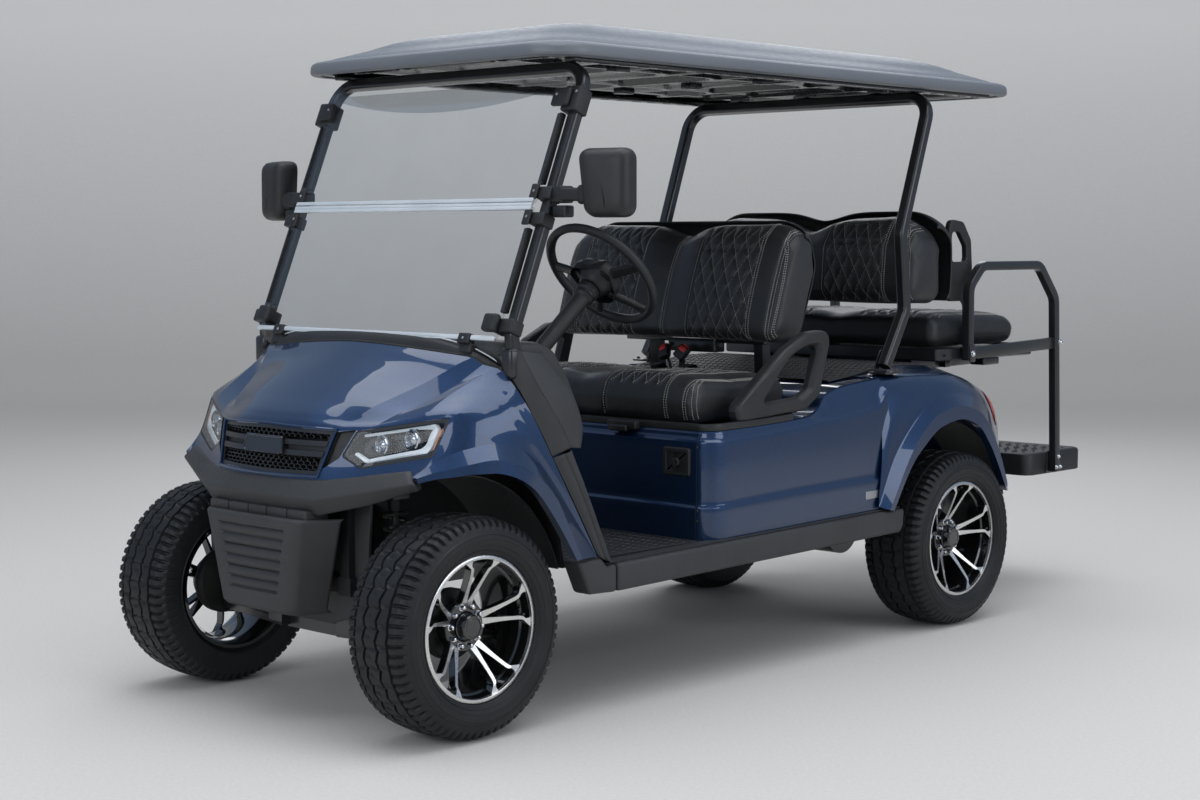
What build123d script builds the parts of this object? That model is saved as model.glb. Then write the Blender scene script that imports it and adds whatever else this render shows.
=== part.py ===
"""Four-seat golf cart with a roof, a folding windshield and a rear-facing rear seat.

Millimetres. The front faces -Y, the driver's side is +X, up is +Z. The origin is on the
ground under the middle of the overall length. Distances along Y are given from the front
axle, or from the rear axle where a table says so, and fy() turns them into the frame.
"""
from build123d import *
from math import sin, cos, radians
import os

os.makedirs("parts", exist_ok=True)

# ---------------------------------------------------------------- driving dimensions
WHEELBASE = 2200            # front axle to rear axle
TAIL_REACH = 1015           # rear axle to the rearmost surface
TYRE_RADIUS = 292           # 23 inch tyre
TYRE_WIDTH = 229
TYRE_SHOULDER = 26
RIM_RADIUS = 192            # rim flange
RIM_WIDTH = 200
WHEEL_OUTSIDE = 633         # centre plane to the tyre's outer face
PANEL = 5                   # moulded body panel
FLOOR_TOP = 408             # floor pan's upper face
FLOOR_THICK = 8
SEAT_HEIGHT = 735           # top of the seat box at its front
SEAT_BOX_FRONT = 950        # front axle to the seat box's front face
SEAT_DEPTH = 475            # seat box's front face to the back of the front cushion's place
DECK_HEIGHT = 848           # top of the body ahead of the rear arch
ROOF_LENGTH = 2280
ROOF_WIDTH = 1127
ROOF_RIM_HEIGHT = 1795
ROOF_RISE = 131             # rim to crown
ROOF_CENTRE = 1471          # front axle to the roof's middle
ROOF_WALL = 6
POST_SPACING = 531          # centre plane to a windshield post
POST_SIZE = 34
KINGPIN_X = 460
FIT = 0.05                  # running fit, radial
GAP = 2                     # between neighbouring panels
SEAM = 1                    # between pieces that are screwed together

REAR_REACH = WHEELBASE + TAIL_REACH
REAR_BODY_START = WHEELBASE - 400               # seam ahead of the rear arch
REAR_BODY_END = WHEELBASE + 405
ROOF_CROWN = ROOF_RIM_HEIGHT + ROOF_RISE
ROOF_RIM_LOW = ROOF_RIM_HEIGHT - 12
AXLE_Z = TYRE_RADIUS
WHEEL_X = WHEEL_OUTSIDE - TYRE_WIDTH / 2
FRONT_AXLE = (TYRE_RADIUS - REAR_REACH) / 2     # the front tyres are the foremost surface
BEYOND = 700                                    # past the body's sides, for cutting solids


def fy(distance):
    """Place along Y of a point that lies this far behind the front axle."""
    return FRONT_AXLE + distance


def side_points(points, axle=0):
    """Side-view points, given as (distance behind an axle, height)."""
    return [(fy(axle + y), z) for y, z in points]


def finish(piece, name):
    piece.part.label = name
    export_step(piece.part, f"parts/{name}.step")


def front_plane(distance):
    """Plane across the vehicle that is seen from the front."""
    return Plane(origin=(0, fy(distance), 0), x_dir=(1, 0, 0), z_dir=(0, -1, 0))


def side_prism(points, half_width, axle=0):
    """Side-view outline, extruded across the vehicle."""
    with BuildPart() as prism:
        with BuildSketch(Plane.YZ):
            with BuildLine():
                Polyline(*side_points(points, axle), close=True)
            make_face()
        extrude(amount=half_width, both=True)
    return prism.part


def side_slabs(points, inner, thick, corner=0, axle=0):
    """Side-view outline as a slab on each side, from inner outwards."""
    with BuildPart() as slabs:
        with BuildSketch(Plane.YZ.offset(inner)) as outline:
            with BuildLine():
                Polyline(*side_points(points, axle), close=True)
            make_face()
            if corner:
                fillet(outline.vertices(), corner)
        extrude(amount=thick)
        mirror(about=Plane.YZ)
    return slabs.part


def arch_disc(arch, grow, inner, outer):
    """Disc of a wheel arch with its radius grown, from inner to outer X, on both sides."""
    centre_y, centre_z, radius = arch
    with BuildPart() as disc:
        with BuildSketch(Plane.YZ.offset(inner)):
            with Locations((fy(centre_y), centre_z)):
                Circle(radius + grow)
        extrude(amount=outer - inner)
        mirror(about=Plane.YZ)
    return disc.part


# ---------------------------------------------------------------- body surface sections
# columns: distance behind the front axle, side half width, shoulder half width,
#          centre height, shoulder height, shoulder drop, bottom height
COWL_LOW, COWL_FOOT = 664, 427
NOSE_FRONT = -200
COWL_SECTIONS = [
    (NOSE_FRONT, 335, 300, 790, 770, 40, COWL_LOW),
    (-150, 455, 385, 850, 812, 60, COWL_LOW),
    (-90, 522, 440, 905, 858, 80, COWL_LOW),
    (-20, 580, 470, 960, 900, 100, COWL_LOW),
    (80, 608, 480, 1020, 950, 110, 600),
    (200, 612, 480, 1055, 985, 110, COWL_FOOT),
    (470, 612, 480, 1080, 1000, 110, COWL_FOOT),
]
# the same columns, with the distance behind the rear axle and heights above the deck's height
REAR_LOW = 430
REAR_SECTIONS = [
    (-400, 585, 520, 0, 0, 70, REAR_LOW),
    (-200, 604, 520, 20, 20, 90, REAR_LOW),
    (0, 608, 515, 18, 18, 100, REAR_LOW),
    (200, 596, 500, -18, -18, 100, REAR_LOW),
    (340, 560, 470, -78, -78, 90, REAR_LOW),
    (REAR_BODY_END - WHEELBASE, 520, 440, -148, -148, 80, REAR_LOW),
]
rear_sections = [(WHEELBASE + y, side, shoulder, DECK_HEIGHT + centre, DECK_HEIGHT + edge, drop, low)
                 for y, side, shoulder, centre, edge, drop, low in REAR_SECTIONS]
OPEN_BELOW = 200            # how far a hollow is run on through the bottom


def surface_solid(sections, inset, front=None, back=None):
    """Loft of closed cross-sections, pulled in by the inset, with its ends moved in by front and back."""
    ends = {0: front or 0, len(sections) - 1: -(back or 0)}
    with BuildPart() as body:
        for number, (y, side, shoulder, centre, edge, drop, bottom) in enumerate(sections):
            side, shoulder = side - inset, shoulder - inset * 0.7
            centre, edge = centre - inset, edge - inset
            base = bottom - (OPEN_BELOW if inset else 0)
            low = edge - drop
            mid = (shoulder + 0.72 * (side - shoulder), edge - 0.30 * drop)
            with BuildSketch(front_plane(y + ends.get(number, 0))):
                with BuildLine():
                    Line((-side, base), (side, base))
                    Line((side, base), (side, low))
                    ThreePointArc((side, low), mid, (shoulder, edge))
                    if centre - edge > 1:
                        ThreePointArc((shoulder, edge), (0, centre), (-shoulder, edge))
                    else:
                        Line((shoulder, edge), (-shoulder, edge))
                    ThreePointArc((-shoulder, edge), (-mid[0], mid[1]), (-side, low))
                    Line((-side, low), (-side, base))
                make_face()
        loft(ruled=True)
    return body.part


# columns: distance behind the front axle, height, radius
FRONT_ARCH = (-30, AXLE_Z - 2, TYRE_RADIUS + 108)
REAR_ARCH = (WHEELBASE - 8, AXLE_Z + 8, TYRE_RADIUS + 96)
FLARE_BAND = 62
FLARE_OUT = 628
FLARE_IN = 580

# ---------------------------------------------------------------- front cowl
COWL_TOP = 1300
COWL_BACK = [(150, COWL_TOP), (150, 985), (205, 850), (452, COWL_FOOT + 1), (452, 300), (BEYOND, 300),
             (BEYOND, COWL_TOP)]
HOOD_SPLIT = [(-400, 805), (-180, 805), (-54, 848), (150, 957), (400, 1010), (400, 1400), (-400, 1400)]
BELOW_HOOD = [(y, z - GAP if z < COWL_TOP else z) for y, z in HOOD_SPLIT]
NOSE_SKETCH = NOSE_FRONT - 60
GRILLE_TOP, GRILLE_BOTTOM = 792, 672
GRILLE_OUTLINE = [(-222, GRILLE_BOTTOM), (222, GRILLE_BOTTOM), (258, GRILLE_TOP - 6), (0, GRILLE_TOP),
                  (-258, GRILLE_TOP - 6)]
LAMP_OUTLINE = [(330, 728), (360, 794), (548, 840), (520, 738), (382, 700)]
LAMP_DEPTH = 60


def nose_prism(outline, grow, depth, both_sides):
    """Outline seen from the front, run back through the nose."""
    with BuildPart() as prism:
        with BuildSketch(front_plane(NOSE_SKETCH)):
            with BuildLine():
                Polyline(*outline, close=True)
            make_face()
            if grow:
                offset(amount=grow, kind=Kind.INTERSECTION)
        extrude(amount=-depth)
        if both_sides:
            mirror(about=Plane.YZ)
    return prism.part


cowl_outer = surface_solid(COWL_SECTIONS, 0)
cowl_inner = surface_solid(COWL_SECTIONS, PANEL, front=PANEL)
cowl_shell = cowl_outer - cowl_inner - side_prism(COWL_BACK, BEYOND) - arch_disc(FRONT_ARCH, 0, 0, BEYOND)
lamp_hole = nose_prism(LAMP_OUTLINE, GAP, 280, True)

with BuildPart() as hood:
    add(cowl_shell & side_prism(HOOD_SPLIT, BEYOND))
    add(lamp_hole, mode=Mode.SUBTRACT)
finish(hood, "hood")

flare_zone = side_prism([(-30, 420), (-30, 900), (460, 900), (460, COWL_FOOT + 1), (200, COWL_FOOT + 1)], BEYOND)
front_flare = (arch_disc(FRONT_ARCH, FLARE_BAND, FLARE_IN + PANEL, FLARE_OUT) - arch_disc(FRONT_ARCH, 0, 500, BEYOND))
front_flare = (front_flare & flare_zone) - side_prism(COWL_BACK, BEYOND) - side_prism(HOOD_SPLIT, BEYOND)

with BuildPart() as front_fascia:
    add(cowl_shell - side_prism(BELOW_HOOD, BEYOND))
    add(front_flare)
    add(lamp_hole, mode=Mode.SUBTRACT)
    add(nose_prism(GRILLE_OUTLINE, GAP, 160, False), mode=Mode.SUBTRACT)
finish(front_fascia, "front_fascia")

with BuildPart() as headlamps:
    add(nose_prism(LAMP_OUTLINE, 0, 280, True) & cowl_outer)
    add(surface_solid(COWL_SECTIONS, LAMP_DEPTH, front=LAMP_DEPTH), mode=Mode.SUBTRACT)
finish(headlamps, "headlamps")

GRILLE_SLOTS = [(752, 780), (706, 722), (680, 694)]     # low and high edges of the three openings
GRILLE_FACE, GRILLE_DEPTH, SLOT_DEPTH = NOSE_FRONT + 4, 26, 14
BADGE_HALF, BADGE_LOW, BADGE_HIGH = 62, 726, 764        # blank plate

with BuildPart() as grille:
    add(nose_prism(GRILLE_OUTLINE, 0, 160, False) & surface_solid(COWL_SECTIONS, 4) & side_prism(
        [(GRILLE_FACE, 600), (GRILLE_FACE, 850), (GRILLE_FACE + GRILLE_DEPTH, 850),
         (GRILLE_FACE + GRILLE_DEPTH, 600)], 300))
    with BuildSketch(front_plane(GRILLE_FACE)):
        for low, high in GRILLE_SLOTS:
            for slat in range(-8, 8):
                with Locations((25 * slat + 12.5, (low + high) / 2)):
                    Rectangle(19, high - low)
    extrude(amount=-SLOT_DEPTH, mode=Mode.SUBTRACT)
    with BuildSketch(front_plane(GRILLE_FACE)):
        with Locations((0, (BADGE_LOW + BADGE_HIGH) / 2)):
            RectangleRounded(2 * BADGE_HALF, BADGE_HIGH - BADGE_LOW, 6)
    extrude(amount=-SLOT_DEPTH)
finish(grille, "grille")

# ---------------------------------------------------------------- bumper and valance
# columns: centre plane to the corner, distance behind the front axle
BUMPER_LINE = [(0, -250), (225, -245), (375, -200), (500, -122)]
BUMPER_DEPTH = 46
BUMPER_LOW, BUMPER_TOP = 572, 662
BUMPER_LEDGE = 30           # height of the sloped upper part
BUMPER_SLOPE = 22
BUMPER_END_LOW = 645        # lower edge at the tips, which rises over the tyres


def bumper_sketch(z):
    with BuildSketch(Plane.XY.offset(z)) as outline:
        with BuildLine():
            outer = [(x, fy(y)) for x, y in BUMPER_LINE]
            inner = [(x - BUMPER_DEPTH * 0.35 if x else 0, fy(y + BUMPER_DEPTH)) for x, y in reversed(BUMPER_LINE)]
            Polyline(*(outer + inner), close=True)
        make_face()
        mirror(about=Plane.YZ)
    return outline.sketch


with BuildPart() as front_bumper:
    add(bumper_sketch(BUMPER_LOW))
    extrude(amount=BUMPER_TOP - BUMPER_LEDGE - BUMPER_LOW)
    add(bumper_sketch(BUMPER_TOP - BUMPER_LEDGE))
    extrude(amount=BUMPER_LEDGE, taper=BUMPER_SLOPE)
    with BuildSketch(Plane.XZ):
        with BuildLine():
            bumper_tip = BUMPER_LINE[-1][0] + 20
            Polyline((225, BUMPER_LOW - 10), (225, BUMPER_LOW), (bumper_tip, BUMPER_END_LOW),
                     (bumper_tip, BUMPER_LOW - 10), close=True)
        make_face()
        mirror(about=Plane.YZ)
    extrude(amount=REAR_REACH, both=True, mode=Mode.SUBTRACT)
finish(front_bumper, "front_bumper")

VALANCE_FRONT = 275
VALANCE_TOP, VALANCE_LOW = 560, 298
# columns: height, front half width, front, rear half width, rear
VALANCE_SECTIONS = [(VALANCE_TOP, 196, -VALANCE_FRONT, 238, -165), (VALANCE_LOW, 128, -246, 162, -150)]
RIB_COUNT, RIB_STEP, RIB_LOW = 6, 30, 355


def valance_solid(inset):
    with BuildPart() as body:
        for z, front_half, front, rear_half, rear in VALANCE_SECTIONS:
            with BuildSketch(Plane.XY.offset(z)):
                with BuildLine():
                    Polyline((-front_half + inset, fy(front + inset)), (front_half - inset, fy(front + inset)),
                             (rear_half - inset, fy(rear + 2 * inset)),
                             (-rear_half + inset, fy(rear + 2 * inset)), close=True)
                make_face()
        loft()
    return body.part


with BuildPart() as front_valance:
    add(valance_solid(0) - valance_solid(PANEL))
    for rib in range(RIB_COUNT):
        rib_z = RIB_LOW + rib * RIB_STEP
        slope = (rib_z - VALANCE_LOW) / (VALANCE_TOP - VALANCE_LOW)
        rib_y = VALANCE_SECTIONS[1][2] - slope * (VALANCE_FRONT + VALANCE_SECTIONS[1][2])
        with Locations((0, fy(rib_y + 4), rib_z)):
            Box(2 * (100 + 50 * slope), 8, 9)
finish(front_valance, "front_valance")

# ---------------------------------------------------------------- cowl side trims and sills
TRIM_IN, TRIM_OUT = 548, 606
SILL_OUT = TRIM_OUT + 4
TRIM_OUTLINE = [(153, 985), (253, 950), (316, 766), (340, 716), (487, FLOOR_TOP), (455, COWL_FOOT - 1), (208, 851)]
SILL_REAR = REAR_BODY_START + 48
SILL_OUTLINE = [(356, FLOOR_TOP + 16), (437, FLOOR_TOP - 88), (520, FLOOR_TOP - 80), (SILL_REAR, FLOOR_TOP - 56),
                (SILL_REAR + 14, FLOOR_TOP + 20), (560, FLOOR_TOP - 2), (489, FLOOR_TOP - 4), (455, FLOOR_TOP + 16)]

with BuildPart() as cowl_trims:
    add(side_slabs(TRIM_OUTLINE, TRIM_IN, TRIM_OUT - TRIM_IN))
finish(cowl_trims, "cowl_trims")

with BuildPart() as sills:
    add(side_slabs(SILL_OUTLINE, TRIM_IN, SILL_OUT - TRIM_IN))
finish(sills, "sills")

# ---------------------------------------------------------------- canopy strut lines
POST_FOOT_Z, POST_KNEE_Z = 990, 1042
POST_LEAN = 0.41                        # distance back for each height
POST_FOOT_Y = 194
HOOP_RADIUS = 75
HOOP_Z = ROOF_RIM_LOW - SEAM - 23       # centre of the hoops' cross bars, under the roof liner
REAR_POST_X = 520
REAR_LEAN = 0.358
REAR_BEND = (-236, 1312)                # behind the rear axle, height
REAR_KNEE = (-210, 1060)
REAR_FOOT = (-320, 880)
REAR_POST_SIZE = POST_SIZE + 4


def post_y(z):
    """Distance behind the front axle of the windshield post's middle at this height."""
    return POST_FOOT_Y + POST_LEAN * (z - POST_KNEE_Z)


def rear_post_y(z):
    return WHEELBASE + REAR_BEND[0] + REAR_LEAN * (z - REAR_BEND[1])


FRONT_POST_LINE = [(post_y(HOOP_Z), HOOP_Z), (POST_FOOT_Y, POST_KNEE_Z), (POST_FOOT_Y + 2, POST_FOOT_Z)]
REAR_POST_LINE = [(rear_post_y(HOOP_Z), HOOP_Z), (WHEELBASE + REAR_BEND[0], REAR_BEND[1]),
                  (WHEELBASE + REAR_KNEE[0], REAR_KNEE[1]), (WHEELBASE + REAR_FOOT[0], REAR_FOOT[1])]


def hoop(points, x, size, bend):
    """Square tube bent up one side, across under the roof and down the other side."""
    corners = [(0, *points[0])] + [(x, *point) for point in points]
    lean = Vector(0, points[1][0] - points[0][0], points[1][1] - points[0][1])
    with BuildPart() as tube:
        with BuildLine() as path:
            FilletPolyline(*[(cx, fy(y), z) for cx, y, z in corners],
                           radius=[HOOP_RADIUS] + [bend] * (len(corners) - 3))
        with BuildSketch(Plane(origin=path.line @ 0, x_dir=lean, z_dir=(1, 0, 0))):
            RectangleRounded(size, size, size * 0.28)
        sweep()
        mirror(about=Plane.YZ)
    return tube.part


FRONT_BEND, REAR_BEND_RADIUS = 20, 50

with BuildPart() as canopy_struts:
    add(hoop(FRONT_POST_LINE, POST_SPACING, POST_SIZE, FRONT_BEND))
    add(hoop(REAR_POST_LINE, REAR_POST_X, REAR_POST_SIZE, REAR_BEND_RADIUS))
finish(canopy_struts, "canopy_struts")

# ---------------------------------------------------------------- chassis
TOWER_TOP = 606
RAIL_X, RAIL_WIDTH, RAIL_LOW, RAIL_TOP = 235, 50, 350, 400
RAIL_FRONT, RAIL_REAR = -140, WHEELBASE + 390
BUMPER_MOUNT_TOP = 655
TAIL_BAR_END = REAR_REACH - 215
REAR_SHOCK_Y = WHEELBASE + 60
CROSS_PLACES = (RAIL_FRONT + 30, 330, 940, WHEELBASE - 440, RAIL_REAR - 30)
HITCH_SPACING, HITCH_HOLE = 120, 5.5

with BuildPart() as chassis_frame:
    rail_middle = (RAIL_LOW + RAIL_TOP) / 2
    with Locations((RAIL_X, fy((RAIL_FRONT + RAIL_REAR) / 2), rail_middle)):
        Box(RAIL_WIDTH, RAIL_REAR - RAIL_FRONT, RAIL_TOP - RAIL_LOW)
    with Locations((RAIL_X, fy(RAIL_FRONT + 20), (RAIL_LOW + BUMPER_MOUNT_TOP) / 2)):
        Box(36, 36, BUMPER_MOUNT_TOP - RAIL_LOW)
    with Locations((RAIL_X, fy((RAIL_REAR - 20 + TAIL_BAR_END) / 2), FLOOR_TOP)):
        Box(40, TAIL_BAR_END - RAIL_REAR + 20, 34)
    for tower_y in (-20, REAR_SHOCK_Y):
        with Locations((RAIL_X, fy(tower_y), (RAIL_TOP + TOWER_TOP + 12) / 2)):
            Box(30, 56, TOWER_TOP + 12 - RAIL_TOP)
        with Locations((RAIL_X + 45, fy(tower_y), TOWER_TOP + 6)):
            Box(100, 56, 12)
    mirror(about=Plane.YZ)
    for cross_y in CROSS_PLACES:
        with Locations((0, fy(cross_y), rail_middle)):
            Box(2 * RAIL_X, 44, 40)
    with Locations(*[Location((x, fy(CROSS_PLACES[-1]), rail_middle), (90, 0, 0))
                     for x in (-HITCH_SPACING / 2, HITCH_SPACING / 2)]):
        Hole(HITCH_HOLE, 60)
finish(chassis_frame, "chassis_frame")

# ---------------------------------------------------------------- front suspension
PIN_RADIUS = 11
BOSS_RADIUS = 22
LOWER_ARM_Z, UPPER_ARM_Z, ARM_THICK = AXLE_Z - 66, AXLE_Z + 42, 20
ARM_INNER_X = 120

with BuildPart() as front_suspension:
    with Locations((0, fy(0), LOWER_ARM_Z)):
        Box(260, 90, 34)
    for arm_z, ends in ((LOWER_ARM_Z, (1, -1)), (UPPER_ARM_Z, (-1,))):
        with BuildSketch(Plane.XY.offset(arm_z - ARM_THICK / 2)):
            for end in ends:
                with BuildLine():
                    Polyline((ARM_INNER_X, fy(-40 * end)), (ARM_INNER_X, fy(-75 * end)),
                             (KINGPIN_X, fy(-16 * end)), (KINGPIN_X, fy(8 * end)), close=True)
                make_face()
            with Locations((KINGPIN_X, fy(0))):
                Circle(BOSS_RADIUS)
                Circle(PIN_RADIUS + FIT, mode=Mode.SUBTRACT)
        extrude(amount=ARM_THICK)
    with Locations((ARM_INNER_X + 30, fy(0), (LOWER_ARM_Z + RAIL_LOW - GAP) / 2)):
        Box(60, 150, RAIL_LOW - GAP - LOWER_ARM_Z)
    mirror(about=Plane.YZ)
finish(front_suspension, "front_suspension")

SHOCK_BODY, SHOCK_COIL, COIL_WIRE, COIL_TURNS = 17, 30, 9, 7
# columns: foot x, y and z, head x, y and z, with y behind the front axle
SHOCK_PLACES = [(330, -20, LOWER_ARM_Z + 14, 300, -20, TOWER_TOP - 4),
                (300, REAR_SHOCK_Y, AXLE_Z + 30, 300, REAR_SHOCK_Y, TOWER_TOP - 2)]

with BuildPart() as shock_absorbers:
    for foot_x, foot_y, foot_z, head_x, head_y, head_z in SHOCK_PLACES:
        foot, head = Vector(foot_x, fy(foot_y), foot_z), Vector(head_x, fy(head_y), head_z)
        along = (head - foot).normalized()
        length = (head - foot).length
        with BuildSketch(Plane(origin=foot, z_dir=along)):
            Circle(SHOCK_BODY)
        extrude(amount=length)
        for turn in range(COIL_TURNS):
            with BuildSketch(Plane(origin=foot + along * (length * (0.30 + 0.085 * turn)), z_dir=along)):
                Circle(SHOCK_COIL)
            extrude(amount=COIL_WIRE)
    mirror(about=Plane.YZ)
finish(shock_absorbers, "shock_absorbers")

# ---------------------------------------------------------------- steering knuckles and tie rod
HUB_RADIUS, HUB_FACE = 62, 556
ARM_PIN_Y = 118             # tie rod pin behind the kingpin, straight back, so that the linkage is a parallelogram
ARM_PIN_RADIUS = 7
STEER_ARM_Z = AXLE_Z - 30
STEER_ARM_THICK = 14

for side, name in ((1, "knuckle_left"), (-1, "knuckle_right")):
    with BuildPart() as knuckle:
        low, high = LOWER_ARM_Z + ARM_THICK / 2 + SEAM, UPPER_ARM_Z - ARM_THICK / 2 - SEAM
        with Locations((side * KINGPIN_X, fy(0), (low + high) / 2)):
            Cylinder(BOSS_RADIUS + 4, high - low)
        with Locations((side * KINGPIN_X, fy(0), (LOWER_ARM_Z + UPPER_ARM_Z) / 2)):
            Cylinder(PIN_RADIUS, UPPER_ARM_Z - LOWER_ARM_Z + ARM_THICK + 24)
        with BuildSketch(Plane.YZ.offset(side * KINGPIN_X)):
            with Locations((fy(0), AXLE_Z)):
                Circle(18)
        extrude(amount=side * (HUB_FACE - 3 - KINGPIN_X))
        with BuildSketch(Plane.XY.offset(STEER_ARM_Z)):
            with Locations((side * KINGPIN_X, fy(ARM_PIN_Y / 2))):
                Rectangle(26, ARM_PIN_Y)
            with Locations((side * KINGPIN_X, fy(ARM_PIN_Y))):
                Circle(16)
                Circle(ARM_PIN_RADIUS, mode=Mode.SUBTRACT)
        extrude(amount=STEER_ARM_THICK)
    finish(knuckle, name)

with BuildPart() as tie_rod:
    rod_z = STEER_ARM_Z - SEAM - 9
    with Locations((0, fy(ARM_PIN_Y), rod_z)):
        Cylinder(8, 2 * KINGPIN_X - 20, rotation=(0, 90, 0))
    for side in (1, -1):
        with Locations((side * KINGPIN_X, fy(ARM_PIN_Y), rod_z)):
            Cylinder(13, 18)
        with Locations((side * KINGPIN_X, fy(ARM_PIN_Y), rod_z + 17)):
            Cylinder(ARM_PIN_RADIUS - FIT, 26)
finish(tie_rod, "tie_rod")

# ---------------------------------------------------------------- wheels
SPOKE_PAIRS = 5
RIM_INSIDE = RIM_RADIUS - 24
LUG_COUNT, LUG_RING, LUG_SIZE = 8, 46, 8
CAP_RADIUS = 32
SPOKE_SPREAD = (13, 19)     # half angle of a pair at the hub and at the rim
SPOKE_REACH = (50, RIM_RADIUS - 16)
SPOKE_HALF = (11, 8)
SPOKE_DEPTH = 26


def rim_profile(outward):
    """Half section of the wheel barrel: distance along the axle, radius."""
    half = RIM_WIDTH / 2
    points = [(-half, RIM_RADIUS), (-half, RIM_RADIUS - 12), (-half + 30, RIM_INSIDE), (half - 40, RIM_INSIDE),
              (half - 12, RIM_RADIUS - 14), (half, RIM_RADIUS - 10), (half, RIM_RADIUS), (half - 8, RIM_RADIUS),
              (half - 14, RIM_RADIUS - 8), (half - 44, RIM_INSIDE + 6), (-half + 34, RIM_INSIDE + 6),
              (-half + 10, RIM_RADIUS - 8), (-half + 6, RIM_RADIUS)]
    return [(outward * a, r) for a, r in points]


def spoke_corners(middle, lean):
    """Corners of one spoke of a pair that opens towards the rim, in the plane of the wheel's face."""
    foot, tip = [Vector(reach * cos(radians(middle + lean * spread)), reach * sin(radians(middle + lean * spread)))
                 for reach, spread in zip(SPOKE_REACH, SPOKE_SPREAD)]
    across = (tip - foot).normalized().rotate(Axis.Z, 90)
    return [foot - across * SPOKE_HALF[0], foot + across * SPOKE_HALF[0],
            tip + across * SPOKE_HALF[1], tip - across * SPOKE_HALF[1]]


def build_rim(name, side, axle_y):
    centre_x = side * WHEEL_X
    with BuildPart() as rim:
        with BuildSketch(Plane(origin=(centre_x, axle_y, AXLE_Z), x_dir=(1, 0, 0), z_dir=(0, -1, 0))):
            with BuildLine():
                Polyline(*rim_profile(side), close=True)
            make_face()
        revolve(axis=Axis((centre_x, axle_y, AXLE_Z), (1, 0, 0)))
        face = Plane(origin=(side * HUB_FACE, axle_y, AXLE_Z), x_dir=(0, 1, 0), z_dir=(side, 0, 0))
        with BuildSketch(face):
            Circle(HUB_RADIUS)
        extrude(amount=34)
        with BuildSketch(face.offset(34)):
            Circle(CAP_RADIUS)
        extrude(amount=16)
        with BuildSketch(face.offset(34)):
            with PolarLocations(LUG_RING, LUG_COUNT):
                RegularPolygon(LUG_SIZE, 6)
        extrude(amount=14)
        with BuildSketch(face.offset(12)):
            for pair in range(SPOKE_PAIRS):
                for lean in (-1, 1):
                    with BuildLine():
                        Polyline(*spoke_corners(360 * pair / SPOKE_PAIRS + 90, lean), close=True)
                    make_face()
        extrude(amount=SPOKE_DEPTH)
    finish(rim, name)


def build_tyre(name, side, axle_y):
    centre_x = side * WHEEL_X
    half, bead = TYRE_WIDTH / 2, RIM_RADIUS + 0.5
    shoulder = (half - 14, TYRE_RADIUS - TYRE_SHOULDER)
    edge = (half - 36, TYRE_RADIUS - 4)
    with BuildPart() as tyre:
        with BuildSketch(Plane(origin=(centre_x, axle_y, AXLE_Z), x_dir=(1, 0, 0), z_dir=(0, -1, 0))):
            with BuildLine():
                Line((-half + 16, bead), (half - 16, bead))
                ThreePointArc((half - 16, bead), (half, (bead + TYRE_RADIUS) / 2 - 8), shoulder)
                ThreePointArc(shoulder, (half - 20, TYRE_RADIUS - 10), edge)
                ThreePointArc(edge, (0, TYRE_RADIUS), (-edge[0], edge[1]))
                ThreePointArc((-edge[0], edge[1]), (-half + 20, TYRE_RADIUS - 10), (-shoulder[0], shoulder[1]))
                ThreePointArc((-shoulder[0], shoulder[1]), (-half, (bead + TYRE_RADIUS) / 2 - 8), (-half + 16, bead))
            make_face()
        revolve(axis=Axis((centre_x, axle_y, AXLE_Z), (1, 0, 0)))
    finish(tyre, name)


for side, side_name in ((1, "left"), (-1, "right")):
    for axle_y, end_name in ((fy(0), "front"), (fy(WHEELBASE), "rear")):
        build_rim(f"rim_{end_name}_{side_name}", side, axle_y)
        build_tyre(f"tyre_{end_name}_{side_name}", side, axle_y)

# ---------------------------------------------------------------- rear axle
with BuildPart() as rear_axle:
    with Locations((0, fy(WHEELBASE), AXLE_Z)):
        Cylinder(32, 2 * (HUB_FACE - 3), rotation=(0, 90, 0))
    with Locations((60, fy(WHEELBASE), AXLE_Z - 10)):
        Cylinder(92, 120, rotation=(0, 90, 0))
    with Locations((-90, fy(WHEELBASE - 60), AXLE_Z)):
        Cylinder(84, 220, rotation=(0, 90, 0))
    with Locations((RAIL_X + 65, fy(REAR_SHOCK_Y), AXLE_Z), (-RAIL_X - 65, fy(REAR_SHOCK_Y), AXLE_Z)):
        Box(46, 130, 50)
finish(rear_axle, "rear_axle")

# ---------------------------------------------------------------- floor, toe board, inner arches
PAN_HALF = TRIM_IN - GAP
DASH_LOW = 730
LINER_THICK = 4
LINER_SPACE = 2             # behind the panels
FRONT_LINER_IN, REAR_LINER_IN = 270, 345

with BuildPart() as floor_pan:
    with BuildSketch(Plane.YZ):
        with BuildLine():
            Polyline(*side_points([(366, FLOOR_TOP - FLOOR_THICK), (REAR_BODY_START - 10, FLOOR_TOP - FLOOR_THICK),
                                   (REAR_BODY_START - 10, FLOOR_TOP), (374, FLOOR_TOP), (312, DASH_LOW - GAP),
                                   (304, DASH_LOW - GAP)]), close=True)
        make_face()
    extrude(amount=PAN_HALF, both=True)
    front_liner = (arch_disc(FRONT_ARCH, -LINER_SPACE, FRONT_LINER_IN, PAN_HALF)
                   - arch_disc(FRONT_ARCH, -LINER_SPACE - LINER_THICK, 0, BEYOND))
    front_liner = front_liner & side_prism([(-120, 560), (-120, 900), (600, 900), (600, 400), (340, 400)], BEYOND)
    add(front_liner & surface_solid(COWL_SECTIONS, PANEL + GAP))
    rear_liner = (arch_disc(REAR_ARCH, -LINER_SPACE, REAR_LINER_IN, PAN_HALF)
                  - arch_disc(REAR_ARCH, -LINER_SPACE - LINER_THICK, 0, BEYOND))
    add(rear_liner & side_prism([(-500, FLOOR_TOP - 4), (-500, 900), (500, 900), (500, FLOOR_TOP - 4)], BEYOND,
                                WHEELBASE))
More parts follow.
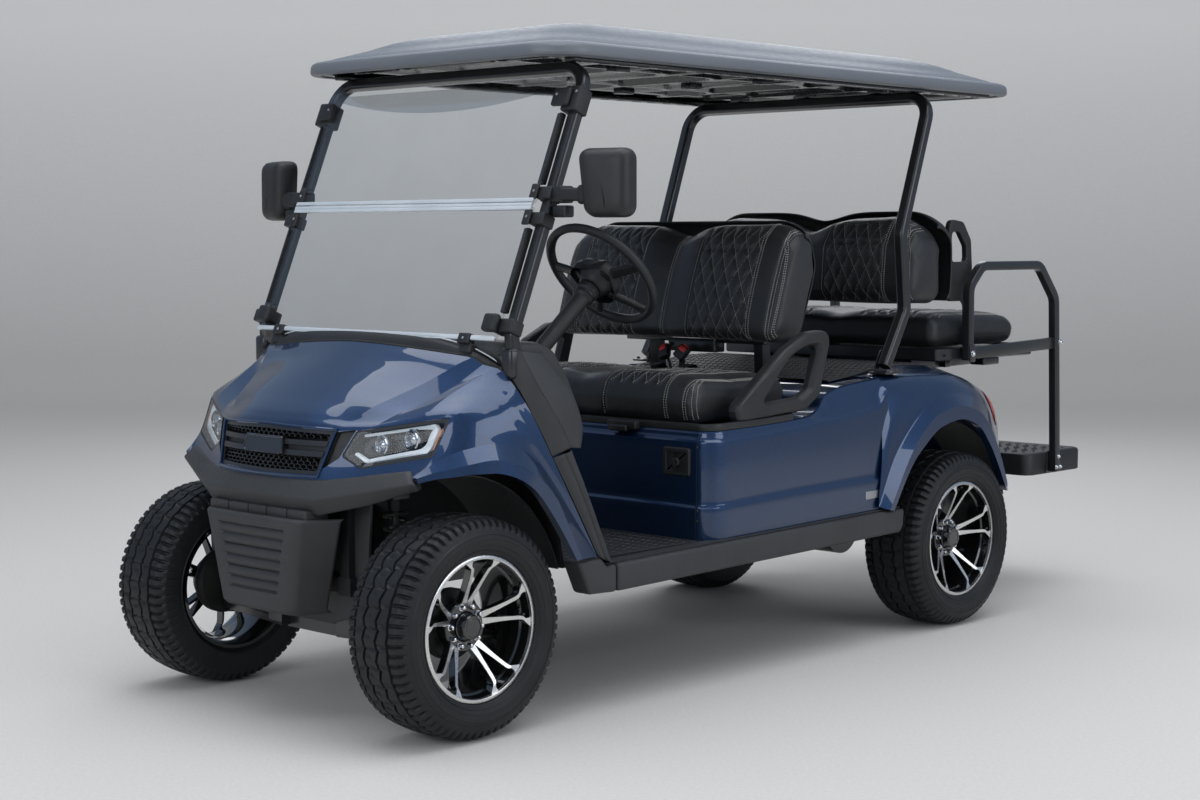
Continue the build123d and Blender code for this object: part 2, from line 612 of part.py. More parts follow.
finish(floor_pan, "floor_pan")

# ---------------------------------------------------------------- steering column, wheel and dashboard
DASH_OUTLINE = [(164, 1000), (205, 1040), (290, 1036), (345, 1008), (398, 920), (440, 840), (466, 765),
                (452, DASH_LOW), (314, DASH_LOW), (262, 900)]
DASH_HALF = 540
COLUMN_ANGLE = 40
STEERING_X, STEERING_Y, STEERING_Z = 280, 800, 1190
COLUMN_RADIUS = 24
COLUMN_LENGTH, COLUMN_TOP = 430, 62
WHEEL_RIM, WHEEL_TUBE = 176, 14
SPOKE_ANGLES = (90, 205, 335)

steering_point = Vector(STEERING_X, fy(STEERING_Y), STEERING_Z)
column_dir = Vector(0, cos(radians(COLUMN_ANGLE)), sin(radians(COLUMN_ANGLE)))
column_plane = Plane(origin=steering_point - column_dir * COLUMN_TOP, z_dir=column_dir)

with BuildPart() as steering_column:
    with BuildSketch(column_plane):
        Circle(COLUMN_RADIUS)
    extrude(amount=-COLUMN_LENGTH)
    with BuildSketch(column_plane):
        Circle(COLUMN_RADIUS + 10)
    extrude(amount=-46)
finish(steering_column, "steering_column")

with BuildPart() as dashboard:
    with BuildSketch(Plane.YZ) as dash_side:
        with BuildLine():
            Polyline(*side_points(DASH_OUTLINE), close=True)
        make_face()
    extrude(amount=DASH_HALF, both=True)
    with BuildSketch(Plane.YZ) as dash_hollow:
        add(dash_side.sketch_local)
        offset(amount=-PANEL, kind=Kind.INTERSECTION)
        with Locations((fy((DASH_OUTLINE[-3][0] + DASH_OUTLINE[-2][0]) / 2), DASH_LOW)):
            Rectangle(DASH_OUTLINE[-3][0] - DASH_OUTLINE[-2][0] - 4 * PANEL, 4 * PANEL)
    extrude(amount=DASH_HALF - PANEL, both=True, mode=Mode.SUBTRACT)
    with BuildSketch(column_plane):
        Circle(COLUMN_RADIUS + SEAM)
    extrude(amount=-COLUMN_LENGTH - 30, mode=Mode.SUBTRACT)
    add(hoop(FRONT_POST_LINE, POST_SPACING, POST_SIZE + 2 * GAP, FRONT_BEND), mode=Mode.SUBTRACT)
finish(dashboard, "dashboard")

with BuildPart() as steering_wheel:
    wheel_plane = Plane(origin=steering_point, x_dir=(1, 0, 0), z_dir=column_dir)
    with BuildSketch(wheel_plane.offset(-24)):
        for angle in SPOKE_ANGLES:
            with BuildLine():
                along = Vector(cos(radians(angle)), sin(radians(angle)))
                across = Vector(-along.Y, along.X) * 15
                Polyline(across, along * WHEEL_RIM + across, along * WHEEL_RIM - across, -across, close=True)
            make_face()
    extrude(amount=20)
    with BuildSketch(wheel_plane.offset(-60)):
        Circle(52)
    extrude(amount=54, taper=8)
    with BuildSketch(Plane(origin=steering_point, x_dir=(1, 0, 0), z_dir=wheel_plane.y_dir)):
        with Locations((WHEEL_RIM, 0)):
            Circle(WHEEL_TUBE)
    revolve(axis=Axis(steering_point, column_dir))
finish(steering_wheel, "steering_wheel")

# ---------------------------------------------------------------- seat box and rear body
BOX_HALF = 585
BOX_CORNER = 60
BOX_BOTTOM = FLOOR_TOP + SEAM
BOX_REAR = REAR_BODY_START - GAP
SEAT_BACK = SEAT_BOX_FRONT + SEAT_DEPTH


def behind_seat(share):
    """Place between the back of the front seat and the end of the seat box."""
    return SEAT_BACK + share * (BOX_REAR - SEAT_BACK)


def above_seat(share):
    """Height between the seat box's top and the deck."""
    return SEAT_HEIGHT + share * (DECK_HEIGHT - SEAT_HEIGHT)


BOX_TOP_LINE = [(SEAT_BOX_FRONT, SEAT_HEIGHT), (SEAT_BACK, above_seat(0.12)), (behind_seat(0.2), above_seat(0.49)),
                (behind_seat(0.44), above_seat(0.82)), (BOX_REAR, DECK_HEIGHT)]
BOX_ABOVE = DECK_HEIGHT + 350


def box_solid(inset, bottom):
    """Seat box with rounded front corners, pulled in by the inset."""
    with BuildPart() as body:
        with BuildSketch(Plane.XY.offset(bottom)) as outline:
            length = BOX_REAR - SEAT_BOX_FRONT
            with Locations((0, fy(SEAT_BOX_FRONT + length / 2))):
                Rectangle(2 * (BOX_HALF - inset), length - 2 * inset)
            fillet(outline.vertices().group_by(Axis.Y)[0], BOX_CORNER - inset)
        extrude(amount=DECK_HEIGHT + 50 - bottom)
        top = [(y, z - inset) for y, z in BOX_TOP_LINE]
        add(side_prism([(SEAT_BOX_FRONT - 50, SEAT_HEIGHT - inset)] + top[1:]
                       + [(BOX_REAR + 50, DECK_HEIGHT - inset), (BOX_REAR + 50, BOX_ABOVE),
                          (SEAT_BOX_FRONT - 50, BOX_ABOVE)], BEYOND), mode=Mode.SUBTRACT)
    return body.part


with BuildPart() as seat_box:
    add(box_solid(0, BOX_BOTTOM) - box_solid(PANEL, BOX_BOTTOM - OPEN_BELOW))
    add(side_slabs([(y, z + SEAM if z > FLOOR_TOP - 20 else z) for y, z in SILL_OUTLINE], TRIM_IN - GAP, 150),
        mode=Mode.SUBTRACT)
finish(seat_box, "seat_box")

# columns: distance behind the rear axle, height
TAIL_OUTLINE = [(224, 778), (262, 700), (306, 650), (334, 672), (300, 742), (262, 788)]
TAIL_IN, TAIL_DEPTH = 440, 20
rear_outer = surface_solid(rear_sections, 0)
rear_flare = arch_disc(REAR_ARCH, FLARE_BAND, FLARE_IN, FLARE_OUT) - arch_disc(REAR_ARCH, 0, 500, BEYOND)


def tail_zone(grow):
    """Tail lamp outline seen from the side, on the outer part of both rear corners."""
    with BuildPart() as zone:
        with BuildSketch(Plane.YZ.offset(TAIL_IN)):
            with BuildLine():
                Polyline(*side_points(TAIL_OUTLINE, WHEELBASE), close=True)
            make_face()
            if grow:
                offset(amount=grow, kind=Kind.INTERSECTION)
        extrude(amount=BEYOND - TAIL_IN)
        mirror(about=Plane.YZ)
    return zone.part


with BuildPart() as rear_body:
    add(rear_outer - surface_solid(rear_sections, PANEL, back=PANEL) - arch_disc(REAR_ARCH, 0, 0, BEYOND)
        - tail_zone(GAP / 2))
    add(rear_flare & side_prism([(-400, REAR_LOW + 6), (-400, 900), (400, 900), (400, REAR_LOW + 6)], BEYOND,
                                WHEELBASE))
finish(rear_body, "rear_body")

with BuildPart() as tail_lamps:
    add((tail_zone(0) & rear_outer) - surface_solid(rear_sections, TAIL_DEPTH))
finish(tail_lamps, "tail_lamps")

BATTERY = (640, 420, 260)
with BuildPart() as battery_pack:
    with Locations((0, fy(SEAT_BOX_FRONT + 280), FLOOR_TOP + 22 + BATTERY[2] / 2)):
        Box(*BATTERY)
finish(battery_pack, "battery_pack")

# ---------------------------------------------------------------- rubber mats
MAT_THICK = 6
MAT_GAP = 0.6
BACK_POST_REAR = 1656       # rear edge of the front backrest's feet
FLOOR_MAT_FRONT = 390
DECK_MAT_HALF = 500
DECK_LINE = BOX_TOP_LINE[2:] + [(y, top) for y, _, _, top, _, _, _ in rear_sections[1:3]]


def deck_top(y):
    """Height of the deck this far behind the front axle."""
    for (y0, z0), (y1, z1) in zip(DECK_LINE, DECK_LINE[1:]):
        if y0 <= y <= y1:
            return z0 + (z1 - z0) * (y - y0) / (y1 - y0)


with BuildPart() as rubber_mats:
    with BuildSketch(Plane.XY.offset(FLOOR_TOP)):
        with Locations((0, fy((FLOOR_MAT_FRONT + SEAT_BOX_FRONT - GAP) / 2))):
            Rectangle(2 * PAN_HALF - 20, SEAT_BOX_FRONT - GAP - FLOOR_MAT_FRONT)
    extrude(amount=MAT_THICK - SEAM)
    with BuildSketch(Plane.YZ):
        with BuildLine():
            mat_front = BACK_POST_REAR + 14
            bends = [y for y, _ in DECK_LINE if mat_front < y < WHEELBASE - 10]
            under = [(y, deck_top(y) + MAT_GAP) for y in [mat_front] + bends + [WHEELBASE - 10]]
            over = [(y, z + MAT_THICK) for y, z in reversed(under)]
            Polyline(*side_points(under + over), close=True)
        make_face()
    extrude(amount=DECK_MAT_HALF, both=True)
finish(rubber_mats, "rubber_mats")

# ---------------------------------------------------------------- seats
SEAT_HALF = 500
CUSHION_GAP = 4
PAD_EDGE = 16
CUSHION_BASE = SEAT_HEIGHT + CUSHION_GAP


def cushion(name, outline, half, axle=0):
    with BuildPart() as pad:
        with BuildSketch(Plane.YZ):
            with BuildLine():
                Polyline(*side_points(outline, axle), close=True)
            make_face()
        extrude(amount=half, both=True)
        fillet(pad.edges(), PAD_EDGE)
    finish(pad, name)


FRONT_CUSHION_LINE = [(25, 2), (SEAT_DEPTH - 5, 13), (SEAT_DEPTH + 15, 121), (SEAT_DEPTH - 25, 146), (60, 139), (25, 111)]
cushion("front_cushion", [(SEAT_BOX_FRONT + y, CUSHION_BASE + z) for y, z in FRONT_CUSHION_LINE], SEAT_HALF)
FRONT_BACK_LINE = [(402, 246), (520, 229), (550, 246), (640, 451), (610, 591), (580, 611), (550, 606), (525, 571)]
cushion("front_backrest", [(SEAT_BOX_FRONT + y, CUSHION_BASE + z) for y, z in FRONT_BACK_LINE], SEAT_HALF)

BACK_POST_X, BACK_POST_WIDE, BACK_FOOT_X, BACK_FOOT_WIDE = 210, 36, 188, 80
BACK_POST_FRONT = BACK_POST_REAR - 64

with BuildPart() as backrest_posts:
    add(side_slabs([(BACK_POST_FRONT + 8, deck_top(BACK_POST_FRONT + 8) + MAT_GAP),
                    (BACK_POST_REAR - 16, deck_top(BACK_POST_REAR - 16) + MAT_GAP),
                    (BACK_POST_REAR - 31, 1000), (BACK_POST_REAR - 16, 1180), (BACK_POST_REAR - 44, 1190),
                    (BACK_POST_FRONT - 4, 1000)], BACK_POST_X, BACK_POST_WIDE))
    add(side_slabs([(BACK_POST_FRONT, deck_top(BACK_POST_FRONT) + MAT_GAP),
                    (BACK_POST_REAR, deck_top(BACK_POST_REAR) + MAT_GAP),
                    (BACK_POST_REAR, deck_top(BACK_POST_REAR) + MAT_THICK),
                    (BACK_POST_FRONT, deck_top(BACK_POST_FRONT) + MAT_THICK)], BACK_FOOT_X, BACK_FOOT_WIDE))
finish(backrest_posts, "backrest_posts")

RESTRAINT_X, RESTRAINT_WIDE = 535, 42
# columns: distance behind the seat box's front face, height above its top
RESTRAINT_OUTLINE = [(128, 17), (455, 32), (528, 77), (578, 250), (540, 277), (450, 275), (350, 225), (118, 55)]
RESTRAINT_HOLE = [(234, 66), (428, 74), (478, 100), (522, 216), (490, 232), (450, 226)]

with BuildPart() as hip_restraints:
    add(side_slabs([(SEAT_BOX_FRONT + y, SEAT_HEIGHT + z) for y, z in RESTRAINT_OUTLINE], RESTRAINT_X,
                   RESTRAINT_WIDE, 14))
    add(side_slabs([(SEAT_BOX_FRONT + y, SEAT_HEIGHT + z) for y, z in RESTRAINT_HOLE], RESTRAINT_X - 10,
                   RESTRAINT_WIDE + 20, 10), mode=Mode.SUBTRACT)
    fillet(hip_restraints.edges().filter_by(Plane.YZ), 4)
finish(hip_restraints, "hip_restraints")

TRAY_LOW, TRAY_TOP = 877, 918
TRAY_HALF = 470
TRAY_FRONT, TRAY_REAR = WHEELBASE + 55, WHEELBASE + 660
TRAY_SHEET = 4

with BuildPart() as rear_seat_frame:
    tray_middle = fy((TRAY_FRONT + TRAY_REAR) / 2)
    with BuildSketch(Plane.XY.offset(TRAY_LOW)):
        with Locations((0, tray_middle)):
            Rectangle(2 * TRAY_HALF, TRAY_REAR - TRAY_FRONT)
    extrude(amount=TRAY_TOP - TRAY_LOW)
    with BuildSketch(Plane.XY.offset(TRAY_LOW)):
        with Locations((0, tray_middle)):
            Rectangle(2 * (TRAY_HALF - TRAY_SHEET), TRAY_REAR - TRAY_FRONT - 2 * TRAY_SHEET)
    extrude(amount=TRAY_TOP - TRAY_LOW - TRAY_SHEET, mode=Mode.SUBTRACT)
finish(rear_seat_frame, "rear_seat_frame")

REAR_CUSHION_HALF = 450
REAR_CUSHION_LINE = [(68, 2), (600, 2), (615, 92), (580, 124), (120, 126), (62, 82)]
cushion("rear_cushion", [(y, TRAY_TOP + z) for y, z in REAR_CUSHION_LINE], REAR_CUSHION_HALF, WHEELBASE)
cushion("rear_backrest", [(-110, 1068), (40, 1062), (88, 1100), (92, 1300), (50, 1372), (0, 1390), (-70, 1370),
                          (-120, 1290), (-140, 1150)], SEAT_HALF, WHEELBASE)

with BuildPart() as backrest_shell:
    add(side_prism([(96, 1090), (118, 1110), (120, 1320), (70, 1396), (62, 1386), (96, 1310)], SEAT_HALF - 14,
                   WHEELBASE))
finish(backrest_shell, "backrest_shell")

# ---------------------------------------------------------------- rails and footplate
RAIL_TUBE = 32
GRAB_X = 495
GRAB_LINE = [(205, TRAY_LOW), (205, 1130), (280, 1200), (650, 1200), (760, 1080), (785, 445)]
SIDE_BAR = [(200, 880), (780, 896), (780, 938), (200, 920)]
HANDLE_X, HANDLE_WIDE = 455, 22
HANDLE_OUTLINE = [(125, 1080), (125, 1300), (135, 1362), (215, 1352), (262, 1290), (272, 1180), (272, TRAY_TOP + SEAM),
                  (240, TRAY_TOP + SEAM), (240, 1080)]
HANDLE_HOLE = [(140, 1215), (140, 1318), (190, 1318), (232, 1268), (236, 1215)]

with BuildPart() as grab_rails:
    with BuildLine() as grab_path:
        FilletPolyline(*[(GRAB_X, *point) for point in side_points(GRAB_LINE, WHEELBASE)], radius=60)
    with BuildSketch(Plane(origin=grab_path.line @ 0, x_dir=(1, 0, 0), z_dir=grab_path.line % 0)):
        RectangleRounded(RAIL_TUBE, RAIL_TUBE, 5)
    sweep()
    mirror(about=Plane.YZ)
    add(side_slabs(SIDE_BAR, GRAB_X - 8, 16, 0, WHEELBASE))
finish(grab_rails, "grab_rails")

with BuildPart() as seat_handles:
    add(side_slabs(HANDLE_OUTLINE, HANDLE_X, HANDLE_WIDE, 6, WHEELBASE)
        - side_slabs(HANDLE_HOLE, HANDLE_X - 10, HANDLE_WIDE + 20, 16, WHEELBASE))
finish(seat_handles, "seat_handles")

STEP_FRONT = REAR_REACH - 375
STEP_LOW, STEP_TOP, STEP_HALF, STEP_CORNER = 436, 516, 474, 40

with BuildPart() as footplate:
    step_middle = fy((STEP_FRONT + REAR_REACH) / 2)
    with BuildSketch(Plane.XY.offset(STEP_LOW)):
        with Locations((0, step_middle)):
            RectangleRounded(2 * STEP_HALF, REAR_REACH - STEP_FRONT, STEP_CORNER)
    extrude(amount=STEP_TOP - STEP_LOW)
    with BuildSketch(Plane.XY.offset(STEP_LOW)):
        with Locations((0, step_middle)):
            RectangleRounded(2 * (STEP_HALF - PANEL), REAR_REACH - STEP_FRONT - 2 * PANEL, STEP_CORNER - PANEL)
    extrude(amount=STEP_TOP - STEP_LOW - PANEL, mode=Mode.SUBTRACT)
finish(footplate, "footplate")

# ---------------------------------------------------------------- roof and its liner
# columns: share of the rise above the rim, taken off the length, taken off the width, corner radius
ROOF_LEVELS = [(0.17, 16, 16, 122), (0.51, 260, 220, 90), (0.8, 420, 420, 80), (1, 620, 560, 60)]
RIM_CORNER = 130
LINER_GAP = 4
LINER_PLATE = 5
LINER_RIBS = 9
LINER_RIB_SIZE = (16, 11)


def roof_solid(inset):
    levels = [(ROOF_RIM_LOW - (SEAM if inset else 0), 0, 0, RIM_CORNER)]
    levels += [(ROOF_RIM_HEIGHT + share * ROOF_RISE - inset, less_long, less_wide, corner)
               for share, less_long, less_wide, corner in ROOF_LEVELS]
    with BuildPart() as body:
        for z, less_long, less_wide, corner in levels:
            with BuildSketch(Plane.XY.offset(z)):
                with Locations((0, fy(ROOF_CENTRE))):
                    RectangleRounded(ROOF_WIDTH - less_wide - 2 * inset, ROOF_LENGTH - less_long - 2 * inset,
                                     corner - inset)
        loft(ruled=True)
    return body.part


with BuildPart() as roof:
    add(roof_solid(0) - roof_solid(ROOF_WALL))
finish(roof, "roof")

with BuildPart() as roof_liner:
    liner_inset = ROOF_WALL + LINER_GAP
    with BuildSketch(Plane.XY.offset(ROOF_RIM_LOW)):
        with Locations((0, fy(ROOF_CENTRE))):
            RectangleRounded(ROOF_WIDTH - 2 * liner_inset, ROOF_LENGTH - 2 * liner_inset, RIM_CORNER - liner_inset)
    extrude(amount=LINER_PLATE)
    rib_front, rib_rear = post_y(HOOP_Z) + 60, rear_post_y(HOOP_Z) - 60
    rib_spread = (ROOF_WIDTH - 260) / (LINER_RIBS - 1)
    for rib in range(LINER_RIBS):
        rib_x = rib_spread * (rib - (LINER_RIBS - 1) / 2)
        with Locations((rib_x, fy((rib_front + rib_rear) / 2), ROOF_RIM_LOW - LINER_RIB_SIZE[1] / 2)):
            Box(LINER_RIB_SIZE[0], rib_rear - rib_front, LINER_RIB_SIZE[1])
finish(roof_liner, "roof_liner")

# ---------------------------------------------------------------- windshield
GLASS = 6
GLASS_HALF = 512
GLASS_CORNER = 18
GLASS_BELOW = 30            # how far the lower pane runs below its clamps
PANE_GAP = 7
CLAMP = (62, 52, 9)
glass_dir = Vector(0, POST_LEAN, 1).normalized()
glass_out = Vector(0, -glass_dir.Z, glass_dir.Y)
glass_plane = Plane(origin=Vector(0, fy(POST_FOOT_Y), POST_KNEE_Z) + glass_out * (POST_SIZE / 2 + CLAMP[2] + SEAM),
                    x_dir=(1, 0, 0), z_dir=glass_out)
GLASS_TOP = (HOOP_Z - POST_KNEE_Z) / glass_dir.Z - 38
PANE_SPLIT = GLASS_TOP * 0.48

for name, low, high in (("windshield_lower", -GLASS_BELOW, PANE_SPLIT),
                        ("windshield_upper", PANE_SPLIT + PANE_GAP, GLASS_TOP)):
    with BuildPart() as pane:
        with BuildSketch(glass_plane):
            with Locations((0, (low + high) / 2)):
                RectangleRounded(2 * GLASS_HALF, high - low, GLASS_CORNER)
        extrude(amount=GLASS)
    finish(pane, name)

with BuildPart() as windshield_clamps:
    for height in (0, PANE_SPLIT - 28, PANE_SPLIT + 34, GLASS_TOP - 68):
        with BuildSketch(glass_plane.offset(-CLAMP[2])):
            with Locations((POST_SPACING - 24, height)):
                Rectangle(CLAMP[0], CLAMP[1])
        extrude(amount=CLAMP[2])
    mirror(about=Plane.YZ)
    add(hoop(FRONT_POST_LINE, POST_SPACING, POST_SIZE + 1, FRONT_BEND), mode=Mode.SUBTRACT)
finish(windshield_clamps, "windshield_clamps")

# ---------------------------------------------------------------- mirrors
MIRROR_X, MIRROR_Y, MIRROR_Z = 718, 360, 1440
MIRROR_SIZE = (200, 70, 184)
MIRROR_ARM_Z = MIRROR_Z - 28
MIRROR_ARM_END = 640
arm_start = POST_SPACING + POST_SIZE / 2 + SEAM / 2

with BuildPart() as mirrors:
    with Locations((MIRROR_X, fy(MIRROR_Y), MIRROR_Z)):
        Box(*MIRROR_SIZE)
    fillet(mirrors.edges().filter_by(Axis.Y), 26)
    with Locations(((arm_start + MIRROR_ARM_END) / 2, fy(post_y(MIRROR_ARM_Z)), MIRROR_ARM_Z)):
        Box(MIRROR_ARM_END - arm_start, POST_SIZE, 40)
    mirror(about=Plane.YZ)
finish(mirrors, "mirrors")
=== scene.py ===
"""Golf cart: the looks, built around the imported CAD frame.

Metres, in the frame's own axes: the front faces -Y, the driver's side is +X, up is +Z.
Distances along Y are given from the front axle (from the rear axle where a name says so),
and fy() turns them into the frame. Shapes that are alike on both sides are made for +X
and mirrored.
"""
import math

import bmesh
import bpy
import numpy as np
from mathutils import Matrix, Vector
from mathutils.bvhtree import BVHTree


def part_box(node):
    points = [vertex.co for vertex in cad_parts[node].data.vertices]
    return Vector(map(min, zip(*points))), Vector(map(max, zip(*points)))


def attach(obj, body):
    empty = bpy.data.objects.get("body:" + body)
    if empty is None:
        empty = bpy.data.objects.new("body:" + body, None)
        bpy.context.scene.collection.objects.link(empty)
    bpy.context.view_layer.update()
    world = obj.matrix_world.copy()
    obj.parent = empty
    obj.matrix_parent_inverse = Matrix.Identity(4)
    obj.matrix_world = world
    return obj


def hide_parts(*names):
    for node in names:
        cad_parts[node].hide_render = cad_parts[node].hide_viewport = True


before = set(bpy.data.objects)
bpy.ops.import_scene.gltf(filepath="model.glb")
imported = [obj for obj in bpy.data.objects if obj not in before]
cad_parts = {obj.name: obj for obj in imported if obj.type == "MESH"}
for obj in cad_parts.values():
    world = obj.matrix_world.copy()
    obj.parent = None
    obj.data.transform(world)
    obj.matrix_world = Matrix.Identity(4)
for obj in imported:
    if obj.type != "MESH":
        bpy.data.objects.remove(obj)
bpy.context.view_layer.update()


def middle(node):
    low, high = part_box(node)
    return [(a + b) / 2 for a, b in zip(low, high)]


WHEEL_X, FRONT_AXLE, AXLE_Z = middle("tyre_front_left")
REAR_AXLE = middle("tyre_rear_left")[1]
WHEELBASE = REAR_AXLE - FRONT_AXLE
TYRE_RADIUS = (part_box("tyre_front_left")[1][2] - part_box("tyre_front_left")[0][2]) / 2
TYRE_HALF = (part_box("tyre_front_left")[1][0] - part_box("tyre_front_left")[0][0]) / 2
RIM_RADIUS = (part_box("rim_front_left")[1][2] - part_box("rim_front_left")[0][2]) / 2


def fy(distance):
    """Place along Y of a point that lies this far behind the front axle."""
    return FRONT_AXLE + distance


def at(x, y, z):
    return (x, fy(y), z)


# ================================================================ shapes
def pchip(xs, ys, queries):
    """Monotone cubic through the points, which never overshoots them."""
    xs, ys, queries = np.asarray(xs, float), np.asarray(ys, float), np.asarray(queries, float)
    steps, slopes = np.diff(xs), np.diff(ys) / np.diff(xs)
    ends = np.zeros(len(xs))
    ends[0], ends[-1] = slopes[0], slopes[-1]
    for i in range(1, len(xs) - 1):
        if slopes[i - 1] * slopes[i] > 0:
            a, b = 2 * steps[i] + steps[i - 1], steps[i] + 2 * steps[i - 1]
            ends[i] = (a + b) / (a / slopes[i - 1] + b / slopes[i])
    place = np.clip(np.searchsorted(xs, queries, side="right") - 1, 0, len(steps) - 1)
    h, t = steps[place], (queries - xs[place]) / steps[place]
    return ((2 * t**3 - 3 * t**2 + 1) * ys[place] + (t**3 - 2 * t**2 + t) * h * ends[place]
            + (3 * t**2 - 2 * t**3) * ys[place + 1] + (t**3 - t**2) * h * ends[place + 1])


def catmull(points, count):
    """Smooth curve through the points, with this many points on it."""
    points = np.asarray(points, float)
    lengths = np.linalg.norm(np.diff(points, axis=0), axis=1)
    knots = np.concatenate([[0], np.cumsum(lengths)])
    tangents = np.zeros_like(points)
    tangents[1:-1] = (points[2:] - points[:-2]) / (knots[2:] - knots[:-2])[:, None]
    tangents[0] = (points[1] - points[0]) / lengths[0]
    tangents[-1] = (points[-1] - points[-2]) / lengths[-1]
    places = np.linspace(0, knots[-1], count)
    span = np.clip(np.searchsorted(knots, places, side="right") - 1, 0, len(lengths) - 1)
    h = lengths[span][:, None]
    t = ((places - knots[span]) / lengths[span])[:, None]
    return ((2 * t**3 - 3 * t**2 + 1) * points[span] + (t**3 - 2 * t**2 + t) * h * tangents[span]
            + (3 * t**2 - 2 * t**3) * points[span + 1] + (t**3 - t**2) * h * tangents[span + 1])


def rounded(points, radius, closed=False, steps=5):
    """Corners of a polyline rounded with arcs. radius is one number or one for each corner."""
    points = [Vector(p) for p in points]
    count = len(points)
    radii = list(radius) if isinstance(radius, (list, tuple)) else [radius] * count
    out = []
    for i, corner in enumerate(points):
        if not closed and i in (0, count - 1):
            out.append(corner)
            continue
        before, after = points[i - 1] - corner, points[(i + 1) % count] - corner
        turn = math.pi - before.angle(after)
        if turn < 0.02 or radii[i] <= 0:
            out.append(corner)
            continue
        reach = radii[i] * math.tan(turn / 2)
        reach = min(reach, before.length * 0.49, after.length * 0.49)
        start, end = corner + before.normalized() * reach, corner + after.normalized() * reach
        for k in range(steps + 1):
            t = k / steps
            out.append(start * (1 - t) ** 2 + corner * 2 * t * (1 - t) + end * t**2)
    return out


def grid_faces(rows, columns, close_rows=False, close_columns=False):
    faces = []
    for i in range(rows if close_rows else rows - 1):
        here, following = i * columns, ((i + 1) % rows) * columns
        for j in range(columns if close_columns else columns - 1):
            beside = (j + 1) % columns
            faces.append((here + j, following + j, following + beside, here + beside))
    return faces


def sheet_form(rows, close_rows=False, close_columns=False):
    """Surface over rows of points that all have the same length."""
    verts = [tuple(point) for row in rows for point in row]
    return verts, grid_faces(len(rows), len(rows[0]), close_rows, close_columns)


def stacked_form(loops):
    """Closed loops joined one after the other, with the last one filled."""
    verts, faces = sheet_form(loops, close_columns=True)
    return verts, faces + [tuple(range(len(verts) - len(loops[0]), len(verts)))]


def with_tip(form, start, count, tip, backwards=False):
    """Form with its loop of count points, from number start on, closed by triangles to a tip."""
    verts, faces = form
    near, far = (1, 0) if backwards else (0, 1)
    fan = [(len(verts), start + (j + near) % count, start + (j + far) % count) for j in range(count)]
    return verts + [tuple(tip)], faces + fan


def with_ends(form, count):
    """Form with its first and its last loop of count points closed to their middles."""
    for start, backwards in ((0, False), (len(form[0]) - count, True)):
        tip = np.array(form[0][start:start + count]).mean(axis=0)
        form = with_tip(form, start, count, tip, backwards)
    return form


def mirrored_rows(rows):
    """Rows of a left half that starts at the centre plane, with their mirror images before them."""
    return [[(-x, y, z) for x, y, z in row] for row in reversed(rows[1:])] + rows


def prism_form(outline, axis, low, high):
    """Flat outline carried along an axis. The outline gives the other two coordinates in order."""
    place = "xyz".index(axis)
    verts = []
    for level in (low, high):
        for a, b in outline:
            point = [a, b]
            point.insert(place, level)
            verts.append(tuple(point))
    n = len(outline)
    faces = [(i, (i + 1) % n, n + (i + 1) % n, n + i) for i in range(n)]
    return verts, faces + [tuple(range(n))[::-1], tuple(range(n, 2 * n))]


def block_form(low, high):
    return prism_form([(low[0], low[1]), (high[0], low[1]), (high[0], high[1]), (low[0], high[1])],
                      "z", low[2], high[2])


def lathe_form(profile, steps, centre=(0, 0, 0), axis=(1, 0, 0), closed=True, angle=0.0):
    """Profile of (distance along the axis, radius) turned round the axis."""
    axis = Vector(axis).normalized()
    side = axis.orthogonal().normalized() if abs(axis.x) < 0.99 else Vector((0, 1, 0))
    other = axis.cross(side)
    rows = []
    for k in range(steps):
        turn = angle + 2 * math.pi * k / steps
        spoke = side * math.cos(turn) + other * math.sin(turn)
        rows.append([Vector(centre) + axis * a + spoke * r for a, r in profile])
    return sheet_form(rows, close_rows=True, close_columns=closed)


def sweep_form(path, section, closed=False, up=(0, 0, 1)):
    """Section of (side, up) points carried along a path, with its ends closed."""
    path = [Vector(p) for p in path]
    count = len(path)
    rows, side = [], None
    for i, point in enumerate(path):
        ahead = path[(i + 1) % count] if closed or i < count - 1 else point
        behind = path[i - 1] if closed or i else point
        along = (ahead - behind).normalized()
        if side is None:
            side = along.cross(Vector(up))
            if side.length < 1e-3:
                side = along.orthogonal()
        side = (side - along * side.dot(along)).normalized()
        top = side.cross(along)
        stretch = 1.0
        if 0 < i < count - 1 or closed:
            bend = (ahead - point).angle(point - behind, 0)
            stretch = 1 / max(0.6, math.cos(bend / 2))
        rows.append([point + side * a * stretch + top * b for a, b in section])
    verts, faces = sheet_form(rows, close_rows=closed, close_columns=True)
    if not closed:
        n = len(section)
        faces += [tuple(range(n))[::-1], tuple(range(len(verts) - n, len(verts)))]
    return verts, faces


def circle_section(radius, steps=12):
    turns = [2 * math.pi * k / steps for k in range(steps)]
    return [(radius * math.cos(turn), radius * math.sin(turn)) for turn in turns]


def square_section(width, height, corner, steps=3):
    half_w, half_h = width / 2, height / 2
    points = [(-half_w, -half_h, 0), (half_w, -half_h, 0), (half_w, half_h, 0), (-half_w, half_h, 0)]
    return [(p.x, p.y) for p in rounded(points, corner * 1.2, closed=True, steps=steps)]


def mirrored(form):
    verts, faces = form
    return [(-x, y, z) for x, y, z in verts], [tuple(reversed(face)) for face in faces]


def moved(form, matrix):
    verts, faces = form
    return [tuple(matrix @ Vector(v)) for v in verts], faces


def both(form):
    """The form and its mirror image."""
    return [form, mirrored(form)]


def paired(entries):
    """Entries of (form, number of its material), each followed by its mirror image."""
    return [(half, mark) for form, mark in entries for half in both(form)]


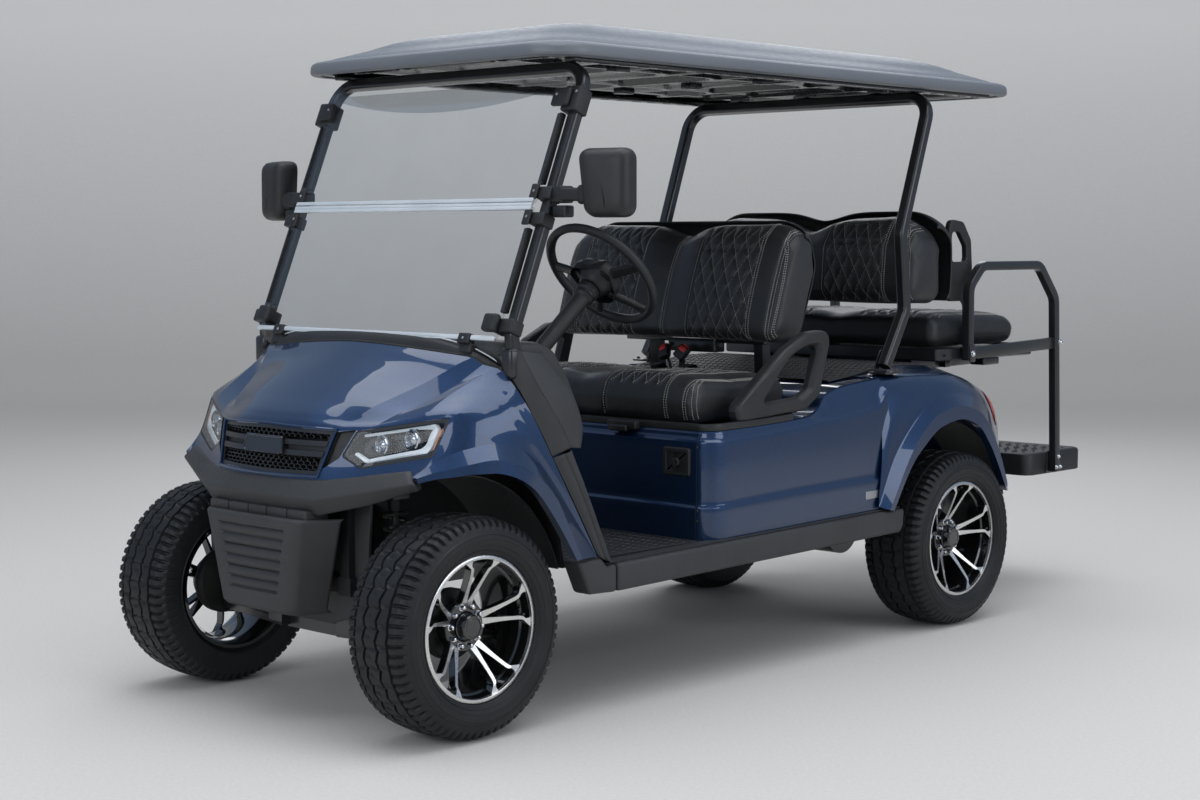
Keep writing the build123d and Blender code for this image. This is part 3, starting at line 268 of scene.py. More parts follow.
def bevelled(form, width, segments=2, angle=30):
    """Form with its sharp edges rounded."""
    verts, faces = form
    bm = bmesh.new()
    made = [bm.verts.new(v) for v in verts]
    for face in faces:
        bm.faces.new([made[i] for i in face])
    bmesh.ops.recalc_face_normals(bm, faces=bm.faces)
    limit = math.radians(angle)
    edges = [e for e in bm.edges if len(e.link_faces) == 2 and e.calc_face_angle(0) > limit]
    bmesh.ops.bevel(bm, geom=edges, offset=width, segments=segments, profile=0.5, affect="EDGES",
                    clamp_overlap=True)
    bm.verts.index_update()
    result = [tuple(v.co) for v in bm.verts], [tuple(v.index for v in f.verts) for f in bm.faces]
    bm.free()
    return result


def soft_block(low, high, width, segments=2):
    """Block with rounded edges."""
    return bevelled(block_form(low, high), width, segments)


def make(name, forms, materials, body="cart", replaces=(), sharp=35, recalc=True):
    """Piece out of forms. An entry of forms is a form, or (form, number of its material)."""
    verts, faces, marks = [], [], []
    for entry in forms:
        form, mark = entry if isinstance(entry[1], int) else (entry, 0)
        start = len(verts)
        verts += [tuple(v) for v in form[0]]
        faces += [tuple(start + i for i in face) for face in form[1]]
        marks += [mark] * len(form[1])
    mesh = bpy.data.meshes.new(name)
    mesh.from_pydata(verts, [], faces)
    mesh.polygons.foreach_set("material_index", marks)
    if recalc:
        bm = bmesh.new()
        bm.from_mesh(mesh)
        bmesh.ops.recalc_face_normals(bm, faces=bm.faces)
        bm.to_mesh(mesh)
        bm.free()
    mesh.shade_smooth()
    if sharp:
        mesh.set_sharp_from_angle(angle=math.radians(sharp))
    for material in materials if isinstance(materials, (list, tuple)) else [materials]:
        mesh.materials.append(material)
    piece = bpy.data.objects.new(name, mesh)
    bpy.context.scene.collection.objects.link(piece)
    if body:
        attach(piece, body)
    if replaces:
        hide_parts(*replaces)
    return piece


def evaluated(piece):
    """Mesh of a piece with its modifiers applied, which then replaces its own."""
    bpy.context.view_layer.update()
    graph = bpy.context.evaluated_depsgraph_get()
    mesh = bpy.data.meshes.new_from_object(piece.evaluated_get(graph))
    piece.modifiers.clear()
    piece.data = mesh
    return mesh


def thickened(piece, thickness, offset=0):
    """Gives an open surface a thickness, to both sides or to the one that offset names."""
    change = piece.modifiers.new("thick", "SOLIDIFY")
    change.thickness, change.offset = thickness, offset
    evaluated(piece)


def creased(piece, degrees):
    """Smooth shading that breaks where the surface bends by more than this."""
    piece.data.shade_smooth()
    piece.data.set_sharp_from_angle(angle=math.radians(degrees))


def cut(piece, cutters):
    """Cuts closed forms out of a piece."""
    holder = make(piece.name + "_cut", cutters, [], body=None, sharp=0)
    change = piece.modifiers.new("cut", "BOOLEAN")
    change.operation, change.solver, change.object = "DIFFERENCE", "EXACT", holder
    evaluated(piece)
    bpy.data.objects.remove(holder)


# ================================================================ materials
def new_material(name):
    material = bpy.data.materials.new(name)
    material.use_nodes = True
    tree = material.node_tree
    shader = tree.nodes["Principled BSDF"]
    place = tree.nodes.new("ShaderNodeTexCoord").outputs["Object"]
    return material, tree, shader, place


def noise_node(tree, place, scale, detail=3.0):
    node = tree.nodes.new("ShaderNodeTexNoise")
    node.inputs["Scale"].default_value = scale
    node.inputs["Detail"].default_value = detail
    node.inputs["Roughness"].default_value = 0.55
    tree.links.new(place, node.inputs["Vector"])
    return node.outputs["Fac"]


def cells_node(tree, place, scale):
    """Texture of cells, as outputs for its colour and for the distance from a cell's middle."""
    node = tree.nodes.new("ShaderNodeTexVoronoi")
    node.inputs["Scale"].default_value = scale
    tree.links.new(place, node.inputs["Vector"])
    return node.outputs["Color"], node.outputs["Distance"]


def spread(tree, value, low, high, start=0.3, end=0.7):
    """The value from start to end as a number from low to high."""
    node = tree.nodes.new("ShaderNodeMapRange")
    node.inputs["From Min"].default_value, node.inputs["From Max"].default_value = start, end
    node.inputs["To Min"].default_value, node.inputs["To Max"].default_value = low, high
    tree.links.new(value, node.inputs["Value"])
    return node.outputs["Result"]


def blend_colour(tree, value, first, second, start=0.35, end=0.65):
    ramp = tree.nodes.new("ShaderNodeValToRGB")
    ramp.color_ramp.elements[0].position, ramp.color_ramp.elements[1].position = start, end
    ramp.color_ramp.elements[0].color = (*first, 1)
    ramp.color_ramp.elements[1].color = (*second, 1)
    tree.links.new(value, ramp.inputs["Fac"])
    return ramp.outputs["Color"]


def bump(tree, shader, height, distance, strength=1.0, before=None):
    node = tree.nodes.new("ShaderNodeBump")
    node.inputs["Distance"].default_value = distance
    node.inputs["Strength"].default_value = strength
    tree.links.new(height, node.inputs["Height"])
    if before:
        tree.links.new(before, node.inputs["Normal"])
    tree.links.new(node.outputs["Normal"], shader.inputs["Normal"])
    return node.outputs["Normal"]


def surface(name, colour, second, rough, metallic=0.0, coat=0.0, coat_rough=0.03, patch=9.0,
            grain=None, grain_depth=0.0002, grain_strength=0.5, kind="noise", wave=None, wave_depth=0.0003,
            sheen=0.0, specular=0.5):
    """Procedural finish: two close tones in patches, a range of roughness and a fine relief."""
    material, tree, shader, place = new_material(name)
    patches = noise_node(tree, place, patch)
    tree.links.new(blend_colour(tree, patches, colour, second), shader.inputs["Base Color"])
    fine = noise_node(tree, place, patch * 14)
    tree.links.new(spread(tree, fine, *rough), shader.inputs["Roughness"])
    for socket, value in (("Metallic", metallic), ("Coat Weight", coat), ("Coat Roughness", coat_rough),
                          ("Sheen Weight", sheen), ("Specular IOR Level", specular)):
        shader.inputs[socket].default_value = value
    normal = None
    if wave:
        normal = bump(tree, shader, noise_node(tree, place, wave, 2.0), wave_depth, 0.6)
    if grain:
        relief = cells_node(tree, place, grain)[1] if kind == "cells" else noise_node(tree, place, grain, 4.0)
        bump(tree, shader, relief, grain_depth, grain_strength, normal)
    return material


def paint_material(name, deep, bright):
    """Metallic car paint: flakes that differ in tone under a smooth clear coat."""
    material, tree, shader, place = new_material(name)
    flakes = cells_node(tree, place, 900)[0]
    tree.links.new(blend_colour(tree, flakes, deep, bright, 0.1, 0.95), shader.inputs["Base Color"])
    cloud = noise_node(tree, place, 3.0)
    tree.links.new(spread(tree, cloud, 0.34, 0.42), shader.inputs["Roughness"])
    for socket, value in (("Metallic", 0.72), ("Coat Weight", 1.0), ("Coat Roughness", 0.02),
                          ("Coat IOR", 1.55)):
        shader.inputs[socket].default_value = value
    bump(tree, shader, noise_node(tree, place, 260, 1.0), 0.00004, 0.35)
    return material


def clear_material(name, tint, rough=0.02, gloss=1.45):
    """Thin clear sheet: what is behind shows through it, and its faces reflect."""
    material, tree, shader, place = new_material(name)
    tree.nodes.remove(shader)
    through = tree.nodes.new("ShaderNodeBsdfTransparent")
    haze = noise_node(tree, place, 5.0)
    tree.links.new(blend_colour(tree, haze, tint, tuple(c * 0.985 for c in tint)), through.inputs["Color"])
    shine = tree.nodes.new("ShaderNodeBsdfGlossy")
    shine.inputs["Roughness"].default_value = rough
    facing = tree.nodes.new("ShaderNodeLayerWeight")
    facing.inputs["Blend"].default_value = 0.5
    steep = tree.nodes.new("ShaderNodeMath")
    steep.operation = "POWER"
    steep.inputs[1].default_value = 4.0
    tree.links.new(facing.outputs["Facing"], steep.inputs[0])
    base = ((gloss - 1) / (gloss + 1)) ** 2
    edge = spread(tree, steep.outputs["Value"], base, 1.0, 0.0, 1.0)
    mix = tree.nodes.new("ShaderNodeMixShader")
    tree.links.new(edge, mix.inputs["Fac"])
    tree.links.new(through.outputs["BSDF"], mix.inputs[1])
    tree.links.new(shine.outputs["BSDF"], mix.inputs[2])
    tree.links.new(mix.outputs["Shader"], tree.nodes["Material Output"].inputs["Surface"])
    return material


PAINT = paint_material("body_paint", (0.0025, 0.0165, 0.055), (0.009, 0.046, 0.138))
TRIM = surface("trim_plastic", (0.030, 0.031, 0.033), (0.036, 0.037, 0.040), (0.50, 0.62), grain=1400,
               grain_depth=0.00025, grain_strength=0.55, kind="cells", specular=0.45)
DARK = surface("dark_plastic", (0.011, 0.0115, 0.012), (0.015, 0.0155, 0.0165), (0.42, 0.55), grain=1300,
               grain_depth=0.0002, grain_strength=0.5, kind="cells")
STEEL = surface("black_steel", (0.008, 0.008, 0.009), (0.011, 0.011, 0.012), (0.28, 0.40), coat=0.5,
                coat_rough=0.16, grain=380, grain_depth=0.00006, grain_strength=0.4)
LEATHER = surface("seat_leather", (0.011, 0.0118, 0.013), (0.015, 0.016, 0.0175), (0.36, 0.50), grain=620,
                  grain_depth=0.00035, grain_strength=0.6, kind="cells", wave=28, wave_depth=0.002,
                  sheen=0.05)
THREAD = surface("seat_thread", (0.44, 0.43, 0.41), (0.60, 0.58, 0.55), (0.62, 0.8), patch=60, grain=3500,
                 grain_depth=0.0002)
RUBBER = surface("tyre_rubber", (0.0075, 0.0080, 0.0092), (0.0115, 0.0122, 0.0138), (0.44, 0.60), grain=900,
                 grain_depth=0.0003, grain_strength=0.5, wave=120, wave_depth=0.0004, specular=0.36)
MAT = surface("mat_rubber", (0.014, 0.015, 0.017), (0.022, 0.023, 0.026), (0.50, 0.70), grain=700,
              grain_depth=0.0003, grain_strength=0.5)
ALLOY = surface("wheel_machined", (0.66, 0.65, 0.63), (0.72, 0.71, 0.69), (0.24, 0.34), metallic=1.0,
                coat=0.6, patch=20, grain=1800, grain_depth=0.00003, grain_strength=0.35)
GLOSS = surface("wheel_gloss_black", (0.004, 0.004, 0.0045), (0.007, 0.007, 0.0075), (0.12, 0.2), coat=1.0,
                grain=300, grain_depth=0.00002, grain_strength=0.3)
CHROME = surface("chrome", (0.72, 0.72, 0.73), (0.8, 0.8, 0.81), (0.06, 0.14), metallic=1.0, patch=40,
                 grain=900, grain_depth=0.00002, grain_strength=0.3)
BRIGHT = surface("zinc_steel", (0.42, 0.42, 0.43), (0.52, 0.52, 0.52), (0.30, 0.48), metallic=1.0, patch=30,
                 grain=500, grain_depth=0.00006)
IRON = surface("chassis_black", (0.010, 0.010, 0.010), (0.018, 0.017, 0.016), (0.45, 0.7), patch=14,
               grain=240, grain_depth=0.0003)
ROOF = surface("roof_plastic", (0.125, 0.138, 0.158), (0.137, 0.150, 0.170), (0.34, 0.46), grain=900,
               grain_depth=0.00012, grain_strength=0.45, kind="cells", coat=0.15, coat_rough=0.35, patch=4)
CLEAR = clear_material("clear_sheet", (0.965, 0.975, 0.98))
CLEAR_EDGE = clear_material("clear_edge", (0.86, 0.90, 0.92), rough=0.05, gloss=1.9)
TINT = clear_material("tint_band", (0.62, 0.64, 0.66), rough=0.05)
LENS = clear_material("lamp_lens", (0.90, 0.93, 0.95), gloss=1.5)
LAMP_DARK = surface("lamp_inside", (0.010, 0.0115, 0.0135), (0.018, 0.020, 0.023), (0.22, 0.34), metallic=0.4,
                    grain=500, grain_depth=0.0001)
LAMP_CHROME = surface("lamp_chrome", (0.50, 0.52, 0.55), (0.60, 0.62, 0.65), (0.08, 0.16), metallic=1.0,
                      patch=30, grain=700, grain_depth=0.00002)
LIGHT_BAR = surface("light_bar", (0.80, 0.83, 0.87), (0.88, 0.90, 0.93), (0.15, 0.28), coat=1.0, patch=50,
                    grain=400, grain_depth=0.0001)
ORANGE = surface("turn_lens", (0.62, 0.16, 0.02), (0.74, 0.22, 0.035), (0.12, 0.22), coat=1.0, patch=60,
                 grain=420, grain_depth=0.0004)
RED = surface("tail_lens", (0.42, 0.012, 0.014), (0.52, 0.02, 0.02), (0.10, 0.2), coat=1.0, patch=60,
              grain=420, grain_depth=0.0003)
RED_BUTTON = surface("buckle_red", (0.55, 0.02, 0.015), (0.62, 0.03, 0.02), (0.3, 0.4), patch=60, grain=900)
BELT = surface("belt_web", (0.012, 0.012, 0.013), (0.02, 0.02, 0.021), (0.6, 0.75), patch=60, grain=900,
               grain_depth=0.0004, kind="cells")
LINING = surface("lining_black", (0.006, 0.006, 0.0065), (0.010, 0.010, 0.011), (0.20, 0.32), coat=0.6,
                 patch=18, grain=500)
BAR = surface("clear_bar", (0.50, 0.55, 0.60), (0.60, 0.65, 0.70), (0.08, 0.16), coat=1.0, patch=5, grain=300)
GLASS_DARK = surface("mirror_glass", (0.55, 0.57, 0.6), (0.6, 0.62, 0.65), (0.02, 0.05), metallic=1.0,
                     patch=10, grain=300, grain_depth=0.00001)

SLOT_FINISH = {"body_paint": PAINT, "trim_plastic": TRIM, "dark_plastic": DARK, "black_steel": STEEL,
               "shock_metal": BRIGHT, "seat_leather": LEATHER, "mat_rubber": MAT, "roof_plastic": ROOF,
               "clear_sheet": CLEAR, "head_lens": LENS, "tail_lens": RED, "wheel_alloy": GLOSS,
               "tyre_rubber": RUBBER,}


def dress(node, material):
    """Gives a CAD node that stays a better material."""
    for place in range(max(1, len(node.material_slots))):
        if place < len(node.material_slots):
            node.material_slots[place].material = material
        else:
            node.data.materials.append(material)


# ================================================================ stage, lights and camera
PALE, WALL_GLOW = 0.60, 0.24
FLOOR_AHEAD, FLOOR_BEHIND, FLOOR_HALF = 14.0, 9.0, 24
BACKDROP_HIGH, BEND, BEND_STEPS = 6.0, 2.5, 14
SKY_STRENGTH, SKY_IN_GLOSS = 0.66, 0.42
# share of the way up, colour
SKY_TONES = ((0.0, (0.30, 0.33, 0.37)), (0.75, (0.96, 1.01, 1.08)), (0.25, (0.52, 0.58, 0.67)))


def pale_material():
    """Floor and backdrop in one: pale and matt, and the backdrop glows a little for the camera alone."""
    material, tree, shader, place = new_material("pale_floor")
    grains = noise_node(tree, place, 90, 5.0)
    darker, lighter = ([PALE * share for share in tint] for tint in ((0.93, 0.92, 0.90), (1, 0.99, 0.975)))
    tree.links.new(blend_colour(tree, grains, darker, lighter), shader.inputs["Base Color"])
    shader.inputs["Roughness"].default_value = 0.75
    bump(tree, shader, grains, 0.0006, 0.35)
    rays = tree.nodes.new("ShaderNodeLightPath")
    height = tree.nodes.new("ShaderNodeSeparateXYZ")
    tree.links.new(place, height.inputs["Vector"])
    glow = spread(tree, height.outputs["Z"], 0.0, WALL_GLOW, 0.3, 3.2)
    seen = tree.nodes.new("ShaderNodeMath")
    seen.operation = "MULTIPLY"
    tree.links.new(glow, seen.inputs[0])
    tree.links.new(rays.outputs["Is Camera Ray"], seen.inputs[1])
    shader.inputs["Emission Color"].default_value = (0.97, 0.985, 1.0, 1)
    tree.links.new(seen.outputs["Value"], shader.inputs["Emission Strength"])
    return material


def build_stage():
    """Floor that curves up into a backdrop, square to the camera."""
    profile = [(-FLOOR_AHEAD, 0.0)]
    for k in range(BEND_STEPS + 1):
        turn = math.pi / 2 * k / BEND_STEPS
        profile.append((FLOOR_BEHIND + BEND * math.sin(turn), BEND * (1 - math.cos(turn))))
    profile.append((FLOOR_BEHIND + BEND, BACKDROP_HIGH))
    rows = [[(x, y, z) for x in np.linspace(-FLOOR_HALF, FLOOR_HALF, 9)] for y, z in profile]
    floor = make("studio_floor", [sheet_form(rows)], pale_material(), body=None, sharp=0)
    floor.rotation_euler = (0, 0, CAMERA_YAW)


def build_sky():
    """World that brightens upwards, and that glossy surfaces see dimmer and bluer."""
    world = bpy.data.worlds.new("studio")
    world.use_nodes = True
    bpy.context.scene.world = world
    nodes, links = world.node_tree.nodes, world.node_tree.links
    nodes.clear()
    output = nodes.new("ShaderNodeOutputWorld")
    sky, mirrored_sky = nodes.new("ShaderNodeBackground"), nodes.new("ShaderNodeBackground")
    sky.inputs["Strength"].default_value = SKY_STRENGTH
    mirrored_sky.inputs["Strength"].default_value = SKY_IN_GLOSS
    mirrored_sky.inputs["Color"].default_value = (0.55, 0.72, 1.0, 1)
    rays, choice = nodes.new("ShaderNodeLightPath"), nodes.new("ShaderNodeMixShader")
    height = nodes.new("ShaderNodeSeparateXYZ")
    links.new(nodes.new("ShaderNodeTexCoord").outputs["Generated"], height.inputs["Vector"])
    ramp = nodes.new("ShaderNodeValToRGB")
    stops = ramp.color_ramp.elements
    for stop, (position, colour) in zip((stops[0], stops[1], stops.new(SKY_TONES[2][0])), SKY_TONES):
        stop.position, stop.color = position, (*colour, 1)
    links.new(height.outputs["Z"], ramp.inputs["Fac"])
    links.new(ramp.outputs["Color"], sky.inputs["Color"])
    links.new(rays.outputs["Is Glossy Ray"], choice.inputs["Fac"])
    links.new(sky.outputs["Background"], choice.inputs[1])
    links.new(mirrored_sky.outputs["Background"], choice.inputs[2])
    links.new(choice.outputs["Shader"], output.inputs["Surface"])


def soft_light(name, location, target, size, power, colour=(1, 1, 1)):
    data = bpy.data.lights.new(name, "AREA")
    data.shape, data.size, data.size_y = "RECTANGLE", size[0], size[1]
    data.energy, data.color = power, colour
    lamp = bpy.data.objects.new(name, data)
    lamp.location = location
    lamp.rotation_euler = (Vector(target) - Vector(location)).to_track_quat("-Z", "Y").to_euler()
    bpy.context.scene.collection.objects.link(lamp)


CAMERA_PLACE = (4.392, -4.9845, 1.292)
CAMERA_YAW, CAMERA_PITCH = 0.761, 0.079
CAMERA_FOCAL = 2030.2 / 1200            # focal length as a share of the frame's width
SENSOR = 36.0


def build_camera():
    data = bpy.data.cameras.new("camera")
    data.sensor_width, data.lens = SENSOR, SENSOR * CAMERA_FOCAL
    data.clip_end = 100
    camera = bpy.data.objects.new("camera", data)
    camera.location = CAMERA_PLACE
    flat = math.cos(CAMERA_PITCH)
    sight = Vector((-math.sin(CAMERA_YAW) * flat, math.cos(CAMERA_YAW) * flat, -math.sin(CAMERA_PITCH)))
    camera.rotation_euler = sight.to_track_quat("-Z", "Y").to_euler()
    bpy.context.scene.collection.objects.link(camera)
    bpy.context.scene.camera = camera


build_camera()
build_stage()
build_sky()
soft_light("overhead", (0.5, -0.5, 5.2), (0, 0, 0.5), (6.5, 5.0), 215, (0.97, 0.985, 1.0))
soft_light("front_fill", (1.5, -6.5, 2.6), (0, -0.8, 0.8), (4.5, 2.4), 85, (0.96, 0.98, 1.0))
soft_light("side_fill", (6.5, 1.0, 2.8), (0, 0, 0.8), (5.0, 2.6), 95, (0.97, 0.985, 1.0))
soft_light("rear_rim", (-4.0, 4.5, 3.6), (0, 0, 1.0), (4.0, 2.4), 60)
bpy.context.scene.view_settings.view_transform = "Standard"


# ================================================================ wheels
PITCHES = 70                            # shoulder blocks round a tyre
PITCH_STEPS = (0.0, 0.12, 0.26, 0.52, 0.66, 0.84)
CUT_STEPS = (1, 2)                      # the steps of a pitch where the shoulder is cut
GROOVE_DEPTH, SIPE_DEPTH, CUT_DEPTH = 0.0080, 0.0050, 0.0080
GROOVE_HALF = 0.0040
# main grooves: place across the tread, and how far each zigzags
MAIN_GROOVES = ((-0.062, 0.0015), (-0.024, 0.0045), (0.024, 0.0045), (0.062, 0.0015))
TREAD_HALF = 0.088
CROWN_DROP = 0.0065                     # how much lower the tread lies at its edges
TREAD_SLANT = 0.08                      # how far the lines across it swing out, as a share of a pitch
LUG_REACH = 0.031                       # how far the shoulder blocks come down the sidewall


# raised rings moulded in the sidewall: distance from the bead, half width, height. The tyre's inner side
# has only the first one
SIDEWALL_RINGS = ((0.0125, 0.0016, 0.0022), (0.0260, 0.0010, 0.0011), (0.0440, 0.0010, 0.0010),
                  (0.0570, 0.0018, 0.0024))


def tyre_profile(rings):
    """Half of the carcass as (distance from the tyre's middle, radius), from the bead to the tread."""
    side, bead = TYRE_HALF, RIM_RADIUS + 0.0005
    control = [(side - 0.020, bead), (side - 0.012, bead + 0.004), (side - 0.007, bead + 0.012),
               (side - 0.001, bead + 0.032), (side - 0.0005, bead + 0.046), (side - 0.004, bead + 0.062),
               (side - 0.011, TYRE_RADIUS - 0.022), (side - 0.019, TYRE_RADIUS - 0.0115),
               (TREAD_HALF, TYRE_RADIUS - CROWN_DROP)]
    curve = np.array(catmull([(*p, 0) for p in control], 400))
    height = curve[:, 1] - RIM_RADIUS
    last = height[-1]
    stops = [height[0], 0.0030, 0.0070]
    for place, width, _ in rings:
        stops += [place + share * width for share in (-1.4, -0.7, 0.7, 1.4)]
    stops += list(np.linspace(last - 0.026, last, 6))
    return [(float(np.interp(stop, height, curve[:, 0])), RIM_RADIUS + stop) for stop in sorted(stops)]


def sidewall_points(profile, rings, turn, cut_here):
    """Points of one sidewall, with its raised rings, and the shoulder's cuts where cut_here says so."""
    points = []
    for a, r in profile:
        bead = r - RIM_RADIUS
        lift = sum(height for place, width, height in rings if abs(bead - place) < width)
        below_edge = r - TYRE_RADIUS + LUG_REACH
        slot = CUT_DEPTH * min(1, below_edge / 0.014) if cut_here and below_edge > 0 else 0.0
        points.append((a + lift * 0.9 - slot * 0.5, r - slot, turn))
    return points


def tread_rows():
    """(place across, zigzag, kind) of each line of points over the tread, from one shoulder to the other."""
    rows = [(-TREAD_HALF, 0, "edge"), (-TREAD_HALF + 0.008, 0, "block"), (-TREAD_HALF + 0.016, 0, "block")]
    for number, (place, wave) in enumerate(MAIN_GROOVES):
        rows += [(place - GROOVE_HALF - 0.0006, wave, "top"), (place - GROOVE_HALF + 0.0012, wave, "floor"),
                 (place + GROOVE_HALF - 0.0012, wave, "floor"), (place + GROOVE_HALF + 0.0006, wave, "top")]
        if number < len(MAIN_GROOVES) - 1:
            centre = (place + MAIN_GROOVES[number + 1][0]) / 2
            rows += [(centre - 0.006, wave / 2, "rib"), (centre + 0.006, wave / 2, "rib")]
    rows += [(TREAD_HALF - 0.016, 0, "block"), (TREAD_HALF - 0.008, 0, "block"), (TREAD_HALF, 0, "edge")]
    return rows


def tread_depth(place, kind, number, pitch):
    """How deep the tread is cut at a line of points, on the given step of a pitch."""
    cut_here = number in CUT_STEPS
    if kind == "floor":
        return GROOVE_DEPTH
    if kind in ("block", "edge"):
        return CUT_DEPTH if cut_here else 0.0
    if kind == "rib":
        slot_line = 1 + (1 if place > 0 else 0) + (2 if abs(place) < 0.012 else 0)
        sipe_here = number in (slot_line, slot_line + 1) and (pitch + (place > 0)) % 2 == 0
        return SIPE_DEPTH if sipe_here else 0.0
    if abs(place) < 0.05:                           # the tops of the middle ribs
        return SIPE_DEPTH if number in (5, 6) and pitch % 2 else 0.0
    return CUT_DEPTH * 0.9 if cut_here and abs(place) > 0.064 else 0.0


def tyre_form(side):
    """Tyre with cut tread, turned round X, its outer face towards side."""
    inner_rings = SIDEWALL_RINGS[:1]
    inner, outer = tyre_profile(inner_rings), tyre_profile(SIDEWALL_RINGS)
    lines = []
    for pitch in range(PITCHES):
        for number, share in enumerate(PITCH_STEPS):
            turn = 2 * math.pi * (pitch + share) / PITCHES
            cut_here = number in CUT_STEPS
            row = [(-a, r, t) for a, r, t in sidewall_points(inner, inner_rings, turn, cut_here)]
            swing = 2 * abs(2 * ((pitch / 2 + share / 2) % 1) - 1) - 1
            for place, wave, kind in tread_rows():
                a = place + wave * swing
                crown = TYRE_RADIUS - CROWN_DROP * (abs(a) / TREAD_HALF) ** 2.2
                slant = TREAD_SLANT * math.sin(math.pi * a / TREAD_HALF) * 2 * math.pi / PITCHES
                row.append((a, crown - tread_depth(place, kind, number, pitch), turn + slant))
            row += reversed(sidewall_points(outer, SIDEWALL_RINGS, turn, cut_here))
            lines.append([(side * a, r * math.cos(t), r * math.sin(t)) for a, r, t in row])
    return sheet_form(lines, close_rows=True, close_columns=True)


# lathe profiles: distance outwards (in HUB and CAP from the hub's face), and radius or, in BARREL and LIP,
# depth inside the rim's radius
BARREL = [(-0.100, 0), (-0.100, 0.010), (-0.070, 0.026), (0.030, 0.026), (0.052, 0.021), (0.060, 0.021),
          (0.064, 0.0155), (0.078, 0.0135), (0.090, 0.012), (0.0905, 0.010), (0.090, 0.006), (0.060, 0.007),
          (0.050, 0.018), (-0.060, 0.020), (-0.085, 0.008), (-0.092, 0)]
LIP = [(0.090, 0.0115), (0.0975, 0.0105), (0.0985, 0.0095), (0.0985, 0.0027), (0.0970, 0.0002), (0.0905, 0),
       (0.089, 0.004)]
HUB_BACK = [(-0.004, 0.0), (-0.004, 0.062), (0.024, 0.066)]
HUB = [(-0.003, 0.067), (0, 0.064), (0, 0.040), (-0.006, 0.038), (-0.006, 0.0)]
CAP = [(-0.006, 0.0380), (0.004, 0.0370), (0.006, 0.0350), (0.026, 0.0335), (0.0295, 0.0305),
       (0.0295, 0.0275), (0.0275, 0.0265), (0.0275, 0.0235), (0.0285, 0.0225), (0.0285, 0.0)]
NUT = [(0, 0.0), (0, 0.0072), (0.012, 0.0072), (0.0155, 0.0052), (0.0165, 0.003), (0.0165, 0.0)]
NUT_SEAT = [(-0.002, 0.0098), (0.0032, 0.0098), (0.0042, 0.0088), (0.0042, 0.006)]
DRUM = [(-0.040, 0.0), (-0.040, 0.086), (-0.034, 0.094), (-0.030, 0.094), (-0.028, 0.091), (-0.022, 0.091),
        (-0.020, 0.094), (-0.012, 0.094), (-0.007, 0.088), (-0.006, 0.060), (-0.004, 0.058)]
FACE_X = 0.088                          # outer face of the spokes at the rim
HUB_FACE_X = 0.0370                     # the hub lies deep in the rim
SPOKE_TURN, PAIRS = math.radians(14), 5
# spoke centre line: radius, half angle within a pair, half width, outer face
SPOKE_LINE = [(0.060, 8.4, 0.0100, HUB_FACE_X), (0.090, 9.0, 0.0076, HUB_FACE_X + 0.016),
              (0.125, 9.8, 0.0062, FACE_X - 0.017), (0.153, 10.6, 0.0060, FACE_X - 0.003),
              (0.166, 13.6, 0.0064, FACE_X + 0.002),
              (0.1765, 15.2, 0.0110, FACE_X + 0.004), (0.185, 15.6, 0.0170, FACE_X + 0.0065)]
SPOKE_THICK, SPOKE_EDGE = 0.026, 0.0012
LUG_CIRCLE = 0.0525


def spoke_forms(turn, lean):
    """Machined face and gloss black body of one spoke."""
    face_rows, body_rows = [], []
    for radius, spread_angle, half, face in catmull(SPOKE_LINE, 16):
        a = turn + lean * math.radians(spread_angle)
        centre = Vector((face, radius * math.cos(a), radius * math.sin(a)))
        across = Vector((0, -math.sin(a), math.cos(a)))
        inner, outer = centre - across * half, centre + across * half
        left, right = inner + across * SPOKE_EDGE, outer - across * SPOKE_EDGE
        drop, back = Vector((-0.0016, 0, 0)), Vector((-SPOKE_THICK, 0, 0))
        face_rows.append([left, centre, right])
        body_rows.append([left, inner + drop, inner + back + across * half * 0.4,
                          outer + back - across * half * 0.4, outer + drop, right])
    return sheet_form(face_rows), sheet_form(body_rows)


def wheel_forms():
    """Wheel about the origin with its outer face towards +X: (form, material number) entries."""
    rim = [(a, RIM_RADIUS - depth) for a, depth in BARREL]
    lip = [(a, RIM_RADIUS - depth) for a, depth in LIP]
    hub = [(HUB_FACE_X + a, r) for a, r in HUB]
    cap = [(HUB_FACE_X + a, r) for a, r in CAP]
    forms = [(lathe_form(rim, 96), 1), (lathe_form(lip, 120), 0),
             (lathe_form(HUB_BACK + hub, 64, closed=False), 1), (lathe_form(cap, 48, closed=False), 1)]
    for pair in range(PAIRS):
        turn = SPOKE_TURN + 2 * math.pi * pair / PAIRS
        for lean in (-1, 1):
            face, back = spoke_forms(turn, lean)
            forms += [(face, 0), (back, 1)]
        web = [(HUB_FACE_X + out, reach * math.cos(turn + s), reach * math.sin(turn + s))
               for out, reach, s in ((-0.006, 0.060, -0.2), (-0.001, 0.081, 0), (-0.006, 0.060, 0.2))]
        forms.append(((web, [(0, 1, 2)]), 1))
    for lug in range(2 * PAIRS):
        turn = SPOKE_TURN + math.pi * (lug + 0.5) / PAIRS
        centre = (HUB_FACE_X - 0.004, LUG_CIRCLE * math.cos(turn), LUG_CIRCLE * math.sin(turn))
        forms.append((lathe_form(NUT, 6, centre, closed=False, angle=0.4 * lug), 2))
        forms.append((lathe_form(NUT_SEAT, 14, centre, closed=False), 1 if lug % 2 else 2))
    valve = sweep_form([(0.084, 0.158, 0.02), (0.098, 0.152, 0.019)], circle_section(0.0034, 8))
    return forms + [(valve, 1), (lathe_form(DRUM, 60, closed=False), 3)]


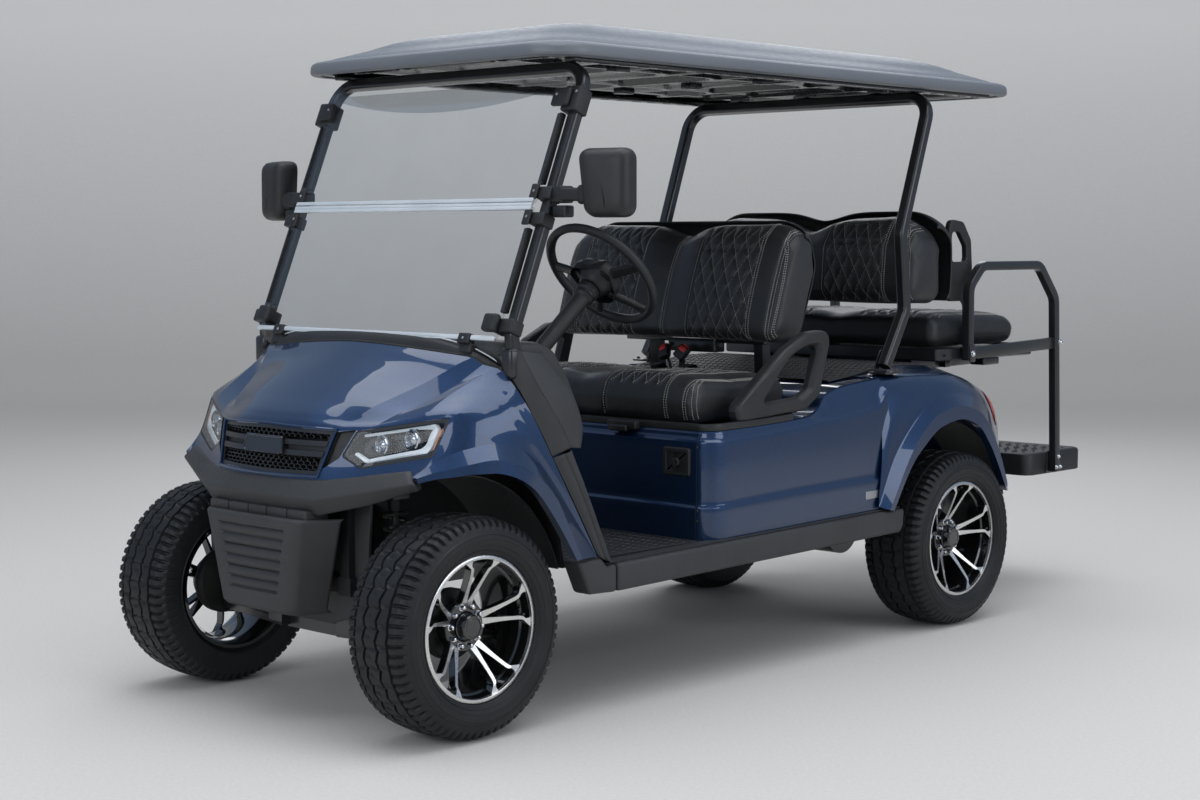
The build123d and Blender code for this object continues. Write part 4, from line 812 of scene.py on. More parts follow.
def build_wheels():
    shapes = wheel_forms()
    for side, side_name in ((1, "left"), (-1, "right")):
        tyre = tyre_form(side)
        for axle, end in ((FRONT_AXLE, "front"), (REAR_AXLE, "rear")):
            name, body = f"{end}_{side_name}", f"wheel_{end}_{side_name}"
            to_place = Matrix.Translation((side * WHEEL_X, axle, AXLE_Z))
            make(f"tyre_{name}_tread", [moved(tyre, to_place)], RUBBER, body,
                 [f"tyre_{name}"], sharp=38)
            flip = Matrix.Diagonal((side, 1, 1, 1))
            entries = [(moved(form, to_place @ flip), mark) for form, mark in shapes]
            make(f"wheel_{name}_alloy", entries, [ALLOY, GLOSS, CHROME, IRON], body,
                 [f"rim_{name}"], sharp=32)


build_wheels()


# ================================================================ painted body
def net_curves(net, row_steps):
    """Curves down the columns of a net of points, as an array of (column, step, coordinate)."""
    index, places = np.arange(len(net)), np.linspace(0, len(net) - 1, row_steps)
    return np.array([np.stack([pchip(index, net[:, column, k], places) for k in range(3)], axis=1)
                     for column in range(net.shape[1])])


def net_surface(rows, segments, row_steps, even=True):
    """Smooth surface through a net of points.

    rows is a list of rows of points with y given from the front axle. segments is a list of
    (first column, last column, steps): the surface is smooth within one and may crease between two.
    even keeps it smooth across the centre plane too.
    """
    columns = net_curves(np.array([[at(*p) for p in row] for row in rows], float), row_steps)
    lines = []
    for step in range(row_steps):
        line = []
        for first, last, count in segments:
            points = columns[first:last + 1, step]
            if even and first == 0:
                twin = points[1] * (-1, 1, 1)
                curve = catmull(np.concatenate([[twin], points]), 3 * count + 1)
                curve = resample(curve[curve[:, 0] > -1e-9], count + 1, points[0])
            else:
                curve = catmull(points, count + 1)
            line += list(curve if not line else curve[1:])
        lines.append(line)
    return lines


def resample(curve, count, first):
    curve = np.concatenate([[first], curve[np.linalg.norm(curve - first, axis=1) > 1e-5]])
    lengths = np.concatenate([[0], np.cumsum(np.linalg.norm(np.diff(curve, axis=0), axis=1))])
    places = np.linspace(0, lengths[-1], count)
    return np.stack([np.interp(places, lengths, curve[:, k]) for k in range(3)], axis=1)


def shell_piece(name, lines, material, replaces):
    """Mirrored surface with a thickness, as one piece, and a tree for casting rays on its outside."""
    form = sheet_form([[(-x, y, z) for x, y, z in reversed(line[1:])] + list(line) for line in lines])
    piece = make(name, [form], material, replaces=replaces, sharp=0)
    tree = BVHTree.FromPolygons(*form)
    thickened(piece, PANEL, -1)
    return piece, tree


COWL_NET = [
    [(0, -.228, .662), (.120, -.224, .662), (.218, -.208, .663), (.310, -.178, .664), (.405, -.146, .666),
     (.470, -.128, .668), (.478, -.125, .673), (.484, -.122, .679), (.489, -.119, .686), (.503, -.118, .683),
     (.505, -.115, .670)],
    [(0, -.217, .730), (.125, -.210, .730), (.232, -.186, .730), (.320, -.145, .733), (.420, -.100, .738),
     (.500, -.064, .742), (.506, -.064, .737), (.511, -.066, .730), (.516, -.068, .722), (.532, -.076, .698),
     (.534, -.076, .680)],
    [(0, -.205, .800), (.130, -.196, .800), (.243, -.163, .796), (.330, -.116, .804), (.445, -.055, .822),
     (.522, -.012, .834), (.535, -.010, .812), (.542, -.016, .778), (.545, -.025, .744), (.566, -.038, .708),
     (.568, -.038, .686)],
    [(0, -.185, .826), (.135, -.172, .826), (.262, -.132, .816), (.345, -.089, .819), (.455, -.036, .842),
     (.530, .006, .848), (.550, .016, .824), (.560, .014, .790), (.565, .010, .755), (.592, -.004, .718),
     (.594, -.004, .691)],
    [(0, -.120, .870), (.145, -.108, .868), (.292, -.088, .850), (.360, -.057, .836), (.458, -.002, .866),
     (.530, .045, .868), (.563, .062, .840), (.576, .065, .800), (.582, .066, .763), (.613, .052, .725),
     (.614, .050, .691)],
    [(0, -.060, .909), (.160, -.050, .904), (.325, -.030, .880), (.378, -.014, .852), (.463, .035, .887),
     (.529, .083, .886), (.570, .105, .848), (.586, .125, .800), (.592, .145, .751), (.624, .125, .708),
     (.625, .112, .677)],
    [(0, -.005, .945), (.175, .005, .937), (.360, .030, .910), (.402, .033, .876), (.470, .070, .906),
     (.527, .105, .899), (.574, .130, .855), (.592, .172, .790), (.598, .222, .709), (.628, .200, .669),
     (.628, .183, .638)],
    [(0, .038, .974), (.190, .050, .964), (.392, .078, .941), (.430, .076, .904), (.480, .105, .924),
     (.525, .130, .913), (.577, .152, .860), (.597, .212, .762), (.602, .290, .632), (.628, .262, .610),
     (.628, .240, .577)],
    [(0, .070, .996), (.205, .083, .987), (.420, .112, .966), (.453, .115, .936), (.490, .135, .940),
     (.523, .152, .930), (.580, .176, .858), (.600, .256, .715), (.606, .364, .530), (.628, .312, .526),
     (.628, .290, .510)],
    [(0, .090, 1.010), (.220, .104, 1.000), (.442, .138, .981), (.470, .148, .963), (.500, .158, .956),
     (.522, .166, .948), (.583, .200, .853), (.602, .300, .670), (.610, .437, .432), (.627, .362, .434),
     (.627, .343, .432)],
]
COWL_SEGMENTS = [(0, 2, 24), (2, 3, 9), (3, 4, 10), (4, 8, 44), (8, 9, 7), (9, 10, 4), (10, 11, 3)]
LIP_RETURN = (-.030, .002, .003)        # the arch lip is turned in by this much
PANEL = 0.004
COWL_CREASE = 9.5                       # degrees: the hood lines stay crisp, the fenders smooth


def with_return(rows):
    return [row + [tuple(a + b for a, b in zip(row[-1], LIP_RETURN))] for row in rows]


# headlamp, grille and the wedge between them, seen from the front: (x, z)
LAMP_OUTLINE = [(.272, .728), (.297, .790), (.516, .829), (.503, .737), (.326, .701)]
GRILLE_SIDE = [(.237, .790), (.209, .677)]
GRILLE_OUTLINE = GRILLE_SIDE + [(0, .673)] + [(-x, z) for x, z in reversed(GRILLE_SIDE)] + [(0, .797)]
WEDGE_OUTLINE = [(.2445, .789), (.292, .796), (.262, .722), (.219, .690)]


def front_prism(outline, front, back):
    """Outline in the front view, carried from front to back, which are given from the front axle."""
    return prism_form(outline, "y", fy(front), fy(back))


def grown(outline, by):
    """Outline moved outwards by a distance, corner by corner."""
    count, out = len(outline), []
    area = sum(a[0] * b[1] - b[0] * a[1] for a, b in zip(outline, outline[1:] + outline[:1]))
    turn = 1 if area > 0 else -1
    for i in range(count):
        before, here, after = (Vector((*outline[(i + k) % count], 0)) for k in (-1, 0, 1))
        first, second = (here - before).normalized(), (after - here).normalized()
        normals = [Vector((d.y, -d.x, 0)) * turn for d in (first, second)]
        mean = (normals[0] + normals[1]).normalized()
        moved_by = mean * (by / max(0.35, mean.dot(normals[0])))
        out.append((here.x + moved_by.x, here.y + moved_by.y))
    return out


def soft_outline(outline, radius, steps=5):
    return [(p.x, p.y) for p in rounded([(*p, 0) for p in outline], radius, closed=True, steps=steps)]


def dense(outline, step=0.012):
    """More points along the straight runs."""
    out = []
    for a, b in zip(outline, outline[1:] + outline[:1]):
        a, b = Vector(a), Vector(b)
        parts = max(1, int((b - a).length / step))
        out += [tuple(a + (b - a) * k / parts) for k in range(parts)]
    return out


def cast(tree, point, direction, default=None):
    hit = tree.ray_cast(Vector(point), Vector(direction))[0]
    return hit if hit is not None else default


def front_y(x, z, tree):
    """Y of the cowl's outside at this place of the front view."""
    near = None
    for dx, dz in ((0, 0), (-.004, 0), (0, .004), (0, -.004), (.004, 0), (-.012, 0), (0, -.012), (-.02, .01)):
        near = cast(tree, (x + dx, fy(-0.6), z + dz), (0, 1, 0))
        if near is not None and near.y < fy(0.12):
            return near.y
    return fy(0.0)


def patch_form(outline, depth, tree, rings=6, dome=0.0):
    """Patch of the cowl's surface inside an outline, set back by depth and raised in the middle by dome."""
    outline = dense(outline)
    cx, cz = (sum(p[k] for p in outline) / len(outline) for k in range(2))
    rows = []
    for k in range(1, rings + 1):
        share = k / rings
        row = []
        for x, z in outline:
            px, pz = cx + (x - cx) * share, cz + (z - cz) * share
            row.append((px, front_y(px, pz, tree) + depth - dome * (1 - share**2), pz))
        rows.append(row)
    tip = (cx, front_y(cx, cz, tree) + depth - dome, cz)
    return with_tip(sheet_form(rows, close_columns=True), 0, len(outline), tip)


def ring_form(outer, inner, depths, tree):
    """Band between two outlines of equal length, as a closed ring with a front and a back depth."""
    rows = []
    for outline, depth in ((outer, depths[0]), (inner, depths[0]), (inner, depths[1]), (outer, depths[1])):
        rows.append([(x, front_y(x, z, tree) + depth, z) for x, z in outline])
    return sheet_form(rows, close_rows=True, close_columns=True)


def build_cowl():
    lines = net_surface(with_return(COWL_NET), COWL_SEGMENTS, 92)
    piece, tree = shell_piece("front_cowl", lines, PAINT, ["hood", "front_fascia"])
    cut(piece, both(front_prism(soft_outline(grown(LAMP_OUTLINE, .004), .010), -.40, .030)))
    cut(piece, both(front_prism(WEDGE_OUTLINE, -.40, -.08)))
    cut(piece, [front_prism(grown(GRILLE_OUTLINE, .003), -.40, -.06)])
    creased(piece, COWL_CREASE)
    return tree


COWL = build_cowl()                     # for casting rays on its outside


def build_nose_rims():
    """Raised painted rim round the grille, and the sunken wedge beside it, whose floor and wall take the dark
    plastic as painted shade.
    """
    loop = dense(grown(GRILLE_OUTLINE, .0045))
    path = [(x, front_y(x, z, COWL) - .0010, z) for x, z in loop]
    rim = sweep_form(path, circle_section(.0042, 8), closed=True, up=(0, -1, 0))
    # the wedge's floor and wall are dark plastic: painted shade for a recess that lies in shadow
    floor = patch_form(WEDGE_OUTLINE, .016, COWL, 4)
    edge = dense(WEDGE_OUTLINE, .008)
    wall = sheet_form([[(x, front_y(x, z, COWL) + depth, z) for x, z in edge] for depth in (-.0005, .018)],
                      close_columns=True)
    make("nose_rim", [(rim, 0)] + paired([(floor, 1), (wall, 1)]), [PAINT, DARK], sharp=28)


# light guide: along the top thin, down the outer side thick, and along the bottom; x, z, half width
LIGHT_GUIDE = [(.309, .7805, .0045), (.400, .7975, .0055), (.460, .8075, .0075), (.4815, .8060, .0105),
               (.4800, .7860, .0130), (.4760, .7560, .0125), (.4640, .7435, .0110), (.420, .7335, .0095),
               (.345, .7165, .0085), (.330, .7135, .0080), (.312, .7225, .0065), (.294, .7325, .0050)]
GUIDE_STEPS = 48
TURN_LAMP = [(.4965, .800), (.5090, .814), (.5005, .756), (.4915, .750)]
LAMP_BULBS = [(.350, .7575, .0225), (.424, .7735, .0245)]      # x, z, radius


def light_guide():
    """Bright strip in a headlamp, raised along its middle."""
    points = catmull([(x, width, z) for x, z, width in LIGHT_GUIDE], GUIDE_STEPS)
    rows = []
    for i, (x, width, z) in enumerate(points):
        ahead, behind = points[min(i + 1, GUIDE_STEPS - 1)], points[max(i - 1, 0)]
        along = Vector((ahead[0] - behind[0], 0, ahead[2] - behind[2])).normalized()
        across = Vector((-along.z, 0, along.x))
        base = Vector((x, front_y(x, z, COWL) + .012, z))
        rows.append([base + across * width * share + Vector((0, depth, 0))
                     for share, depth in ((-1, .008), (-.85, 0), (0, -.003), (.85, 0), (1, .008))])
    return sheet_form(rows)


def build_headlamps():
    outline = soft_outline(LAMP_OUTLINE, .012, 4)
    outer = dense(outline, .010)
    frames = [dense_like(outer, grown(LAMP_OUTLINE, by)) for by in (.0035, -.0045, -.0125, -.024, -.034)]
    wall = sheet_form([[(x, front_y(x, z, COWL) + depth, z) for x, z in frames[k]]
                       for k, depth in ((1, .004), (3, .038))], close_columns=True)
    inside = [(wall, 0), (patch_form(frames[3], .038, COWL, 5), 0),
              (ring_form(frames[1], frames[4], (.030, .034), COWL), 0),
              (light_guide(), 1), (patch_form(TURN_LAMP, .010, COWL, 3, dome=.003), 2)]
    for cx, cz, size in LAMP_BULBS:
        ring = [(.006, size + .004), (-.004, size + .0035), (-.006, size), (.000, size - .003),
                (.012, size - .006)]
        dome = [(.012, size - .005), (.004, size - .007), (-.003, size - .012), (-.006, size - .018),
                (-.0065, 0)]
        bezel = [(.008, size + .011), (.004, size + .010), (.004, size + .004)]
        centre = (cx, front_y(cx, cz, COWL) + .022, cz)
        for profile, steps, angle, mark in ((ring, 40, 0, 3), (dome, 32, 0, 4), (bezel, 6, .3, 0)):
            inside.append((lathe_form(profile, steps, centre, (0, 1, 0), closed=False, angle=angle), mark))
    make("headlamp_insides", paired(inside), [LAMP_DARK, LIGHT_BAR, ORANGE, LAMP_CHROME, GLASS_DARK],
         sharp=35)
    gap = ring_form(frames[0], frames[1], (.0015, .012), COWL)
    make("headlamp_gaps", both(gap), DARK, sharp=35)
    lens = patch_form(outline, .0015, COWL, 8, dome=.0015)
    make("headlamp_lenses", both(lens), LENS, replaces=["headlamps"], sharp=35)


def dense_like(reference, outline):
    """Points of an outline, spaced round it as those of the reference outline are round theirs."""
    shares = arc_shares(reference)
    corners = soft_outline(outline, .010, 4)
    marks = arc_shares(corners)
    loop = np.array(corners + corners[:1])
    marks = np.append(marks, 1.0)
    return [(float(np.interp(s, marks, loop[:, 0])), float(np.interp(s, marks, loop[:, 1]))) for s in shares]


def arc_shares(loop):
    points = np.array(list(loop) + [loop[0]])
    steps = np.linalg.norm(np.diff(points, axis=0), axis=1)
    return (np.concatenate([[0], np.cumsum(steps)]) / steps.sum())[:-1]


CELL_WIDE, CELL_TALL = .0115, .0062      # half sizes of a honeycomb cell
BADGE_HALF, BADGE_LOW, BADGE_MIDDLE, BADGE_HIGH = .086, .7235, .746, .7705


def grille_half_width(z):
    (top_x, top_z), (low_x, low_z) = GRILLE_SIDE
    return low_x + (top_x - low_x) * (z - low_z) / (top_z - low_z)


def grille_slab(low, high, front, back):
    """Bar right across the grille, that follows the nose."""
    rows = []
    for z in (low, high):
        wide = grille_half_width(z) - .006
        rows.append([(x, front_y(x, z, COWL) + front, z) for x in np.linspace(-wide, wide, 33)])
    other = [[(x, y + back - front, z) for x, y, z in row] for row in reversed(rows)]
    return sheet_form(rows + other, close_rows=True)


def honeycomb(low, high):
    """Six-sided cells between two heights of the grille."""
    forms = []
    for row in range(int((high - low) / (CELL_TALL * 1.5)) + 2):
        z = low + CELL_TALL * 1.5 * row
        for column in range(-11, 12):
            x = (column + 0.5 * (row % 2)) * CELL_WIDE * 1.9
            if abs(x) > grille_half_width(z) - .014 or not low < z < high:
                continue
            y = front_y(x, z, COWL)
            hexagon = [(x + CELL_WIDE * c, z + CELL_TALL * s) for c, s in
                       ((0, 1), (.95, .5), (.95, -.5), (0, -1), (-.95, -.5), (-.95, .5))]
            inner = [(x + (px - x) * .74, z + (pz - z) * .70) for px, pz in hexagon]
            loops = [[(px, y + depth, pz) for px, pz in loop]
                     for loop, depth in ((hexagon, .009), (inner, .008), (inner, .022))]
            forms.append(sheet_form(loops, close_columns=True))
    return forms


def build_grille():
    ring = ring_form(dense(grown(GRILLE_OUTLINE, .001)), dense_pairs(GRILLE_OUTLINE, -.009), (.002, .022),
                     COWL)
    back = []
    for z in (.672, .735, .796):
        wide = grille_half_width(z)
        back.append([(x, front_y(x, z, COWL) + .030, z) for x in np.linspace(-wide, wide, 25)])
    entries = [(ring, 0), (grille_slab(.7505, .7640, .000, .018), 0),
               (grille_slab(.7225, .7370, -.001, .018), 0), (grille_slab(.7370, .7505, .010, .020), 1),
               (sheet_form(back), 1)]
    entries += [(form, 0) for low, high in ((.764, .795), (.676, .7225)) for form in honeycomb(low, high)]
    make("front_grille", entries, [STEEL, DARK], replaces=["grille"], sharp=30)


def build_grille_plate():
    """Blank plate on the grille, that leans with the nose."""
    half = [(BADGE_HALF, BADGE_LOW + .004), (BADGE_HALF - .006, BADGE_HIGH)]
    foot = (BADGE_HALF - .012, BADGE_LOW - .002)
    corners = [(-x, z) for x, z in half] + half[::-1] + [foot, (-foot[0], foot[1])]
    plate = soft_outline(corners, .008, 4)
    centre_z = BADGE_LOW + .02
    inset = [(x * .93, centre_z + (z - centre_z) * .80) for x, z in plate]
    face = front_y(0, BADGE_MIDDLE, COWL)
    loops = [[(x, face + (z - BADGE_MIDDLE) * .17 + depth, z) for x, z in loop] for loop, depth in
             ((plate, .010), (plate, -.0065), (grown(plate, -.0018), -.009), (grown(inset, .0015), -.009),
              (inset, -.0072))]
    make("grille_plate", [stacked_form(loops)], GLOSS, sharp=30)


def dense_pairs(outline, by):
    """Grown outline with one point for each point of dense(grown(outline, .001))."""
    first, second = grown(outline, .001), grown(outline, by)
    out = []
    for i in range(len(first)):
        a, b = Vector(first[i]), Vector(first[(i + 1) % len(first)])
        parts = max(1, int((b - a).length / .012))
        c, d = Vector(second[i]), Vector(second[(i + 1) % len(second)])
        out += [tuple(c + (d - c) * k / parts) for k in range(parts)]
    return out


# bumper sections: top, edge of the ledge, low edge; x, y from the front axle, z
BUMPER_STATIONS = [
    ((0, -.226, .664), (0, -.253, .618), (0, -.231, .572)),
    ((.150, -.222, .664), (.150, -.250, .617), (.148, -.227, .571)),
    ((.224, -.210, .664), (.230, -.243, .615), (.226, -.219, .571)),
    ((.345, -.160, .681), (.365, -.187, .640), (.360, -.166, .603)),
    ((.462, -.121, .699), (.492, -.136, .668), (.486, -.118, .645)),
    ((.472, -.110, .699), (.502, -.124, .667), (.496, -.108, .647)),
]


TAB_ENDS = (-.212, -.128, -.040, .040, .128, .212)
# dark panel between the front wheels, behind the valance, that paints shade where the floor would show
# through: right half, from the low middle to the top
SHADE_PANEL_OUTLINE = [(.150, .262), (.225, .285), (.304, .372), (.310, .480), (.322, .640), (.200, .652)]


def build_bumper():
    rows = []
    for top, ledge, low in BUMPER_STATIONS:
        back = .048 if top[0] < .3 else .030
        behind = [(x * .97, y + back, z + lift) for (x, y, z), lift in ((top, -.004), (low, .004))]
        rows.append([at(*p) for p in (behind[0], top, ledge, low, behind[1])])
    verts, faces = sheet_form(mirrored_rows(rows), close_columns=True)
    n = len(rows[0])
    faces += [tuple(range(n)), tuple(range(len(verts) - n, len(verts)))]
    bumper = bevelled((verts, faces), .0050, 3, 8)
    make("bumper_cover", [bumper], TRIM, replaces=["front_bumper"], sharp=0)


def build_under_bumper():
    """Blocks in the gap over the valance, and a dark panel that closes the view behind it as painted shade.
    """
    tabs = [soft_block((low + .0018, fy(-.2470), .553), (high - .0018, fy(-.170), .5835), .006, 3)
            for low, high in zip(TAB_ENDS, TAB_ENDS[1:])]
    tabs.append(soft_block((-.205, fy(-.225), .540), (.205, fy(-.165), .590), .006))
    make("valance_tabs", tabs, TRIM, sharp=30)
    # dark plastic panel standing in for the shadow behind the valance: painted shade
    outline = SHADE_PANEL_OUTLINE + [(-x, z) for x, z in reversed(SHADE_PANEL_OUTLINE)]
    shade_panel = bevelled(front_prism(outline, -.117, -.105), .004, 2)
    make("nose_shade_panel", [shade_panel], DARK, sharp=30)


VALANCE_TOP, VALANCE_LOW, VALANCE_ROUND = .560, .300, .036
FLAT_SHARE, CORNER_SHARE = .55, .78      # of the way outwards, to the end of the face and of its round corner
CORNER_TURN = math.pi * .36


def valance_point(across, down):
    """Place on the right half, for shares of the way from the middle outwards and from the top down."""
    face = .180 - .058 * down                       # half width of the front face
    reach = .262 - .080 * down                      # half width at the back of the returns
    front = -.272 + .012 * down
    if across < FLAT_SHARE:
        share = across / FLAT_SHARE
        x, y = face * share, front + .004 * share ** 2
    else:
        turn = CORNER_TURN * min(1, (across - FLAT_SHARE) / (CORNER_SHARE - FLAT_SHARE))
        onward = max(0, (across - CORNER_SHARE) / (1 - CORNER_SHARE))
        x = face + VALANCE_ROUND * math.sin(turn)
        x += (reach - x) * onward
        y = front + .004 + VALANCE_ROUND * (1 - math.cos(turn)) + .078 * onward
    curl = .016 * max(0, (down - .93) / .07) ** 2 + .010 * max(0, (.03 - down) / .03) ** 2
    beside = max(0.0, min(1.0, (face - .026 - x) / .010))
    between = max(0.0, min(1.0, min(down - .105, .80 - down) / .022))
    rib = max(0.0, math.sin(math.pi * (((down - .118) / .112) % 1.0)))
    relief = min(beside, between) * (.0125 - .0105 * rib ** .7)
    return x, fy(y + curl + relief), VALANCE_TOP + (VALANCE_LOW - VALANCE_TOP) * down


def build_valance():
    """Ribbed panel under the bumper, with rounded returns to both sides."""
    rows = []
    for down in np.linspace(0, 1, 86):
        row = [valance_point(across, down) for across in np.linspace(0, 1, 61)]
        rows.append([(-x, y, z) for x, y, z in reversed(row[1:])] + row)
    valance = make("valance_cover", [sheet_form(rows)], TRIM, replaces=["front_valance"],
                   sharp=40)
    thickened(valance, .004)


build_nose_rims()
build_headlamps()
build_grille()
build_grille_plate()
build_bumper()
build_under_bumper()
build_valance()

# ---------------------------------------------------------------- cowl trims and sills
# stations from the top down: front edge, line along the middle, rear edge, and the edge turned in
UPPER_TRIM = [
    [(.512, .163, .985), (.553, .200, .998), (.545, .292, .990), (.500, .300, .980)],
    [(.548, .188, .918), (.588, .215, .930), (.572, .335, .920), (.520, .345, .910)],
    [(.583, .205, .853), (.608, .252, .858), (.586, .374, .862), (.535, .380, .855)],
    [(.594, .250, .770), (.613, .300, .790), (.591, .398, .787), (.540, .402, .785)],
    [(.600, .277, .717), (.613, .331, .737), (.597, .384, .731), (.550, .388, .728)],
]
LOWER_TRIM = [
    [(.600, .279, .713), (.6135, .306, .722), (.606, .338, .731), (.560, .341, .731)],
    [(.605, .350, .594), (.614, .373, .604), (.607, .397, .613), (.562, .400, .613)],
    [(.611, .443, .430), (.6145, .464, .418), (.608, .492, .408), (.565, .495, .408)],
]


# side views: y from the front axle, z
SILL_NOSE = [(.356, .424), (.400, .330), (.508, .326), (.508, .403), (.470, .401), (.449, .426)]
SILL = [(.5125, .3262), (1.845, .350), (1.862, .372), (1.866, .426), (.5125, .4035)]
SILL_LEDGE = [(.455, .4035), (1.862, .4285), (1.862, .431), (.455, .406)]


def strip_piece(name, stations, rows, replaces=()):
    """Moulded strip through stations of four points, creased along one of their lines."""
    columns = net_curves(np.array([[at(*p) for p in row] for row in stations]), rows)
    lines = []
    for step in range(rows):
        edge, crease, rear, turned_in = columns[:, step]
        start = edge + (edge - crease) * .02 + np.array((-.022, .004, 0))
        first = catmull([edge, (edge + crease) / 2 + np.array((.0025, 0, 0)), crease], 7)
        groove = [crease + np.array((-.0022, .0015, 0)), crease + np.array((0, .003, 0))]
        rest = catmull([groove[1], (groove[1] + rear) / 2 + np.array((.008, 0, 0)), rear, turned_in], 14)
        lines.append([start, *first, groove[0], *rest])
    piece = make(name, both(sheet_form(lines)), TRIM, replaces=replaces, sharp=38)
    thickened(piece, .003)


def build_trims():
    strip_piece("cowl_trim_upper", UPPER_TRIM, 40, ["cowl_trims"])
    strip_piece("cowl_trim_lower", LOWER_TRIM, 30)
    forms = []
    for outline in (SILL_NOSE, SILL):
        prism = prism_form([(fy(y), z) for y, z in outline], "x", .552, .619)
        forms += both(bevelled(prism, .010, 4, 20))
    ledge = prism_form([(fy(y), z) for y, z in SILL_LEDGE], "x", .556, .600)
    make("sill_covers", forms + both(ledge), TRIM, replaces=["sills"], sharp=30)


build_trims()

# ---------------------------------------------------------------- seat box
BOX_FRONT, BOX_REAR, BOX_HALF, BOX_CORNER, BOX_LOW = .950, 1.815, .577, .066, .408
SEAM_X, SEAM_SECTION = .530, [(-.0011, -.0006), (.0011, -.0006), (.0011, .0006), (-.0011, .0006)]
SIDE_PLATE = [(1.694, .4665), (1.694, .4925), (1.804, .4955), (1.804, .4695)]
# heights along the side: its top, the character line under it, and the crease near the bottom
BOX_TOP_LINE = [(.90, .732), (.964, .734), (1.160, .738), (1.426, .752), (1.484, .771), (1.512, .798),
                (1.591, .826), (1.700, .839), (1.830, .848)]
BOX_CHAR_LINE = [(.90, .703), (.952, .704), (1.148, .711), (1.425, .728), (1.700, .755), (1.760, .765),
                 (1.790, .783), (1.805, .805), (1.83, .812)]
BOX_CREASE_LINE = [(.90, .508), (.942, .509), (1.359, .523), (1.830, .530)]


def line_height(line, y):
    return float(pchip([p[0] for p in line], [p[1] for p in line], [y])[0])


def box_profile(y):
    """(offset outwards, height) of the seat box's side at this place, from the top down."""
    top, char, crease = (line_height(line, y) for line in (BOX_TOP_LINE, BOX_CHAR_LINE, BOX_CREASE_LINE))
    lean = .004 + .022 * max(0.0, min(1.0, (y - 1.43) / .10))
    points = [(-lean - .030, top - .001), (-lean - .010, top), (-lean - .003, top - .0035),
              (-lean, top - .010)]
    high, band = top - .010, char + .004
    points += [(-lean + lean * t ** 1.6, high + (band - high) * t) for t in (k / 8 for k in range(1, 8))]
    points += [(0, band), (.0014, char + .002), (.0062, char - .0035), (.0068, char - .0075)]
    high, low = char - .0075, crease + .008
    points += [(.0068 + .002 * math.sin(math.pi * t), high + (low - high) * t)
               for t in (k / 14 for k in range(1, 14))]
    points += [(.0068, low), (.0076, crease + .005), (.0128, crease - .0025), (.0135, crease - .007)]
    high = crease - .007
    return points + [(.0135 - .003 * t, high + (BOX_LOW - high) * t) for t in (k / 6 for k in range(1, 7))]


def box_plan():
    """(x, y, direction outwards) along the box's left half, from the middle of its front to its rear."""
    plan = [(x, BOX_FRONT, (0, -1)) for x in (0, *np.linspace(.04, BOX_HALF - BOX_CORNER, 22))]
    for k in range(1, 13):
        a = math.pi / 2 * k / 12
        plan.append((BOX_HALF - BOX_CORNER + BOX_CORNER * math.sin(a),
                     BOX_FRONT + BOX_CORNER * (1 - math.cos(a)), (math.sin(a), -math.cos(a))))
    for start, end, count in ((1.04, 1.42, 16), (1.43, 1.62, 22), (1.64, BOX_REAR, 14)):
        plan += [(BOX_HALF, y, (1, 0)) for y in np.linspace(start, end, count)]
    return plan


def build_seat_box():
    plan = box_plan()
    rows = []
    for x, y, (nx, ny) in plan:
        profile = box_profile(y)
        inner_x, inner_y, top = min(x, .470), fy(max(y, .99)), profile[0][1]
        rows.append([(inner_x * .5, inner_y, top - .002), (inner_x, inner_y, top - .001)]
                    + [(x + nx * out, fy(y) + ny * out, z) for out, z in profile])
    make("seat_box_panel", both(sheet_form(rows)), PAINT, replaces=["seat_box"], sharp=24)
    seams = []
    for x in (-SEAM_X, SEAM_X):
        path = [(x, fy(BOX_FRONT) - out - .0006, z) for out, z in box_profile(BOX_FRONT)[4:]]
        seams.append(sweep_form(path, SEAM_SECTION, up=(0, -1, 0)))
    make("seat_box_seams", seams, DARK, sharp=30)
    lip = [(x - nx * .016, fy(y) - ny * .016, line_height(BOX_TOP_LINE, y) + .008)
           for x, y, (nx, ny) in plan[1:48]]
    make("cushion_lip", both(sweep_form(lip, square_section(.020, .022, .005, 2))), DARK,
         sharp=30)


def build_key_plate():
    """Square plate with a knob, a socket and a slot, on the front of the seat box."""
    y = fy(BOX_FRONT) - .0085
    plate = soft_outline([(.402, .598), (.402, .682), (.508, .682), (.508, .598)], .012, 4)
    loops = [[(x, y + depth, z) for x, z in grown(plate, by)] for by, depth in
             ((0, .006), (0, -.004), (-.004, -.008), (-.013, -.0075), (-.015, -.0045))]
    knob = [(.004, .0), (.004, .0150), (-.006, .0145), (-.009, .012), (-.009, .0)]
    socket = [(-.004, .0085), (-.0075, .0085), (-.0075, .006), (-.002, .0055), (-.002, 0)]
    entries = [(stacked_form(loops), 0),
               (lathe_form(knob, 28, (.455, y - .004, .638), (0, 1, 0), closed=False), 0),
               (soft_block((.4515, y - .017, .626), (.4585, y - .010, .650), .0015), 1),
               (lathe_form(socket, 20, (.455, y, .664), (0, 1, 0), closed=False), 1),
               (soft_block((.432, y - .0075, .606), (.478, y - .003, .613), .0012), 1)]
    make("key_plate", entries, [DARK, STEEL], sharp=30)


def build_latch():
    y = fy(BOX_FRONT)
    latch = soft_block((.175, y - .016, .722), (.292, y + .020, .750), .006, 3)
    pull = soft_block((.190, y - .026, .716), (.262, y - .010, .736), .006, 3)
    make("seat_latch", [latch, pull], DARK, sharp=30)
    head = [(0, .004), (-.0015, .0038), (-.0022, .0025), (-.0016, 0)]
    screws = []
    for z in (.500, .470, .686):
        screws += both(lathe_form(head, 14, (.5365, y - .0135, z), (0, 1, 0), closed=False))
    make("seat_box_screws", screws, STEEL, sharp=30)


